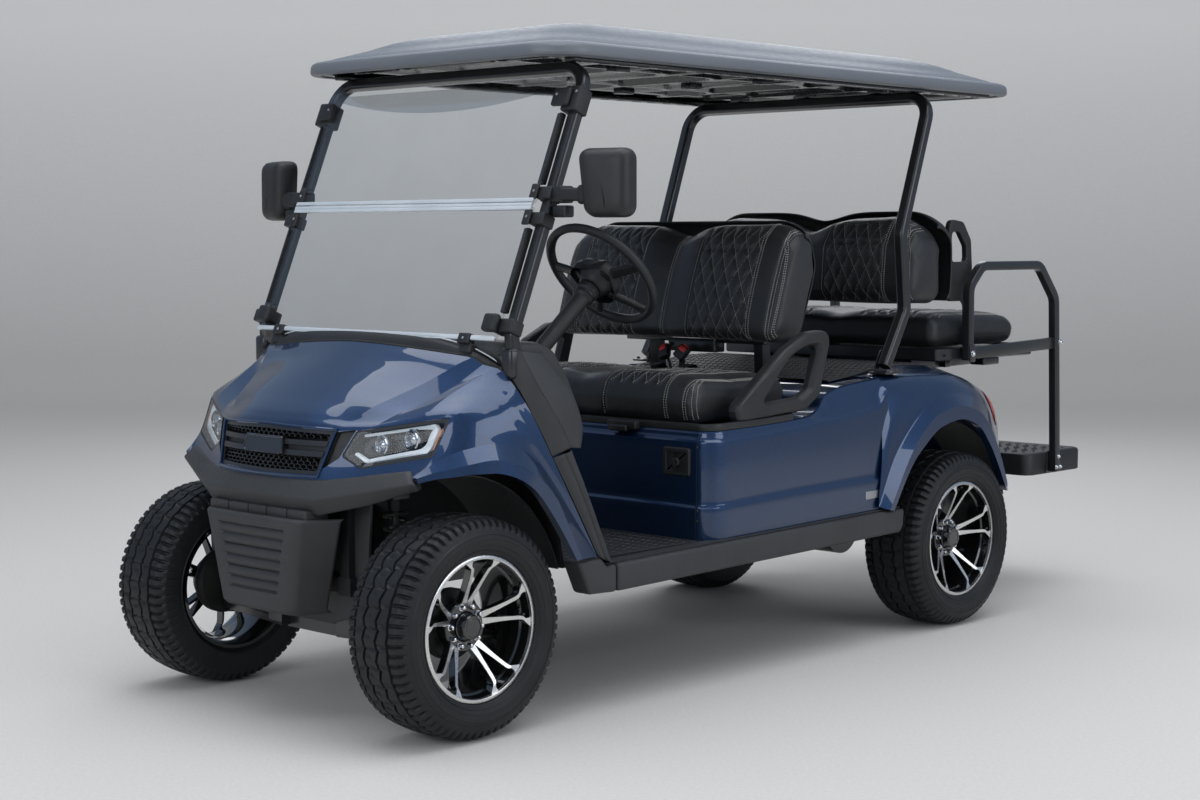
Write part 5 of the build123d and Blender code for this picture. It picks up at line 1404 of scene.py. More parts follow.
def build_side_plate():
    """Blank plate low on each side, ahead of the rear arch."""
    plate = soft_outline([(fy(y), z) for y, z in SIDE_PLATE], .005, 3)
    face = BOX_HALF + .0105
    loops = [[(face + out, y, z) for y, z in grown(plate, by)] for by, out in
             ((0, -.004), (0, .0022), (-.0016, .0034))]
    make("side_plates", both(stacked_form(loops)), BRIGHT, sharp=30)


build_seat_box()
build_key_plate()
build_latch()
build_side_plate()

# ---------------------------------------------------------------- rear body
REAR_NET = [
    [(0, 1.800, .850), (.460, 1.800, .850), (.548, 1.800, .836), (.590, 1.778, .640), (.600, 1.750, .440),
     (.626, 1.776, .430), (.625, 1.800, .425)],
    [(0, 1.835, .853), (.460, 1.838, .853), (.550, 1.835, .838), (.592, 1.808, .705), (.602, 1.795, .535),
     (.628, 1.828, .515), (.627, 1.850, .505)],
    [(0, 1.885, .859), (.460, 1.888, .859), (.553, 1.885, .840), (.592, 1.855, .748), (.602, 1.840, .604),
     (.628, 1.874, .583), (.628, 1.901, .572)],
    [(0, 1.955, .864), (.460, 1.958, .866), (.555, 1.950, .843), (.590, 1.932, .782), (.602, 1.915, .680),
     (.628, 1.942, .658), (.628, 1.965, .624)],
    [(0, 2.055, .868), (.460, 2.058, .870), (.555, 2.045, .846), (.586, 2.032, .806), (.602, 2.020, .750),
     (.628, 2.042, .720), (.628, 2.060, .678)],
    [(0, 2.180, .868), (.460, 2.180, .868), (.552, 2.168, .845), (.582, 2.160, .820), (.600, 2.157, .782),
     (.628, 2.162, .742), (.628, 2.172, .696)],
    [(0, 2.300, .852), (.455, 2.300, .848), (.545, 2.292, .824), (.577, 2.296, .796), (.597, 2.300, .758),
     (.628, 2.275, .716), (.628, 2.272, .670)],
    [(0, 2.420, .822), (.450, 2.418, .814), (.535, 2.405, .786), (.566, 2.404, .750), (.590, 2.400, .703),
     (.627, 2.356, .650), (.626, 2.345, .606)],
    [(0, 2.530, .772), (.445, 2.525, .762), (.522, 2.505, .732), (.550, 2.485, .682), (.580, 2.457, .620),
     (.624, 2.420, .556), (.622, 2.411, .522)],
    [(0, 2.600, .700), (.440, 2.590, .690), (.505, 2.570, .660), (.535, 2.545, .580), (.572, 2.502, .500),
     (.620, 2.470, .460), (.618, 2.462, .445)],
    [(0, 2.612, .560), (.440, 2.604, .560), (.500, 2.585, .545), (.540, 2.552, .500), (.570, 2.515, .450),
     (.612, 2.484, .438), (.612, 2.478, .432)],
    [(0, 2.600, .432), (.440, 2.592, .432), (.500, 2.574, .430), (.540, 2.546, .430), (.568, 2.522, .428),
     (.608, 2.492, .428), (.609, 2.486, .427)],
]
REAR_SEGMENTS = [(0, 1, 16), (1, 4, 40), (4, 5, 8), (5, 6, 6), (6, 7, 3)]
TAIL_LAMP = [(2.432, .764), (2.470, .700), (2.510, .650), (2.532, .668), (2.505, .735), (2.466, .782)]


def build_rear_body():
    lines = net_surface(with_return(REAR_NET), REAR_SEGMENTS, 96, even=False)
    piece, tree = shell_piece("rear_body_panel", lines, PAINT, ["rear_body"])
    creased(piece, 32)
    return tree


REAR_BODY = build_rear_body()           # for casting rays on its outside


def side_patch(outline, tree, lift, rings=4, dome=0.0):
    """Patch on the outside of a body, seen from the side: outline of (y from the front axle, z)."""
    outline = dense([(fy(y), z) for y, z in outline], .010)
    cy, cz = (sum(p[k] for p in outline) / len(outline) for k in range(2))
    rows = []
    for k in range(rings, 0, -1):
        share = k / rings
        row = []
        for y, z in outline:
            py, pz = cy + (y - cy) * share, cz + (z - cz) * share
            hit = cast(tree, (1.2, py, pz), (-1, 0, 0), Vector((.53, py, pz)))
            row.append((hit.x + lift + dome * (1 - share**2), py, pz))
        rows.append(row)
    skirt = [(x - .014, y, z) for x, y, z in rows[0]]
    hit = cast(tree, (1.2, cy, cz), (-1, 0, 0), Vector((.53, cy, cz)))
    form = sheet_form([skirt] + rows, close_columns=True)
    return with_tip(form, len(rows) * len(outline), len(outline), (hit.x + lift + dome, cy, cz))


def build_tail_lamps():
    lens = side_patch(soft_outline(TAIL_LAMP, .012, 4), REAR_BODY, .003, 5, .003)
    make("tail_lamp_lenses", both(lens), RED, replaces=["tail_lamps"], sharp=40)
    rim = side_patch(soft_outline(grown(TAIL_LAMP, .005), .014, 4), REAR_BODY, .0012, 3)
    make("tail_lamp_rims", both(rim), DARK, sharp=40)


build_tail_lamps()


# ================================================================ seats
PAD_STEP = 0.0121          # size of a pad's quads before its one subdivision
PRESSURE, SWELL, CLOTH_FRAMES = 4.0, .007, 20
DIAMOND_WIDE, DIAMOND_TALL = 0.050, 0.092
QUILT_WIDTH, QUILT_DEPTH, QUILT_RISE = .0058, .0052, .0018     # of the lines, and of the cloth between them
SEAM_WIDTH, SEAM_DEPTH = .0042, .0048
RUN_STEPS = 70             # rays that look for a seam's place on a pad
SEAT_HALF = .492           # half width of both backrests and of the front cushion


def even_loop(points, count):
    """Closed loop of (y, z) with its points evenly spaced."""
    loop = np.array(list(points) + [points[0]], float)
    lengths = np.concatenate([[0], np.cumsum(np.linalg.norm(np.diff(loop, axis=0), axis=1))])
    places = np.linspace(0, lengths[-1], count, endpoint=False)
    return np.stack([np.interp(places, lengths, loop[:, k]) for k in range(2)], axis=1)


def end_stations(half, edge, flat_steps, round_steps):
    """(x, inset) from the centre plane outwards, the last of them round a pad's edge."""
    stations = [(x, 0.0) for x in np.linspace(0, half - edge, flat_steps)]
    return stations + [(half - edge + edge * math.sin(a), edge * (1 - math.cos(a)))
                       for a in np.linspace(0, math.pi / 2, round_steps)[1:]]


def domed(rows, centre, half, crown, count):
    """Rows with count more that close the end, which stands out by up to crown."""
    last = np.array(rows[-1])[:, 1:]
    shares = [1 - k / (1.1 * count) for k in range(1, count + 1)]
    return rows + [[(half + crown * (1 - share ** 2), *(centre + (p - centre) * share)) for p in last]
                   for share in shares]


def pad_form(outline, radius, half, edge, morph):
    """Stuffed pad: outline of (y from the front axle, z) carried along x with round edges at both ends.

    Returned with the loop round it and the loop's tangents.
    """
    curve = soft_outline([(fy(y), z) for y, z in outline], radius, 6)
    around = sum(math.dist(a, b) for a, b in zip(curve, curve[1:] + curve[:1]))
    loop = even_loop(curve, int(around / PAD_STEP))
    centre = loop.mean(axis=0)
    reach = np.abs(loop - centre).max(axis=0)
    tangents = np.roll(loop, -1, axis=0) - np.roll(loop, 1, axis=0)
    rows = []
    for x, inset in end_stations(half, edge, int((half - edge) / PAD_STEP) + 1, 7):
        scale = (reach - inset) / reach
        rows.append([(x, *(centre + (p - centre) * scale)) for p in loop])
    rows = [[morph(*p) for p in row] for row in mirrored_rows(domed(rows, centre, half, .004, 6))]
    return with_ends(sheet_form(rows, close_columns=True), len(loop)), loop, tangents


def vertex_values(mesh, what):
    values = np.empty(len(mesh.vertices) * 3)
    mesh.vertices.foreach_get(what, values)
    return values.reshape(-1, 3)


def puffed(piece):
    """Blows a pad up with cloth and keeps each point within SWELL of its place."""
    rest = vertex_values(piece.data, "co")
    cloth = piece.modifiers.new("cloth", "CLOTH")
    cloth.settings.use_pressure = True
    cloth.settings.uniform_pressure_force = PRESSURE
    cloth.settings.effector_weights.gravity = 0
    cloth.settings.quality = 4
    cloth.collision_settings.use_collision = False
    cloth.collision_settings.use_self_collision = False
    for frame_number in range(1, CLOTH_FRAMES + 1):
        bpy.context.scene.frame_set(frame_number)
    mesh = evaluated(piece)
    moves = vertex_values(mesh, "co") - rest
    lengths = np.linalg.norm(moves, axis=1, keepdims=True)
    moves *= np.minimum(1.0, SWELL / np.maximum(lengths, 1e-9))
    mesh.vertices.foreach_set("co", (rest + moves).ravel())
    bpy.context.scene.frame_set(1)
    finer = piece.modifiers.new("finer", "SUBSURF")
    finer.levels = finer.render_levels = 1
    evaluated(piece)


def soft_step(value, low, high):
    share = np.clip((value - low) / (high - low), 0, 1)
    return share * share * (3 - 2 * share)


def groove(distance, width):
    return np.exp(-(distance / width) ** 2)


def within(values, low, high, fade):
    """1 between two limits, and 0 outside them."""
    return soft_step(values, low, low + fade) * soft_step(-values, -high, -high + fade)


def sewn(piece, along, faces_front, panels, seams, cross=(), upward=-1.0):
    """Presses seams and quilting into a pad.

    along gives each point's coordinate down the pad, faces_front how far its face is a front one.
    panels is a list of (low x, high x, low along, high along), quilted where they face up more than upward;
    seams of x; cross of (along, low x, high x).
    """
    mesh = piece.data
    points, normals = vertex_values(mesh, "co"), vertex_values(mesh, "normal")
    x, v = points[:, 0], along(points)
    press = np.zeros(len(points))
    size = 1 / math.hypot(1 / DIAMOND_WIDE, 1 / DIAMOND_TALL)
    for low, high, start, end in panels:
        inside = within(x, low, high, .012) * within(v, start, end, .012)
        first = (x / DIAMOND_WIDE + v / DIAMOND_TALL) % 1.0
        second = (x / DIAMOND_WIDE - v / DIAMOND_TALL) % 1.0
        near = np.minimum(np.minimum(first, 1 - first), np.minimum(second, 1 - second)) * size
        inside = inside * soft_step(normals[:, 2], upward - .1, upward + .1)
        press += inside * (groove(near, QUILT_WIDTH) * QUILT_DEPTH - QUILT_RISE)
    for place in seams:
        press += groove(x - place, SEAM_WIDTH) * SEAM_DEPTH
    for place, low, high in cross:
        press += within(x, low, high, .01) * groove(v - place, .006) * .0045
    points -= normals * (press * faces_front(normals))[:, None]
    mesh.vertices.foreach_set("co", points.ravel())
    mesh.update()


STITCH, STITCH_PITCH = 0.0048, 0.0078


def stitch_form(points, thick=0.0016):
    """Row of short stitches along surface points of (place, normal)."""
    verts, faces = [], []
    if len(points) < 2:
        return verts, faces
    places = np.array([p for p, _ in points])
    normals = np.array([n for _, n in points])
    lengths = np.concatenate([[0], np.cumsum(np.linalg.norm(np.diff(places, axis=0), axis=1))])
    for start in np.arange(0, lengths[-1] - STITCH, STITCH_PITCH):
        ends = []
        for s in (start, start + STITCH / 2, start + STITCH):
            place = np.array([np.interp(s, lengths, places[:, k]) for k in range(3)])
            normal = np.array([np.interp(s, lengths, normals[:, k]) for k in range(3)])
            ends.append((place, normal / max(1e-9, np.linalg.norm(normal))))
        (a, na), (b, nb), (c, nc) = ends
        side = np.cross(c - a, nb)
        side = side / max(1e-9, np.linalg.norm(side)) * thick
        mid = b + nb * thick * .9
        base = len(verts)
        verts += [tuple(a + na * .0001), tuple(mid + side), tuple(mid + nb * thick), tuple(mid - side),
                  tuple(mid - nb * thick * 1.6), tuple(c + nc * .0001)]
        faces += [(base, base + 1 + k, base + 1 + (k + 1) % 4) for k in range(4)]
        faces += [(base + 5, base + 1 + (k + 1) % 4, base + 1 + k) for k in range(4)]
    return verts, faces


def on_loop(loop, share):
    """Value at a share of the way round a closed loop."""
    n = len(loop)
    place = (share % 1.0) * n
    i, f = int(place) % n, place % 1
    return loop[i] * (1 - f) + loop[(i + 1) % n] * f


def touched(tree, start, direction, reach=.2):
    """List with the place and the normal where a ray meets a pad, empty where it meets nothing."""
    hit, normal, _, _ = tree.ray_cast(start, direction, reach)
    return [] if hit is None else [(np.array(hit), np.array(normal))]


def surface_run(tree, loop, tangents, x, start, end):
    """Points on a pad along a seam, between two shares of the way round."""
    out, middle = [], Vector((0, *loop.mean(axis=0)))
    for share in np.linspace(start, end, RUN_STEPS):
        spot, tangent = on_loop(loop, share), on_loop(tangents, share)
        tangent /= np.linalg.norm(tangent)
        outward = Vector((0, tangent[1], -tangent[0]))
        if outward.dot(Vector((0, *spot)) - middle) < 0:
            outward = -outward
        out += touched(tree, Vector((x, *spot)) + outward * .09, -outward)
    return out


def gusset_run(tree, loop, x, shrink, start, end):
    """Points on the rounded edge between a pad's face and its end."""
    out, centre = [], loop.mean(axis=0)
    for share in np.linspace(start, end, RUN_STEPS):
        spot = centre + (on_loop(loop, share) - centre) * shrink
        direction = Vector((-math.copysign(1, x), *((centre - spot) * 2.2)))
        direction.normalize()
        out += touched(tree, Vector((x, *spot)) - direction * .09, direction)
    return out


def climb(loop, low, high):
    """Two points of a loop as shares of the way round, so that the way from low to high climbs."""
    n = len(loop)
    start, end = low / n, high / n
    climbs = loop[(low + 3) % n][1] > loop[(low - 3) % n][1]
    if climbs and end < start:
        end += 1
    if not climbs and end > start:
        end -= 1
    return start, end


def seam_threads(tree, loop, tangents, edges, shares, half, shrinks):
    """Stitches beside the seams of a pad and round its two ends."""
    threads = []
    for x in edges:
        offsets = (-.0052, .0052) if abs(x) > .30 or x == 0 else (.005 if x < 0 else -.005,)
        for offset in offsets:
            threads.append(stitch_form(surface_run(tree, loop, tangents, x + offset, *shares)))
    for side in (-1, 1):
        for shrink in shrinks:
            threads.append(stitch_form(gusset_run(tree, loop, side * (half - .004), shrink, *shares)))
    return threads


def tree_of(piece):
    mesh = piece.data
    return BVHTree.FromPolygons([tuple(v.co) for v in mesh.vertices],
                                [tuple(f.vertices) for f in mesh.polygons])


def quilt_runs(tree, panel, ray, upward=-1.0):
    """Stitches along the diamonds of a panel. ray gives the origin and direction that find (x, along)."""
    low, high, start, end = panel
    runs = []
    for sign in (1, -1):
        span = (high - low) / DIAMOND_WIDE + (end - start) / DIAMOND_TALL
        base = (low / DIAMOND_WIDE) + min(sign * start, sign * end) / DIAMOND_TALL
        for k in range(math.ceil(base), math.ceil(base + span)):
            points = []
            for v in np.linspace(start, end, 60):
                x = (k - sign * v / DIAMOND_TALL) * DIAMOND_WIDE
                if low + .006 < x < high - .006:
                    points += [hit for hit in touched(tree, *ray(x, v), 3.0) if hit[1][2] > upward]
            runs.append(stitch_form(points, .0011))
    return runs


# ---------------------------------------------------------------- front backrest
SEAT_BACK_LINE = [(1.357, .992), (1.378, .972), (1.470, .966), (1.500, .985), (1.578, 1.190), (1.566, 1.325),
                  (1.540, 1.345), (1.497, 1.343), (1.458, 1.305)]
LOBE, QUILT_IN, QUILT_OUT, BOLSTER = .250, .122, .372, .447


def seat_back_morph(x, y, z):
    """Two lobes that bulge forwards, with a dip between them at the top and rounded outer shoulders."""
    height = (z - .97) / .375
    dip = .036 * math.exp(-(x / .085) ** 2) * max(0.0, (z - 1.20) / .145)
    shoulder = .055 * max(0.0, (abs(x) - .36) / .13) ** 2 * max(0.0, (z - 1.16) / .185) ** 1.2
    bulge = .020 * math.exp(-((abs(x) - LOBE) / .17) ** 2) * math.sin(math.pi * min(1, max(0, height + .06)))
    valley = .014 * math.exp(-(x / .05) ** 2)
    forward = y < fy(1.46 + .1 * height)
    return x, y - (bulge - valley if forward else 0), z - dip - shoulder


def front_normals(normals):
    return soft_step(-normals[:, 1] + .35 * np.maximum(normals[:, 2], 0), .05, .45)


def build_back(name, outline, replaces, morph, top_seam, span):
    """Backrest with its stitches. span is the quilted height, and top_seam the height of the seam across."""
    form, loop, tangents = pad_form(outline, .030, SEAT_HALF - .006, .040, morph)
    pad = make(name, [form], LEATHER, replaces=replaces, sharp=0)
    puffed(pad)
    quilts = [(QUILT_IN, QUILT_OUT, *span), (-QUILT_OUT, -QUILT_IN, *span)]
    edges = [-BOLSTER, -QUILT_OUT, -QUILT_IN, 0, QUILT_IN, QUILT_OUT, BOLSTER]
    sewn(pad, lambda points: points[:, 2], front_normals, quilts, edges,
         [(top_seam, low, high) for low, high, _, _ in quilts])
    tree = tree_of(pad)
    low, high = int(np.argmin(loop[:, 0] * .8 + loop[:, 1])), int(np.argmax(loop[:, 1]))
    threads = seam_threads(tree, loop, tangents, edges, climb(loop, low, high), SEAT_HALF, (.985, .93))
    for quilt in quilts:
        threads += quilt_runs(tree, quilt, lambda x, v: (Vector((x, fy(1.0), v)), Vector((0, 1, 0))))
    make(name + "_stitches", threads, THREAD, sharp=0, recalc=False)


build_back("seat_back_pad", SEAT_BACK_LINE, ["front_backrest"], seat_back_morph, 1.262, (.975, 1.335))


# ---------------------------------------------------------------- front cushion
SEAT_LINE = [(.985, .748), (1.418, .756), (1.434, .850), (1.410, .872), (1.180, .872), (1.030, .882),
             (.990, .862), (.974, .810)]


def seat_morph(x, y, z):
    back = (y - fy(.98)) / .45
    share = max(0.0, (z - .79) / .09)
    bulge = .009 * math.exp(-((abs(x) - .245) / .15) ** 2) * math.sin(math.pi * min(1, max(0, back)))
    shoulder = .022 * max(0.0, (abs(x) - .37) / .12) ** 2 * share
    valley = .009 * math.exp(-(x / .06) ** 2)
    return x, y, z + share * (bulge - valley) - shoulder


QUILT_UP = .58                          # cushions are quilted where they face up at least this much


def build_cushion(name, outline, half, replaces, morph, edges, span, front):
    """Cushion with its stitches. front is 1 where its front faces +y, and -1 where it faces -y."""
    form, loop, tangents = pad_form(outline, .034, half - .006, .036, morph)
    pad = make(name, [form], LEATHER, replaces=replaces, sharp=0)
    puffed(pad)
    quilts = [(*edges[3:5], *span), (*edges[1:3], *span)]
    sewn(pad, lambda points: -front * points[:, 1] - points[:, 2],
         lambda normals: soft_step(normals[:, 2] + front * .75 * normals[:, 1], .10, .55), quilts, edges,
         upward=QUILT_UP)
    tree = tree_of(pad)
    low = int(np.argmax(front * loop[:, 0] - .9 * loop[:, 1]))
    high = int(np.argmax(-front * loop[:, 0] + 1.4 * loop[:, 1]))
    threads = seam_threads(tree, loop, tangents, edges, climb(loop, low, high), half, (.985, .91))
    level = max(z for _, z in outline) - .012
    direction = Vector((0, -front * .55, -1)).normalized()

    def ray(x, v):
        # towards the point of the top or of the front, whichever has this coordinate
        return Vector((x, -front * (v + level), level)) - direction * .15, direction
    for quilt in quilts:
        threads += quilt_runs(tree, quilt, ray, QUILT_UP)
    make(name + "_stitches", threads, THREAD, sharp=0, recalc=False)


SEAT_SPAN = (fy(1.0) - .900, fy(1.41) - .872)
build_cushion("seat_cushion_pad", SEAT_LINE, SEAT_HALF, ["front_cushion"], seat_morph,
              [-.445, -.368, -.118, .118, .368, .445], SEAT_SPAN, -1)

# ---------------------------------------------------------------- rear seat
REAR_BACK_LINE = [(2.075, 1.105), (2.100, 1.074), (2.225, 1.068), (2.262, 1.090), (2.274, 1.290),
                  (2.238, 1.358), (2.205, 1.372), (2.135, 1.362), (2.088, 1.270)]


def rear_back_morph(x, y, z):
    dip = .045 * math.exp(-(x / .10) ** 2) * max(0.0, (z - 1.24) / .13)
    shoulder = .080 * max(0.0, (abs(x) - .34) / .15) ** 2 * max(0.0, (z - 1.20) / .17) ** 1.2
    return x, y, z - dip - shoulder


build_back("rear_back_pad", REAR_BACK_LINE, ["rear_backrest"], rear_back_morph, 1.285, (1.085, 1.350))

REAR_SEAT_LINE = [(2.276, .925), (2.795, .925), (2.808, .975), (2.800, 1.010), (2.765, 1.030), (2.480, 1.036),
                  (2.320, 1.040), (2.282, 1.020)]


def rear_seat_morph(x, y, z):
    share = max(0.0, (z - .96) / .07)
    shoulder = .010 * max(0.0, (abs(x) - .34) / .11) ** 2 * share
    fall = .012 * max(0.0, (y - fy(2.62)) / .19) ** 1.5 * share
    valley = .009 * math.exp(-(x / .06) ** 2)
    return x, y, z - shoulder - fall - valley * share


REAR_SEAT_SPAN = (-fy(2.78) - 1.025, -fy(2.30) - 1.04)
build_cushion("rear_cushion_pad", REAR_SEAT_LINE, .446, ["rear_cushion"], rear_seat_morph,
              [-.400, -.335, -.118, .118, .335, .400], REAR_SEAT_SPAN, 1)


# ================================================================ roof
ROOF_LOW_CORNER, ROOF_HIGH_CORNER = (Vector(v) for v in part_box("roof"))
ROOF_MIDDLE = (ROOF_LOW_CORNER + ROOF_HIGH_CORNER) / 2
ROOF_HALF_WIDE = (ROOF_HIGH_CORNER.x - ROOF_LOW_CORNER.x) / 2
ROOF_HALF_LONG = (ROOF_HIGH_CORNER.y - ROOF_LOW_CORNER.y) / 2
RIM_LOW, CROWN = ROOF_LOW_CORNER.z, ROOF_HIGH_CORNER.z
LINING_CORNER, RIB_PITCH = .10, .232
# inset from the side, inset from the ends, height, corner radius; from the underside's edge over the top
ROOF_LOOPS = [
    (.030, .030, .004, .105), (.030, .030, .000, .105), (.007, .007, .000, .126), (.0015, .0015, .004, .130),
    (.000, .000, .010, .130), (.0015, .0015, .026, .129), (.005, .005, .033, .127), (.013, .013, .038, .122),
    (.030, .034, .043, .112), (.044, .050, .0445, .106), (.049, .056, .0485, .104), (.080, .100, .062, .104),
    (.120, .150, .078, .102), (.128, .162, .0830, .100), (.160, .200, .098, .098), (.200, .255, .113, .094),
    (.232, .300, .122, .090), (.242, .314, .1235, .088), (.300, .400, .1290, .086), (.380, .520, .1335, .084),
    (.460, .700, .1370, .070), (.530, .950, .1400, .030),
]


def round_rectangle(half_x, half_y, radius, corner_steps=14, long_steps=14, short_steps=8):
    """Rectangle round the origin with rounded corners, as (x, y) points."""
    radius = min(radius, half_x * .98, half_y * .98)
    corners = []
    for sx, sy, start in ((1, 1, 0), (-1, 1, 90), (-1, -1, 180), (1, -1, 270)):
        cx, cy = sx * (half_x - radius), sy * (half_y - radius)
        turns = [math.radians(start + 90 * k / corner_steps) for k in range(corner_steps + 1)]
        corners.append([(cx + radius * math.cos(a), cy + radius * math.sin(a)) for a in turns])
    points = []
    for number, corner in enumerate(corners):
        (x, y), (next_x, next_y) = corner[-1], corners[(number + 1) % 4][0]
        steps = short_steps if number % 2 == 0 else long_steps
        points += corner + [(x + (next_x - x) * k / steps, y + (next_y - y) * k / steps)
                            for k in range(1, steps)]
    return points


def build_roof():
    rise = (CROWN - RIM_LOW) / .143
    rows = []
    for side_in, end_in, height, radius in ROOF_LOOPS:
        loop = round_rectangle(ROOF_HALF_WIDE - side_in, ROOF_HALF_LONG - end_in, radius)
        rows.append([(x, ROOF_MIDDLE.y + y, RIM_LOW + height * rise) for x, y in loop])
    n = len(rows[0])
    roof = with_tip(sheet_form(rows, close_columns=True), (len(rows) - 1) * n, n, (0, ROOF_MIDDLE.y, CROWN))
    make("roof_cover", [roof], ROOF, replaces=["roof"], sharp=24)


def lining_point(x, y, half_x, half_y):
    """Place on the underside, between its raised rails and cross ribs."""
    edge = min(half_x - abs(x), half_y - abs(y))
    corner_x, corner_y = (max(0, abs(a) - half + LINING_CORNER) for a, half in ((x, half_x), (y, half_y)))
    away = math.hypot(corner_x, corner_y)
    if corner_x and corner_y:
        edge = min(edge, LINING_CORNER - away)
    recess = .024 * float(soft_step(edge, .028, .060))
    cross = abs(((y + half_y) / RIB_PITCH) % 1.0 - .5) * RIB_PITCH
    along = min(abs(abs(x) - .205), abs(abs(x) - .415))
    rib = max(1 - float(soft_step(cross, .013, .030)), .75 * (1 - float(soft_step(along, .014, .030))))
    hollow = recess * (1 - .80 * rib * float(soft_step(edge, .050, .085)))
    if corner_x and corner_y and away > LINING_CORNER:
        scale = LINING_CORNER / away
        x = math.copysign(half_x - LINING_CORNER + corner_x * scale, x)
        y = math.copysign(half_y - LINING_CORNER + corner_y * scale, y)
    return x, ROOF_MIDDLE.y + y, RIM_LOW + .003 + hollow


def under_roof(x, y, half_x, half_y, low, high, width, segments):
    """Block under the roof, round a place given from its middle, between two heights over its lower rim."""
    y += ROOF_MIDDLE.y
    return soft_block((x - half_x, y - half_y, RIM_LOW + low), (x + half_x, y + half_y, RIM_LOW + high),
                      width, segments)


def build_roof_lining():
    half_x, half_y = ROOF_HALF_WIDE - .028, ROOF_HALF_LONG - .028
    entries = [sheet_form([[lining_point(x, y, half_x, half_y) for x in np.linspace(-half_x, half_x, 85)]
                           for y in np.linspace(-half_y, half_y, 150)])]
    for x in (-.492, .492):
        entries.append(under_roof(x, 0, .020, 1.02, -.008, .005, .003, 2))
        entries += [under_roof(x, y, .006, .018, -.0092, -.007, .0009, 1) for y in np.arange(-.96, .97, .08)]
    entries += [under_roof(x, y, .022, .030, -.004, .018, .004, 2) for x in (-.30, 0, .30)
                for y in (-.62, .05, .66)]
    make("roof_lining", entries, LINING, replaces=["roof_liner"], sharp=45)


build_roof()
build_roof_lining()

# ================================================================ windshield
POST_LEAN, POST_FOOT, POST_KNEE, POST_X, POST_HALF = 0.41, 0.194, 1.042, 0.531, 0.017
PANE_DIR = Vector((0, POST_LEAN, 1)).normalized()
PANE_OUT = Vector((0, -PANE_DIR.z, PANE_DIR.y))
PANE_ORIGIN = Vector((0, fy(POST_FOOT), POST_KNEE)) + PANE_OUT * (POST_HALF + .0095)
PANE_HALF, PANE_LOW, PANE_THICK = 0.512, -0.030, 0.0055
PANE_TOP = (RIM_LOW - .024 - POST_KNEE) / PANE_DIR.z - .038
PANE_SPLIT = PANE_TOP * .48
TINT_HALF = .492
# the cowl's rear edge on its left half, y from the front axle
COWL_REAR_EDGE = [(.0, .118, 1.036), (.12, .120, 1.034), (.26, .128, 1.027), (.350, .139, 1.014),
                  (.412, .150, 1.000), (.470, .162, .977), (.515, .176, .950)]


def on_pane(x, height, out=0.0):
    return PANE_ORIGIN + Vector((x, 0, 0)) + PANE_DIR * height + PANE_OUT * out


def pane_block(x_low, x_high, low, high, near, far, bevel=.003, segments=3):
    """Bevelled block in the windshield's own directions."""
    form = soft_block((x_low, low, near), (x_high, high, far), bevel, segments)
    return [on_pane(x, s, d) for x, s, d in form[0]], form[1]


def pane_form(low, high):
    """Faces and rim of a pane, as two forms."""
    loop = [(x, y + (low + high) / 2) for x, y in round_rectangle(PANE_HALF, (high - low) / 2, .016, 6, 1, 1)]
    points = [on_pane(x, s, out) for out in (PANE_THICK, 0) for x, s in loop]
    n = len(loop)
    rim = [(j, (j + 1) % n, n + (j + 1) % n, n + j) for j in range(n)]
    return (points, [tuple(range(n)), tuple(range(2 * n - 1, n - 1, -1))]), (points, rim)


def build_panes():
    for name, low, high in (("windshield_lower", PANE_LOW, PANE_SPLIT),
                            ("windshield_upper", PANE_SPLIT + .007, PANE_TOP)):
        sheet, rim = pane_form(low, high)
        make(name + "_pane", [(sheet, 0), (rim, 1)], [CLEAR, CLEAR_EDGE],
             replaces=[name], sharp=20)
    rails = [pane_block(-PANE_HALF + .004, PANE_HALF - .004, low, low + height, out, out + .009, .0025, 2)
             for low, height, out in ((PANE_SPLIT - .0145, .012, .006), (PANE_SPLIT + .0085, .012, .006),
                                      (PANE_SPLIT - .0035, .010, .0065))]
    rails.append(pane_block(-PANE_HALF + .002, PANE_HALF - .002, PANE_LOW - .004, PANE_LOW + .010, .006,
                            .016, .003, 2))
    make("windshield_rails", rails, BAR, sharp=25)
    tint = [[on_pane(x, PANE_TOP - .012 - (.014 + .058 * (1 - (x / TINT_HALF) ** 2)) * t, -.0015)
             for x in np.linspace(-TINT_HALF, TINT_HALF, 50)] for t in np.linspace(0, 1, 8)]
    make("windshield_tint", [sheet_form(tint)], TINT, sharp=0)


def build_skirt():
    """Clear skirt between the foot of the lower pane and the cowl."""
    curve = [p for p in catmull([at(*p) for p in COWL_REAR_EDGE], 40) if p[0] > .09]
    top = [on_pane(min(p[0], PANE_HALF - .003), PANE_LOW + .004, .003) for p in curve]
    low = [Vector((p[0], p[1] + .004, min(p[2] + .007, t.z - .002))) for p, t in zip(curve, top)]
    shares = [k / 5 for k in range(6)]
    skirt = [[t * (1 - share) + l * share - PANE_OUT * .006 * math.sin(math.pi * share)
              for t, l in zip(top, low)] for share in shares]
    make("windshield_skirt", both(sheet_form(skirt)), CLEAR, sharp=0)
    edge = sweep_form(low, circle_section(.0020, 6))
    make("windshield_skirt_edge", both(edge), BAR, sharp=0)


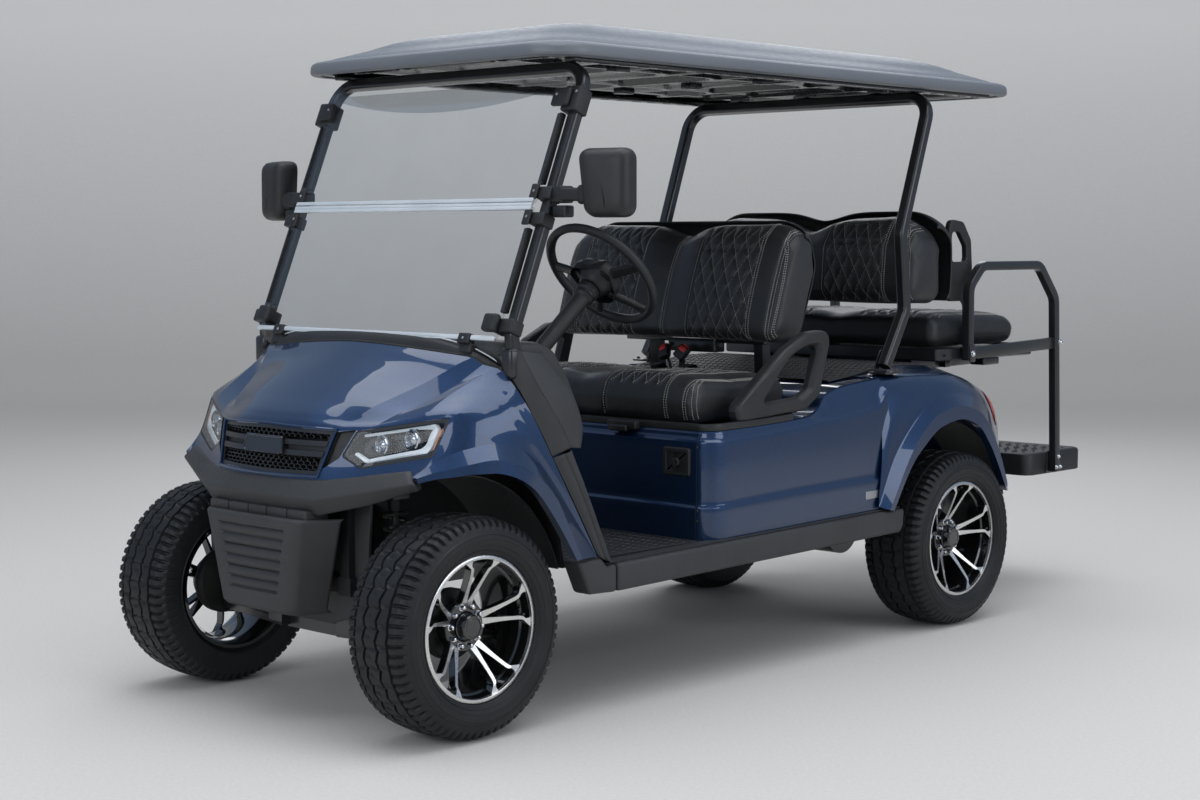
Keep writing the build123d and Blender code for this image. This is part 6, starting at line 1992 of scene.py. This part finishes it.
def build_cowl_band():
    """Black moulding between the painted cowl and the windshield, with a rolled rear edge."""
    front = net_surface(with_return(COWL_NET), [(0, 2, 24), (2, 3, 9), (3, 4, 10), (4, 5, 6)], 2)[-1]
    rear = catmull([at(*p) for p in COWL_REAR_EDGE], 200)
    rows = []
    for point in front:
        point = Vector(point)
        near = Vector(min(rear, key=lambda r: abs(r[0] - point.x * .515 / .522)))
        row = [point + Vector((0, -.0015, -.006)), point + Vector((0, -.0015, .0022)),
               point + Vector((0, .003, .0040))]
        row += [point.lerp(near, k / 4) + Vector((0, 0, .0045 * math.sin(math.pi * k / 4) + .001))
                for k in (1, 2, 3)]
        rows.append(row + [near, near + Vector((0, .004, -.003)), near + Vector((0, .003, -.012))])
    make("cowl_gasket", [sheet_form(mirrored_rows(rows))], DARK, sharp=30)


def screw(x, height, out, radius=.0045):
    profile = [(-.001, radius), (.0014, radius * .96), (.0024, radius * .7), (.0024, radius * .35),
               (.0010, radius * .3), (.0010, 0)]
    return lathe_form(profile, 14, on_pane(x, height, out), PANE_OUT, closed=False)


def build_clamps():
    """Clamps, knobs and hinge clips that hold the panes to the posts, and the strips between them."""
    top = PANE_TOP - .068
    entries = []
    for side in (-1, 1):
        def block(x_low, x_high, *rest):
            entries.append((pane_block(*sorted((side * x_low, side * x_high)), *rest), 0))

        def bolt(x, *rest):
            entries.append((screw(side * x, *rest), 1))
        # at the top: a body round the post and a cap plate in front of the pane
        block(.499, .556, top - .036, top + .036, -.046, .006, .005)
        block(.472, .534, top - .026, top + .026, .0055, .020, .005)
        bolt(.488, top + .006, .020)
        bolt(.545, top + .018, .006)
        for height in (PANE_SPLIT + .040, PANE_SPLIT - .034):
            block(.486, .513, height - .022, height + .022, .0055, .0135, .0035)
            block(.505, .555, height - .0176, height + .0176, -.042, .004, .004)
            bolt(.500, height, .0135, .0038)
        # at the bottom: a knob on the post and the two halves of a hinge clip
        block(.4630, .5130, -.010, .040, .0055, .030, .009, 4)
        block(.480, .556, -.004, .034, -.040, .006, .005)
        block(.378, .424, PANE_LOW - .016, PANE_LOW + .014, -.006, .021, .005)
        block(.384, .430, PANE_LOW - .040, PANE_LOW - .012, -.016, .012, .005)
        bolt(.400, PANE_LOW - .002, .021, .004)
        for low, high in ((.052, PANE_SPLIT - .060), (PANE_SPLIT + .068, top - .040)):
            block(.488, .5105, low, high, -.016, -.001, .003)
            block(.5105, .5125, low + .004, high - .004, -.012, .010, .0008)
    make("windshield_clamp_set", entries, [DARK, BRIGHT],
         replaces=["windshield_clamps"], sharp=30)


build_panes()
build_skirt()
build_cowl_band()
build_clamps()

# ================================================================ mirrors
MIRROR_CENTRE, MIRROR_HALF, MIRROR_TOE = (.722, .360, 1.440), (.072, .091), math.radians(15)
FAR_MIRROR_IN = .042                    # the mirror on the passenger's side is set this much closer in
# depth and inset of the housing's outline, from its back to the inside of its rim
MIRROR_LEVELS = [(-.036, .040), (-.035, .024), (-.030, .012), (-.020, .004), (-.004, .0005), (.016, 0),
                 (.027, .001), (.0335, .004), (.035, .0075), (.0335, .0105), (.026, .0115)]


def mirror_outline(inset):
    half_x, half_z = MIRROR_HALF[0] - inset, MIRROR_HALF[1] - inset
    points = round_rectangle(half_x, half_z, max(.006, .030 - inset * .4), 8, 6, 6)
    return [(x - .010 * (z / half_z) * (x < 0), z) for x, z in points]


def build_mirrors():
    cx, cy, cz = MIRROR_CENTRE
    rows = [[(cx + x, fy(cy + y), cz + z) for x, z in mirror_outline(inset)] for y, inset in MIRROR_LEVELS]
    n = len(rows[0])
    housing = with_tip(sheet_form(rows, close_columns=True), 0, n, (cx, fy(cy - .0375), cz))
    rows = [[(cx + x * k, fy(cy + .0265 - .0012 * k), cz + z * k) for x, z in mirror_outline(.0117)]
            for k in (1, .5)]
    glass = with_tip(sheet_form(rows, close_columns=True), n, n, (cx, fy(cy + .0268), cz))
    toe = (Matrix.Translation((cx, fy(cy), 0)) @ Matrix.Rotation(MIRROR_TOE, 4, "Z")
           @ Matrix.Translation((-cx, -fy(cy), 0)))
    arm_z = cz - .028
    post = POST_FOOT + POST_LEAN * (arm_z - POST_KNEE)
    path = [at(POST_X + .012, post - .004, arm_z), at(.575, post - .006, arm_z),
            at(.600, post - .010, arm_z - .001), at(.640, cy - .012, arm_z - .002),
            at(.700, cy - .018, arm_z - .004)]
    forms = [sweep_form([tuple(p) for p in path], square_section(.034, .036, .008, 3))]
    for (x_low, x_high), (y_low, y_high), (z_low, z_high), width in (((.548, .592), (-.024, .022),
                                                                      (-.024, .022), .006),
                                                                     ((.550, .602), (-.022, .014),
                                                                      (-.062, -.030), .006),
                                                                     ((.506, .556), (-.024, .022),
                                                                      (-.020, .020), .005)):
        forms.append(soft_block((x_low, fy(post + y_low), arm_z + z_low),
                                (x_high, fy(post + y_high), arm_z + z_high), width, 3))
    root = soft_block((.632, fy(cy - .030), arm_z - .028), (.690, fy(cy + .012), arm_z + .024), .012, 4)
    heads = [(moved(housing, toe), 0), (moved(glass, toe), 1), (root, 0)]
    folded = Matrix.Translation((FAR_MIRROR_IN, 0, 0))
    entries = paired([(form, 0) for form in forms])
    entries += heads + [(moved(mirrored(form), folded), mark) for form, mark in heads]
    make("mirror_housings", entries, [DARK, GLASS_DARK], replaces=["mirrors"], sharp=30)


build_mirrors()


# ================================================================ steering wheel and column
STEER_CENTRE = Vector(at(.280, .800, 1.190))
STEER_TILT = math.radians(40)
STEER_AXIS = Vector((0, math.cos(STEER_TILT), math.sin(STEER_TILT)))
STEER_UP = Vector((0, -math.sin(STEER_TILT), math.cos(STEER_TILT)))
STEER_RADIUS, STEER_TUBE = .176, .0140
# hub pad, broader at the top: its outline, and (height, scale) of its levels, crowned with a lower ridge line
HUB_PAD = [(-.078, .034), (-.052, .058), (.052, .058), (.078, .034), (.060, -.030), (.026, -.074),
           (-.026, -.074), (-.060, -.030)]
HUB_PAD_LEVELS = [(-.040, 1.02), (-.018, 1.06), (-.004, 1.00), (.004, .93), (.0095, .82), (.0085, .79),
                  (.0105, .75), (.0150, .62), (.0185, .42), (.0200, .20)]
# lathe profiles along the column: distance from the wheel's centre, radius
WHEEL_COWLING = [(-.062, .0), (-.062, .034), (-.058, .040), (-.046, .046), (-.030, .056), (-.014, .070),
                 (-.006, .066)]
COLUMN = [(-.064, .0), (-.064, .030), (-.066, .0335), (-.072, .0345), (-.084, .0345), (-.087, .0325),
          (-.089, .0300), (-.094, .0295), (-.098, .0320), (-.104, .0325), (-.108, .0300), (-.112, .0265),
          (-.130, .0245), (-.220, .0240), (-.340, .0240), (-.350, .0290), (-.362, .0350), (-.376, .0375),
          (-.380, .0345), (-.386, .0400), (-.396, .0430), (-.402, .0395), (-.410, .0470), (-.420, .0500),
          (-.428, .0460), (-.440, .0560), (-.470, .0620)]


def on_wheel(x, up, out):
    """Place given in the steering wheel's own directions: to the left, up, and towards the driver."""
    return STEER_CENTRE + Vector((x, 0, 0)) + STEER_UP * up + STEER_AXIS * out


def steering_ring():
    rows = []
    for k in range(96):
        a = 2 * math.pi * k / 96
        grip = .0012 * math.exp(-((math.degrees(a) - 200 + 360) % 120 - 60) ** 2 / 260)
        ring = []
        for j in range(16):
            b = 2 * math.pi * j / 16
            reach = STEER_RADIUS + (STEER_TUBE * .92 + grip) * math.cos(b)
            ring.append(on_wheel(reach * math.cos(a), reach * math.sin(a),
                                 (STEER_TUBE + grip * .6) * math.sin(b)))
        rows.append(ring)
    return sheet_form(rows, close_rows=True, close_columns=True)


def steering_spoke(start, end, wide, narrow):
    """Flat spoke between two places (to the left, up), that sinks towards the hub."""
    (x0, u0), (x1, u1) = start, end
    along = Vector((x1 - x0, u1 - u0, 0)).normalized()
    across = Vector((-along.y, along.x, 0))
    lines = []
    for t in np.linspace(0, 1, 12):
        centre = Vector((x0 + (x1 - x0) * t, u0 + (u1 - u0) * t, -.030 * (1 - t) ** 1.5))
        half = (wide + (narrow - wide) * t + .014 * max(0, t - .75) / .25) / 2
        ring = []
        for a in np.linspace(0, 2 * math.pi, 14, endpoint=False):
            side = math.copysign(abs(math.cos(a)) ** .6, math.cos(a)) * half
            lift = math.copysign(abs(math.sin(a)) ** .8, math.sin(a)) * .0085
            ring.append(on_wheel(*(centre + across * side + Vector((0, 0, lift)))))
        lines.append(ring)
    return sheet_form(lines, close_columns=True)


def build_steering_wheel():
    # two broad spokes to the sides, and a pair below
    spokes = [steering_spoke((side * x0, u0), (side * x1, u1), wide, narrow)
              for x0, u0, x1, u1, wide, narrow in ((.045, .018, .176, .030, .040, .026),
                                                   (.022, -.050, .098, -.146, .030, .022))
              for side in (1, -1)]
    outline = dense(soft_outline(HUB_PAD, .022, 5), .008)
    lines = [[on_wheel(x * k, u * k - .002, out) for x, u in outline] for out, k in HUB_PAD_LEVELS]
    n = len(outline)
    pad = with_tip(sheet_form(lines, close_columns=True), (len(lines) - 1) * n, n, on_wheel(0, -.002, .0204))
    cowling = lathe_form(WHEEL_COWLING, 40, STEER_CENTRE, STEER_AXIS, closed=False)
    make("steering_wheel_rim", [steering_ring(), *spokes, pad, cowling], DARK, body="steering_wheel",
         replaces=["steering_wheel"], sharp=32)


def build_column():
    cover = lathe_form(COLUMN, 36, STEER_CENTRE, STEER_AXIS, closed=False)
    make("steering_column_cover", [cover], DARK, replaces=["steering_column"], sharp=32)


build_steering_wheel()
build_column()

# ================================================================ dashboard
DASH_SECTION = [(.170, .984), (.205, 1.020), (.288, 1.019), (.342, .998), (.398, .920), (.438, .840),
                (.462, .768), (.448, .733), (.330, .733), (.262, .900)]
GAUGE_X = .28


def dashboard_point(x, y, z):
    """Place on the dash, raised over the instruments and sunk where its shelf lies."""
    lift = .003 * math.exp(-((x - GAUGE_X) / .13) ** 4) * float(soft_step(z, .99, 1.03))
    shelf = .035 * float(soft_step(z, .86, .89)) * float(soft_step(-z, -.95, -.92))
    shelf = shelf * float(soft_step(-abs(x), -.47, -.45)) * float(soft_step(abs(x - GAUGE_X), .10, .12))
    return x, fy(y) - shelf * (y > .36), z + lift


def build_dashboard():
    """Moulded dash with a cowl over the instruments, a shelf and bulging ends."""
    loop = even_loop(soft_outline(DASH_SECTION, .026, 4), 90)
    centre = loop.mean(axis=0)
    half = .546
    rows = []
    for x, inset in end_stations(half, .030, 40, 8):
        around = centre + (loop - centre) * (1 - inset / .16)
        rows.append([dashboard_point(x, y, z) for y, z in around])
    middle = np.array(rows[-1])[:, 1:].mean(axis=0)
    rows = mirrored_rows(domed(rows, middle, half, .006, 5))
    entries = [(with_ends(sheet_form(rows, close_columns=True), len(loop)), 0)]
    out = Vector((0, .84, .54)).normalized()
    gauge = [(0, .044), (.006, .044), (.008, .042), (.006, .039), (.002, .038), (.002, 0)]
    entries.append((lathe_form(gauge, 36, Vector(at(GAUGE_X, .366, .975)), out, closed=False), 1))
    switch = soft_block((-.012, -.008, -.002), (.012, .008, .008), .003, 2)
    for x in (.12, .16, .40, .44):
        turn = Matrix.Translation(Vector(at(x, .378, .955))) @ out.to_track_quat("Z",
                                                                                 "Y").to_matrix().to_4x4()
        entries.append((moved(switch, turn), 1))
    make("dashboard_cover", entries, [TRIM, DARK], replaces=["dashboard"], sharp=32)


build_dashboard()

# ================================================================ hip restraints
RESTRAINT_LINE = [(1.078, .752), (1.405, .767), (1.478, .812), (1.526, .980), (1.516, 1.008), (1.480, 1.012),
                  (1.405, 1.006), (1.300, .958), (1.070, .795)]
RESTRAINT_HOLE = [(1.184, .801), (1.378, .809), (1.428, .835), (1.472, .951), (1.455, .967), (1.400, .961),
                  (1.340, .935)]
RESTRAINT_X, RESTRAINT_HALF = .556, .0205


def matched_loops(outer, inner):
    """Two closed outlines with their points paired by direction from the hole's middle."""
    loops = [even_loop(soft_outline(outline, radius, 6), 400)
             for outline, radius in ((outer, .022), (inner, .020))]
    centre = loops[1].mean(axis=0)
    wanted = np.linspace(-math.pi, math.pi, 120, endpoint=False)
    out = []
    for loop in loops:
        angles = np.arctan2(*(loop - centre).T[::-1])
        order = np.argsort(angles)
        angles, ordered = angles[order], loop[order]
        angles = np.concatenate([angles - 2 * math.pi, angles, angles + 2 * math.pi])
        ordered = np.concatenate([ordered] * 3)
        out.append(np.stack([np.interp(wanted, angles, ordered[:, k]) for k in range(2)], axis=1))
    return out


def build_restraints():
    """Hoop beside each seat, rounded on its outside."""
    outer, inner = matched_loops(RESTRAINT_LINE, RESTRAINT_HOLE)
    across = inner - outer
    across = across / np.linalg.norm(across, axis=1, keepdims=True)
    face, back = RESTRAINT_X + RESTRAINT_HALF, RESTRAINT_X - RESTRAINT_HALF
    # the section, as distances from the outline and then from the hole
    from_outline = [(.004, back), (0, back + .006), (0, face - .018), (.0020, face - .011),
                    (.0065, face - .0050), (.0120, face - .0016), (.0170, face)]
    from_hole = [(.0150, face - .0015), (.0085, face - .0060), (.0030, face - .0135), (0, face - .019),
                 (0, back + .006), (.004, back)]
    rows = [[(x, fy(y), z) for y, z in outer + across * distance] for distance, x in from_outline]
    rows += [[(x, fy(y), z) for y, z in inner - across * distance] for distance, x in from_hole]
    form = sheet_form(rows, close_rows=True, close_columns=True)
    make("hip_restraint_loops", both(form), DARK, replaces=["hip_restraints"], sharp=20)


build_restraints()

# ================================================================ rails at the back
# side views: y from the rear axle, z; of the front shell, y from the front axle
HANDLE_LINE = [(.125, 1.080), (.125, 1.300), (.135, 1.362), (.215, 1.352), (.262, 1.290), (.272, 1.180),
               (.272, .9185), (.240, .9185), (.240, 1.080)]
HANDLE_HOLE = [(.145, 1.215), (.145, 1.318), (.190, 1.318), (.232, 1.268), (.236, 1.215)]
REAR_SHELL = [(.100, 1.085), (.121, 1.120), (.123, 1.305), (.100, 1.358), (.064, 1.383), (.040, 1.384)]
FRONT_SHELL = [(1.512, .985), (1.590, 1.195), (1.580, 1.300), (1.566, 1.338), (1.545, 1.349)]


def rear_y(back):
    """y of a place given from the rear axle."""
    return fy(WHEELBASE + back)


def rear_prism(outline, x_low, x_high, width):
    """Side view of (y from the rear axle, z), carried along x, with rounded edges."""
    return bevelled(prism_form([(rear_y(back), z) for back, z in outline], "x", x_low, x_high), width, 2)


def bolt_form(centre, direction, radius=.0085):
    """Domed bolt with a washer."""
    profile = [(0, 0), (0, radius * 1.35), (.0016, radius * 1.3), (.0018, radius), (.0052, radius * .92),
               (.0078, radius * .62), (.0086, radius * .3), (.0086, 0)]
    return lathe_form(profile, 18, centre, direction, closed=False)


def build_grab_rails():
    line = [(.205, .877), (.205, 1.130), (.280, 1.200), (.650, 1.200), (.760, 1.080), (.785, .445)]
    entries = []
    for side in (-1, 1):
        x = side * .495
        path = [tuple(p) for p in rounded([(x, rear_y(back), z) for back, z in line], .062, steps=9)]
        entries.append((sweep_form(path, square_section(.0315, .0315, .006, 3), up=(1, 0, 0)), 0))
        for back, low in (line[0], line[-1]):
            cap = soft_block((x - .0125, rear_y(back) - .0125, low - .001),
                             (x + .0125, rear_y(back) + .0125, low + .004), .002, 2)
            entries.append((cap, 0))
        # the bar between the rail's legs, and a strap at the foot of each
        for outline, ends, width in (
                (((.200, .880), (.780, .896), (.780, .938), (.200, .920)), (-.008, .008), .0025),
                (((.190, .872), (.222, .872), (.222, .930), (.190, .930)), (.0155, .0205), .002),
                (((.752, .440), (.812, .440), (.806, .520), (.764, .520)), (-.021, -.016), .002)):
            entries.append((rear_prism(outline, *sorted(x + side * end for end in ends), width), 0))
        for back, z, out, radius in ((.2055, .900, .0205, .0085), (.782, .918, .0160, .0085),
                                     (.770, .462, .0158, .0058), (.796, .462, .0158, .0058),
                                     (.783, .500, .0158, .0058)):
            entries.append((bolt_form((x + side * out, rear_y(back), z), (side, 0, 0), radius), 1))
    make("grab_rail_tubes", entries, [STEEL, CHROME], replaces=["grab_rails"], sharp=30)


def build_handles():
    outer = [(rear_y(back), z) for back, z in soft_outline(HANDLE_LINE, .030, 6)]
    hole = [(rear_y(back), z) for back, z in soft_outline(HANDLE_HOLE, .020, 6)]
    hoops = make("seat_handle_hoops", both(prism_form(outer, "x", .444, .466)), DARK,
                 replaces=["seat_handles"], sharp=30)
    cut(hoops, both(prism_form(hole, "x", .40, .50)))
    change = hoops.modifiers.new("edges", "BEVEL")
    change.width, change.segments, change.limit_method = .0045, 3, "ANGLE"
    change.angle_limit = math.radians(40)
    evaluated(hoops)
    hoops.data.set_sharp_from_angle(angle=math.radians(35))


def build_back_shells():
    """Moulded shells behind both backrests. The rear one has a rim that stands round its pad."""
    curve = catmull([(0, rear_y(back), z) for back, z in REAR_SHELL], 30)
    rows = []
    for x in np.linspace(-.494, .494, 80):
        share = abs(x) / .494
        drop = .055 * max(0, (share - .72) / .28) ** 2
        dip = .030 * math.exp(-(x / .10) ** 2)
        pull = .028 * max(0, (share - .94) / .06) ** 2
        rows.append([(x, p[1] - pull, p[2] - (drop + dip) * float(soft_step(p[2], 1.22, 1.39)))
                     for p in curve])
    shell = make("rear_back_shell", [sheet_form(rows)], DARK,
                 replaces=["backrest_shell"], sharp=0)
    thickened(shell, .006)
    curve = catmull([(0, fy(y), z) for y, z in FRONT_SHELL], 24)
    rows = []
    for x in np.linspace(-.470, .470, 70):
        share = abs(x) / .47
        drop = .050 * max(0, (share - .74) / .26) ** 2
        pull = .022 * max(0, (share - .93) / .07) ** 2
        rows.append([(x, p[1] + .004 - pull, p[2] - drop * float(soft_step(p[2], 1.18, 1.34)))
                     for p in curve])
    thickened(make("front_back_shell", [sheet_form(rows)], DARK, sharp=0), .004)


def inset_rows(outline, middle_y, half_x, half_y, levels):
    """Loops of an outline round the origin, set in by each level's (inset, height)."""
    return [[(x * (half_x - inset) / half_x, middle_y + y * (half_y - inset) / half_y, z) for x, y in outline]
            for inset, z in levels]


def build_tray():
    low, high = .877, .918
    half, front, rear = .470, .055, .660
    deep = (rear - front) / 2
    outline = round_rectangle(half, deep, .012, 4, 1, 1)
    levels = ((.006, high - .008), (.006, high), (.0, high), (.0, low + .004), (.004, low), (.050, low))
    verts, faces = stacked_form(inset_rows(outline, rear_y((front + rear) / 2), half, deep, levels))
    entries = [((verts, faces + [tuple(range(len(outline)))[::-1]]), 0)]
    arm = ((.120, low - .001), (.560, low - .001), (.540, low - .034), (.150, low - .040))
    entries += [(rear_prism(arm, x - .016, x + .016, .004), 0) for x in (-.30, .30)]
    entries.append((soft_block((-.34, rear_y(.300), low - .036), (.34, rear_y(.336), low - .006), .004, 2),
                    0))
    for side in (-1, 1):
        near, far = sorted((side * .40, side * .46))
        latch = soft_block((near, rear_y(.36), low - .026), (far, rear_y(.46), low + .001), .006, 3)
        entries.append((latch, 0))
        for back in (.10, .34, .60):
            entries.append((bolt_form((side * half, rear_y(back), (low + high) / 2), (side, 0, 0), .005), 1))
    make("rear_seat_tray", entries, [STEEL, DARK], replaces=["rear_seat_frame"], sharp=30)


def build_footplate():
    low, high, half = .436, .516, .474
    front, rear = fy(2.840), fy(3.215)
    deep = (rear - front) / 2
    levels = ((.012, low + .002), (.010, low), (.003, low), (.0, low + .003), (.0, high - .010),
              (.003, high - .003), (.009, high), (.020, high), (.026, high - .003), (.034, high - .003))
    rows = inset_rows(round_rectangle(half, deep, .040, 8, 6, 24), (front + rear) / 2, half, deep, levels)
    entries = [(stacked_form(rows), 0)]
    for row in range(9):
        for column in range(23):
            x = -.42 + column * .0382 + (row % 2) * .019
            if abs(x) <= .43:
                turn = 45 if (row + column) % 2 else -45
                entries.append((stud_form((x, front + .052 + row * .0335, high - .0032), turn, .0125, .0038,
                                          .0028), 1))
    make("footplate_step", entries, [DARK, MAT], replaces=["footplate"], sharp=30)


def stud_form(place, degrees, long, wide, tall):
    """Low lozenge tread stud, turned by some degrees, open below."""
    ring = [(long, 0), (long * .55, wide), (-long * .55, wide), (-long, 0), (-long * .55, -wide),
            (long * .55, -wide)]
    verts = [(x, y, 0) for x, y in ring] + [(x * .78, y * .62, tall) for x, y in ring]
    faces = [(j, (j + 1) % 6, 6 + (j + 1) % 6, 6 + j) for j in range(6)] + [tuple(range(6, 12))]
    return moved((verts, faces), Matrix.Translation(place) @ Matrix.Rotation(math.radians(degrees), 4, "Z"))


build_grab_rails()
build_handles()
build_back_shells()
build_tray()
build_footplate()

# ================================================================ rubber mats
STUD_PITCH = .0234
# y and z of the deck behind the front seat
DECK = [(1.670, .8365), (1.700, .8400), (1.800, .8500), (1.835, .8545), (1.885, .8605), (1.955, .8665),
        (2.055, .8705), (2.180, .8700)]


def build_mats():
    """Studded mats on the floor and, behind the front seat, on the deck."""
    half, front, rear, top = .536, .394, .944, .4125
    entries = [soft_block((-half, fy(front), top - .0045), (half, fy(rear), top), .0015, 1)]
    for row in range(24):
        y = fy(front) + .016 + row * .0228
        for column in range(46):
            x = -half + .016 + column * STUD_PITCH + (row % 2) * STUD_PITCH / 2
            if abs(x) <= half - .012 and y <= fy(rear) - .012:
                entries.append(stud_form((x, y, top - .0003), 50 if row % 2 else -50, .0092, .0030, .0022))
    entries.append(sheet_form([[(x, fy(y), z + .0008 + lift) for x, lift in
                                ((-.455, 0), (-.453, .0045), (.453, .0045), (.455, 0))] for y, z in DECK]))
    for row in range(22):
        y = 1.690 + row * .0222
        z = float(np.interp(y, *zip(*DECK))) + .0053
        for column in range(39):
            x = -.442 + column * STUD_PITCH + (row % 2) * STUD_PITCH / 2
            if abs(x) <= .444:
                entries.append(stud_form((x, fy(y), z), 50 if row % 2 else -50, .0092, .0030, .0020))
    make("mat_sheets", entries, MAT, replaces=["rubber_mats"], sharp=30)


build_mats()

# ================================================================ buckles, shocks and strut feet
def build_buckles():
    entries, straps = [], []
    buckle = [(soft_block((-.020, -.012, -.022), (.020, .012, .026), .006, 3), 1),
              (soft_block((-.013, -.0145, .004), (.013, -.010, .020), .002, 2), 2),
              (soft_block((-.012, -.009, .0245), (.012, .009, .029), .002, 2), 2)]
    for x, lean, turn in ((.030, .25, .5), (-.015, -.20, -.4)):
        base = Vector(at(x, 1.445, .884))
        stalk = [base + Vector((0, 0, -.030)), base + Vector((lean * .02, -.006, .006)),
                 base + Vector((lean * .05, -.016, .030))]
        entries.append((sweep_form([tuple(p) for p in catmull(stalk, 8)],
                                   square_section(.020, .006, .002, 1)), 0))
        place = Matrix.Translation(base + Vector((lean * .06, -.020, .040)))
        place = place @ Matrix.Rotation(turn, 4, "Y") @ Matrix.Rotation(-.5, 4, "X")
        entries += [(moved(form, place), mark) for form, mark in buckle]
    for x in (.075, -.060):
        path = [at(x, 1.452, .872), at(x + .004, 1.430, .888), at(x + .010, 1.395, .885),
                at(x + .016, 1.370, .884)]
        straps.append((sweep_form([tuple(p) for p in catmull(path, 16)],
                                  square_section(.040, .0025, .0008, 1)), 0))
    make("seat_belt_buckles", entries + straps, [BELT, DARK, RED_BUTTON], sharp=30)


COIL_STEPS = 26                         # points on one turn of a spring


def coil_form(low, high, radius, wire, turns):
    axis = (high - low).normalized()
    side = axis.orthogonal().normalized()
    other = axis.cross(side)
    path = []
    for k in range(int(turns * COIL_STEPS) + 1):
        a = 2 * math.pi * k / COIL_STEPS
        path.append(low + (high - low) * (k / (turns * COIL_STEPS))
                    + (side * math.cos(a) + other * math.sin(a)) * radius)
    return sweep_form([tuple(p) for p in path], circle_section(wire, 6), up=tuple(axis))


def build_shocks():
    entries = []
    for side in (-1, 1):
        for foot, head in (((.330, -.020, .240), (.300, -.020, .602)),
                           ((.300, 2.260, .322), (.300, 2.260, .604))):
            foot, head = (Vector(at(side * x, y, z)) for x, y, z in (foot, head))
            axis, length = (head - foot).normalized(), (head - foot).length
            tube = [(.0, .0), (.0, .014), (.022, .014), (.026, .021), (length * .50, .021),
                    (length * .51, .0105), (length - .03, .0105), (length - .028, .018), (length, .018),
                    (length, 0)]
            entries.append((lathe_form(tube, 24, foot, axis, closed=False), 0))
            for place in (length * .24, length * .90):
                seat = [(place - .004, .020), (place - .004, .036), (place, .038), (place + .003, .036),
                        (place + .003, .020)]
                entries.append((lathe_form(seat, 26, foot, axis, closed=False), 0))
            entries.append((coil_form(foot + axis * length * .26, foot + axis * length * .885, .030, .0048,
                                      6.5), 1))
    make("coil_shocks", entries, [IRON, STEEL], replaces=["shock_absorbers"], sharp=35)


def build_strut_feet():
    """Wedge, plate and bolts at the foot of each rear strut, and a shoe at each front post."""
    wedge = [(fy(y), z) for y, z in ((1.850, .8480), (1.935, .8650), (1.925, .900), (1.900, .935),
                                     (1.888, .930), (1.868, .895))]
    entries = []
    for side in (-1, 1):
        entries.append(bevelled(prism_form(wedge, "x", *sorted((side * .494, side * .498))), .0012, 1))
        near, far = sorted((side * .486, side * .556))
        entries.append(soft_block((near, fy(1.842), .8560), (far, fy(1.930), .8640), .003, 2))
        entries += [bolt_form(at(side * .545, y, .8640), (0, 0, 1), .006) for y in (1.862, 1.912)]
        x = side * .531
        entries.append(soft_block((x - .023, fy(.168), .925), (x + .023, fy(.218), 1.005), .010, 3))
    make("strut_feet", entries, STEEL, sharp=30)


def build_seat_back_bracket():
    entries = [soft_block((-.085, fy(1.505), .925), (.115, fy(1.560), .970), .004, 2)]
    entries += [bolt_form((x, fy(1.505), .948), (0, -1, 0), .0055) for x in (-.070, .100)]
    entries.append(soft_block((-.30, fy(1.535), .955), (.30, fy(1.560), .985), .004, 2))
    make("seat_back_bracket", entries, STEEL, sharp=30)


build_buckles()
build_shocks()
build_strut_feet()
build_seat_back_bracket()


# ================================================================ finish
def dress_nodes():
    """Gives the pieces of the part itself that stay in view the finish of their slot."""
    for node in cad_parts.values():
        names = [slot.material.name.split(".")[0] if slot.material else "" for slot in node.material_slots]
        finish = next((SLOT_FINISH[name] for name in names if name in SLOT_FINISH), None)
        if finish:
            dress(node, finish)


dress_nodes()
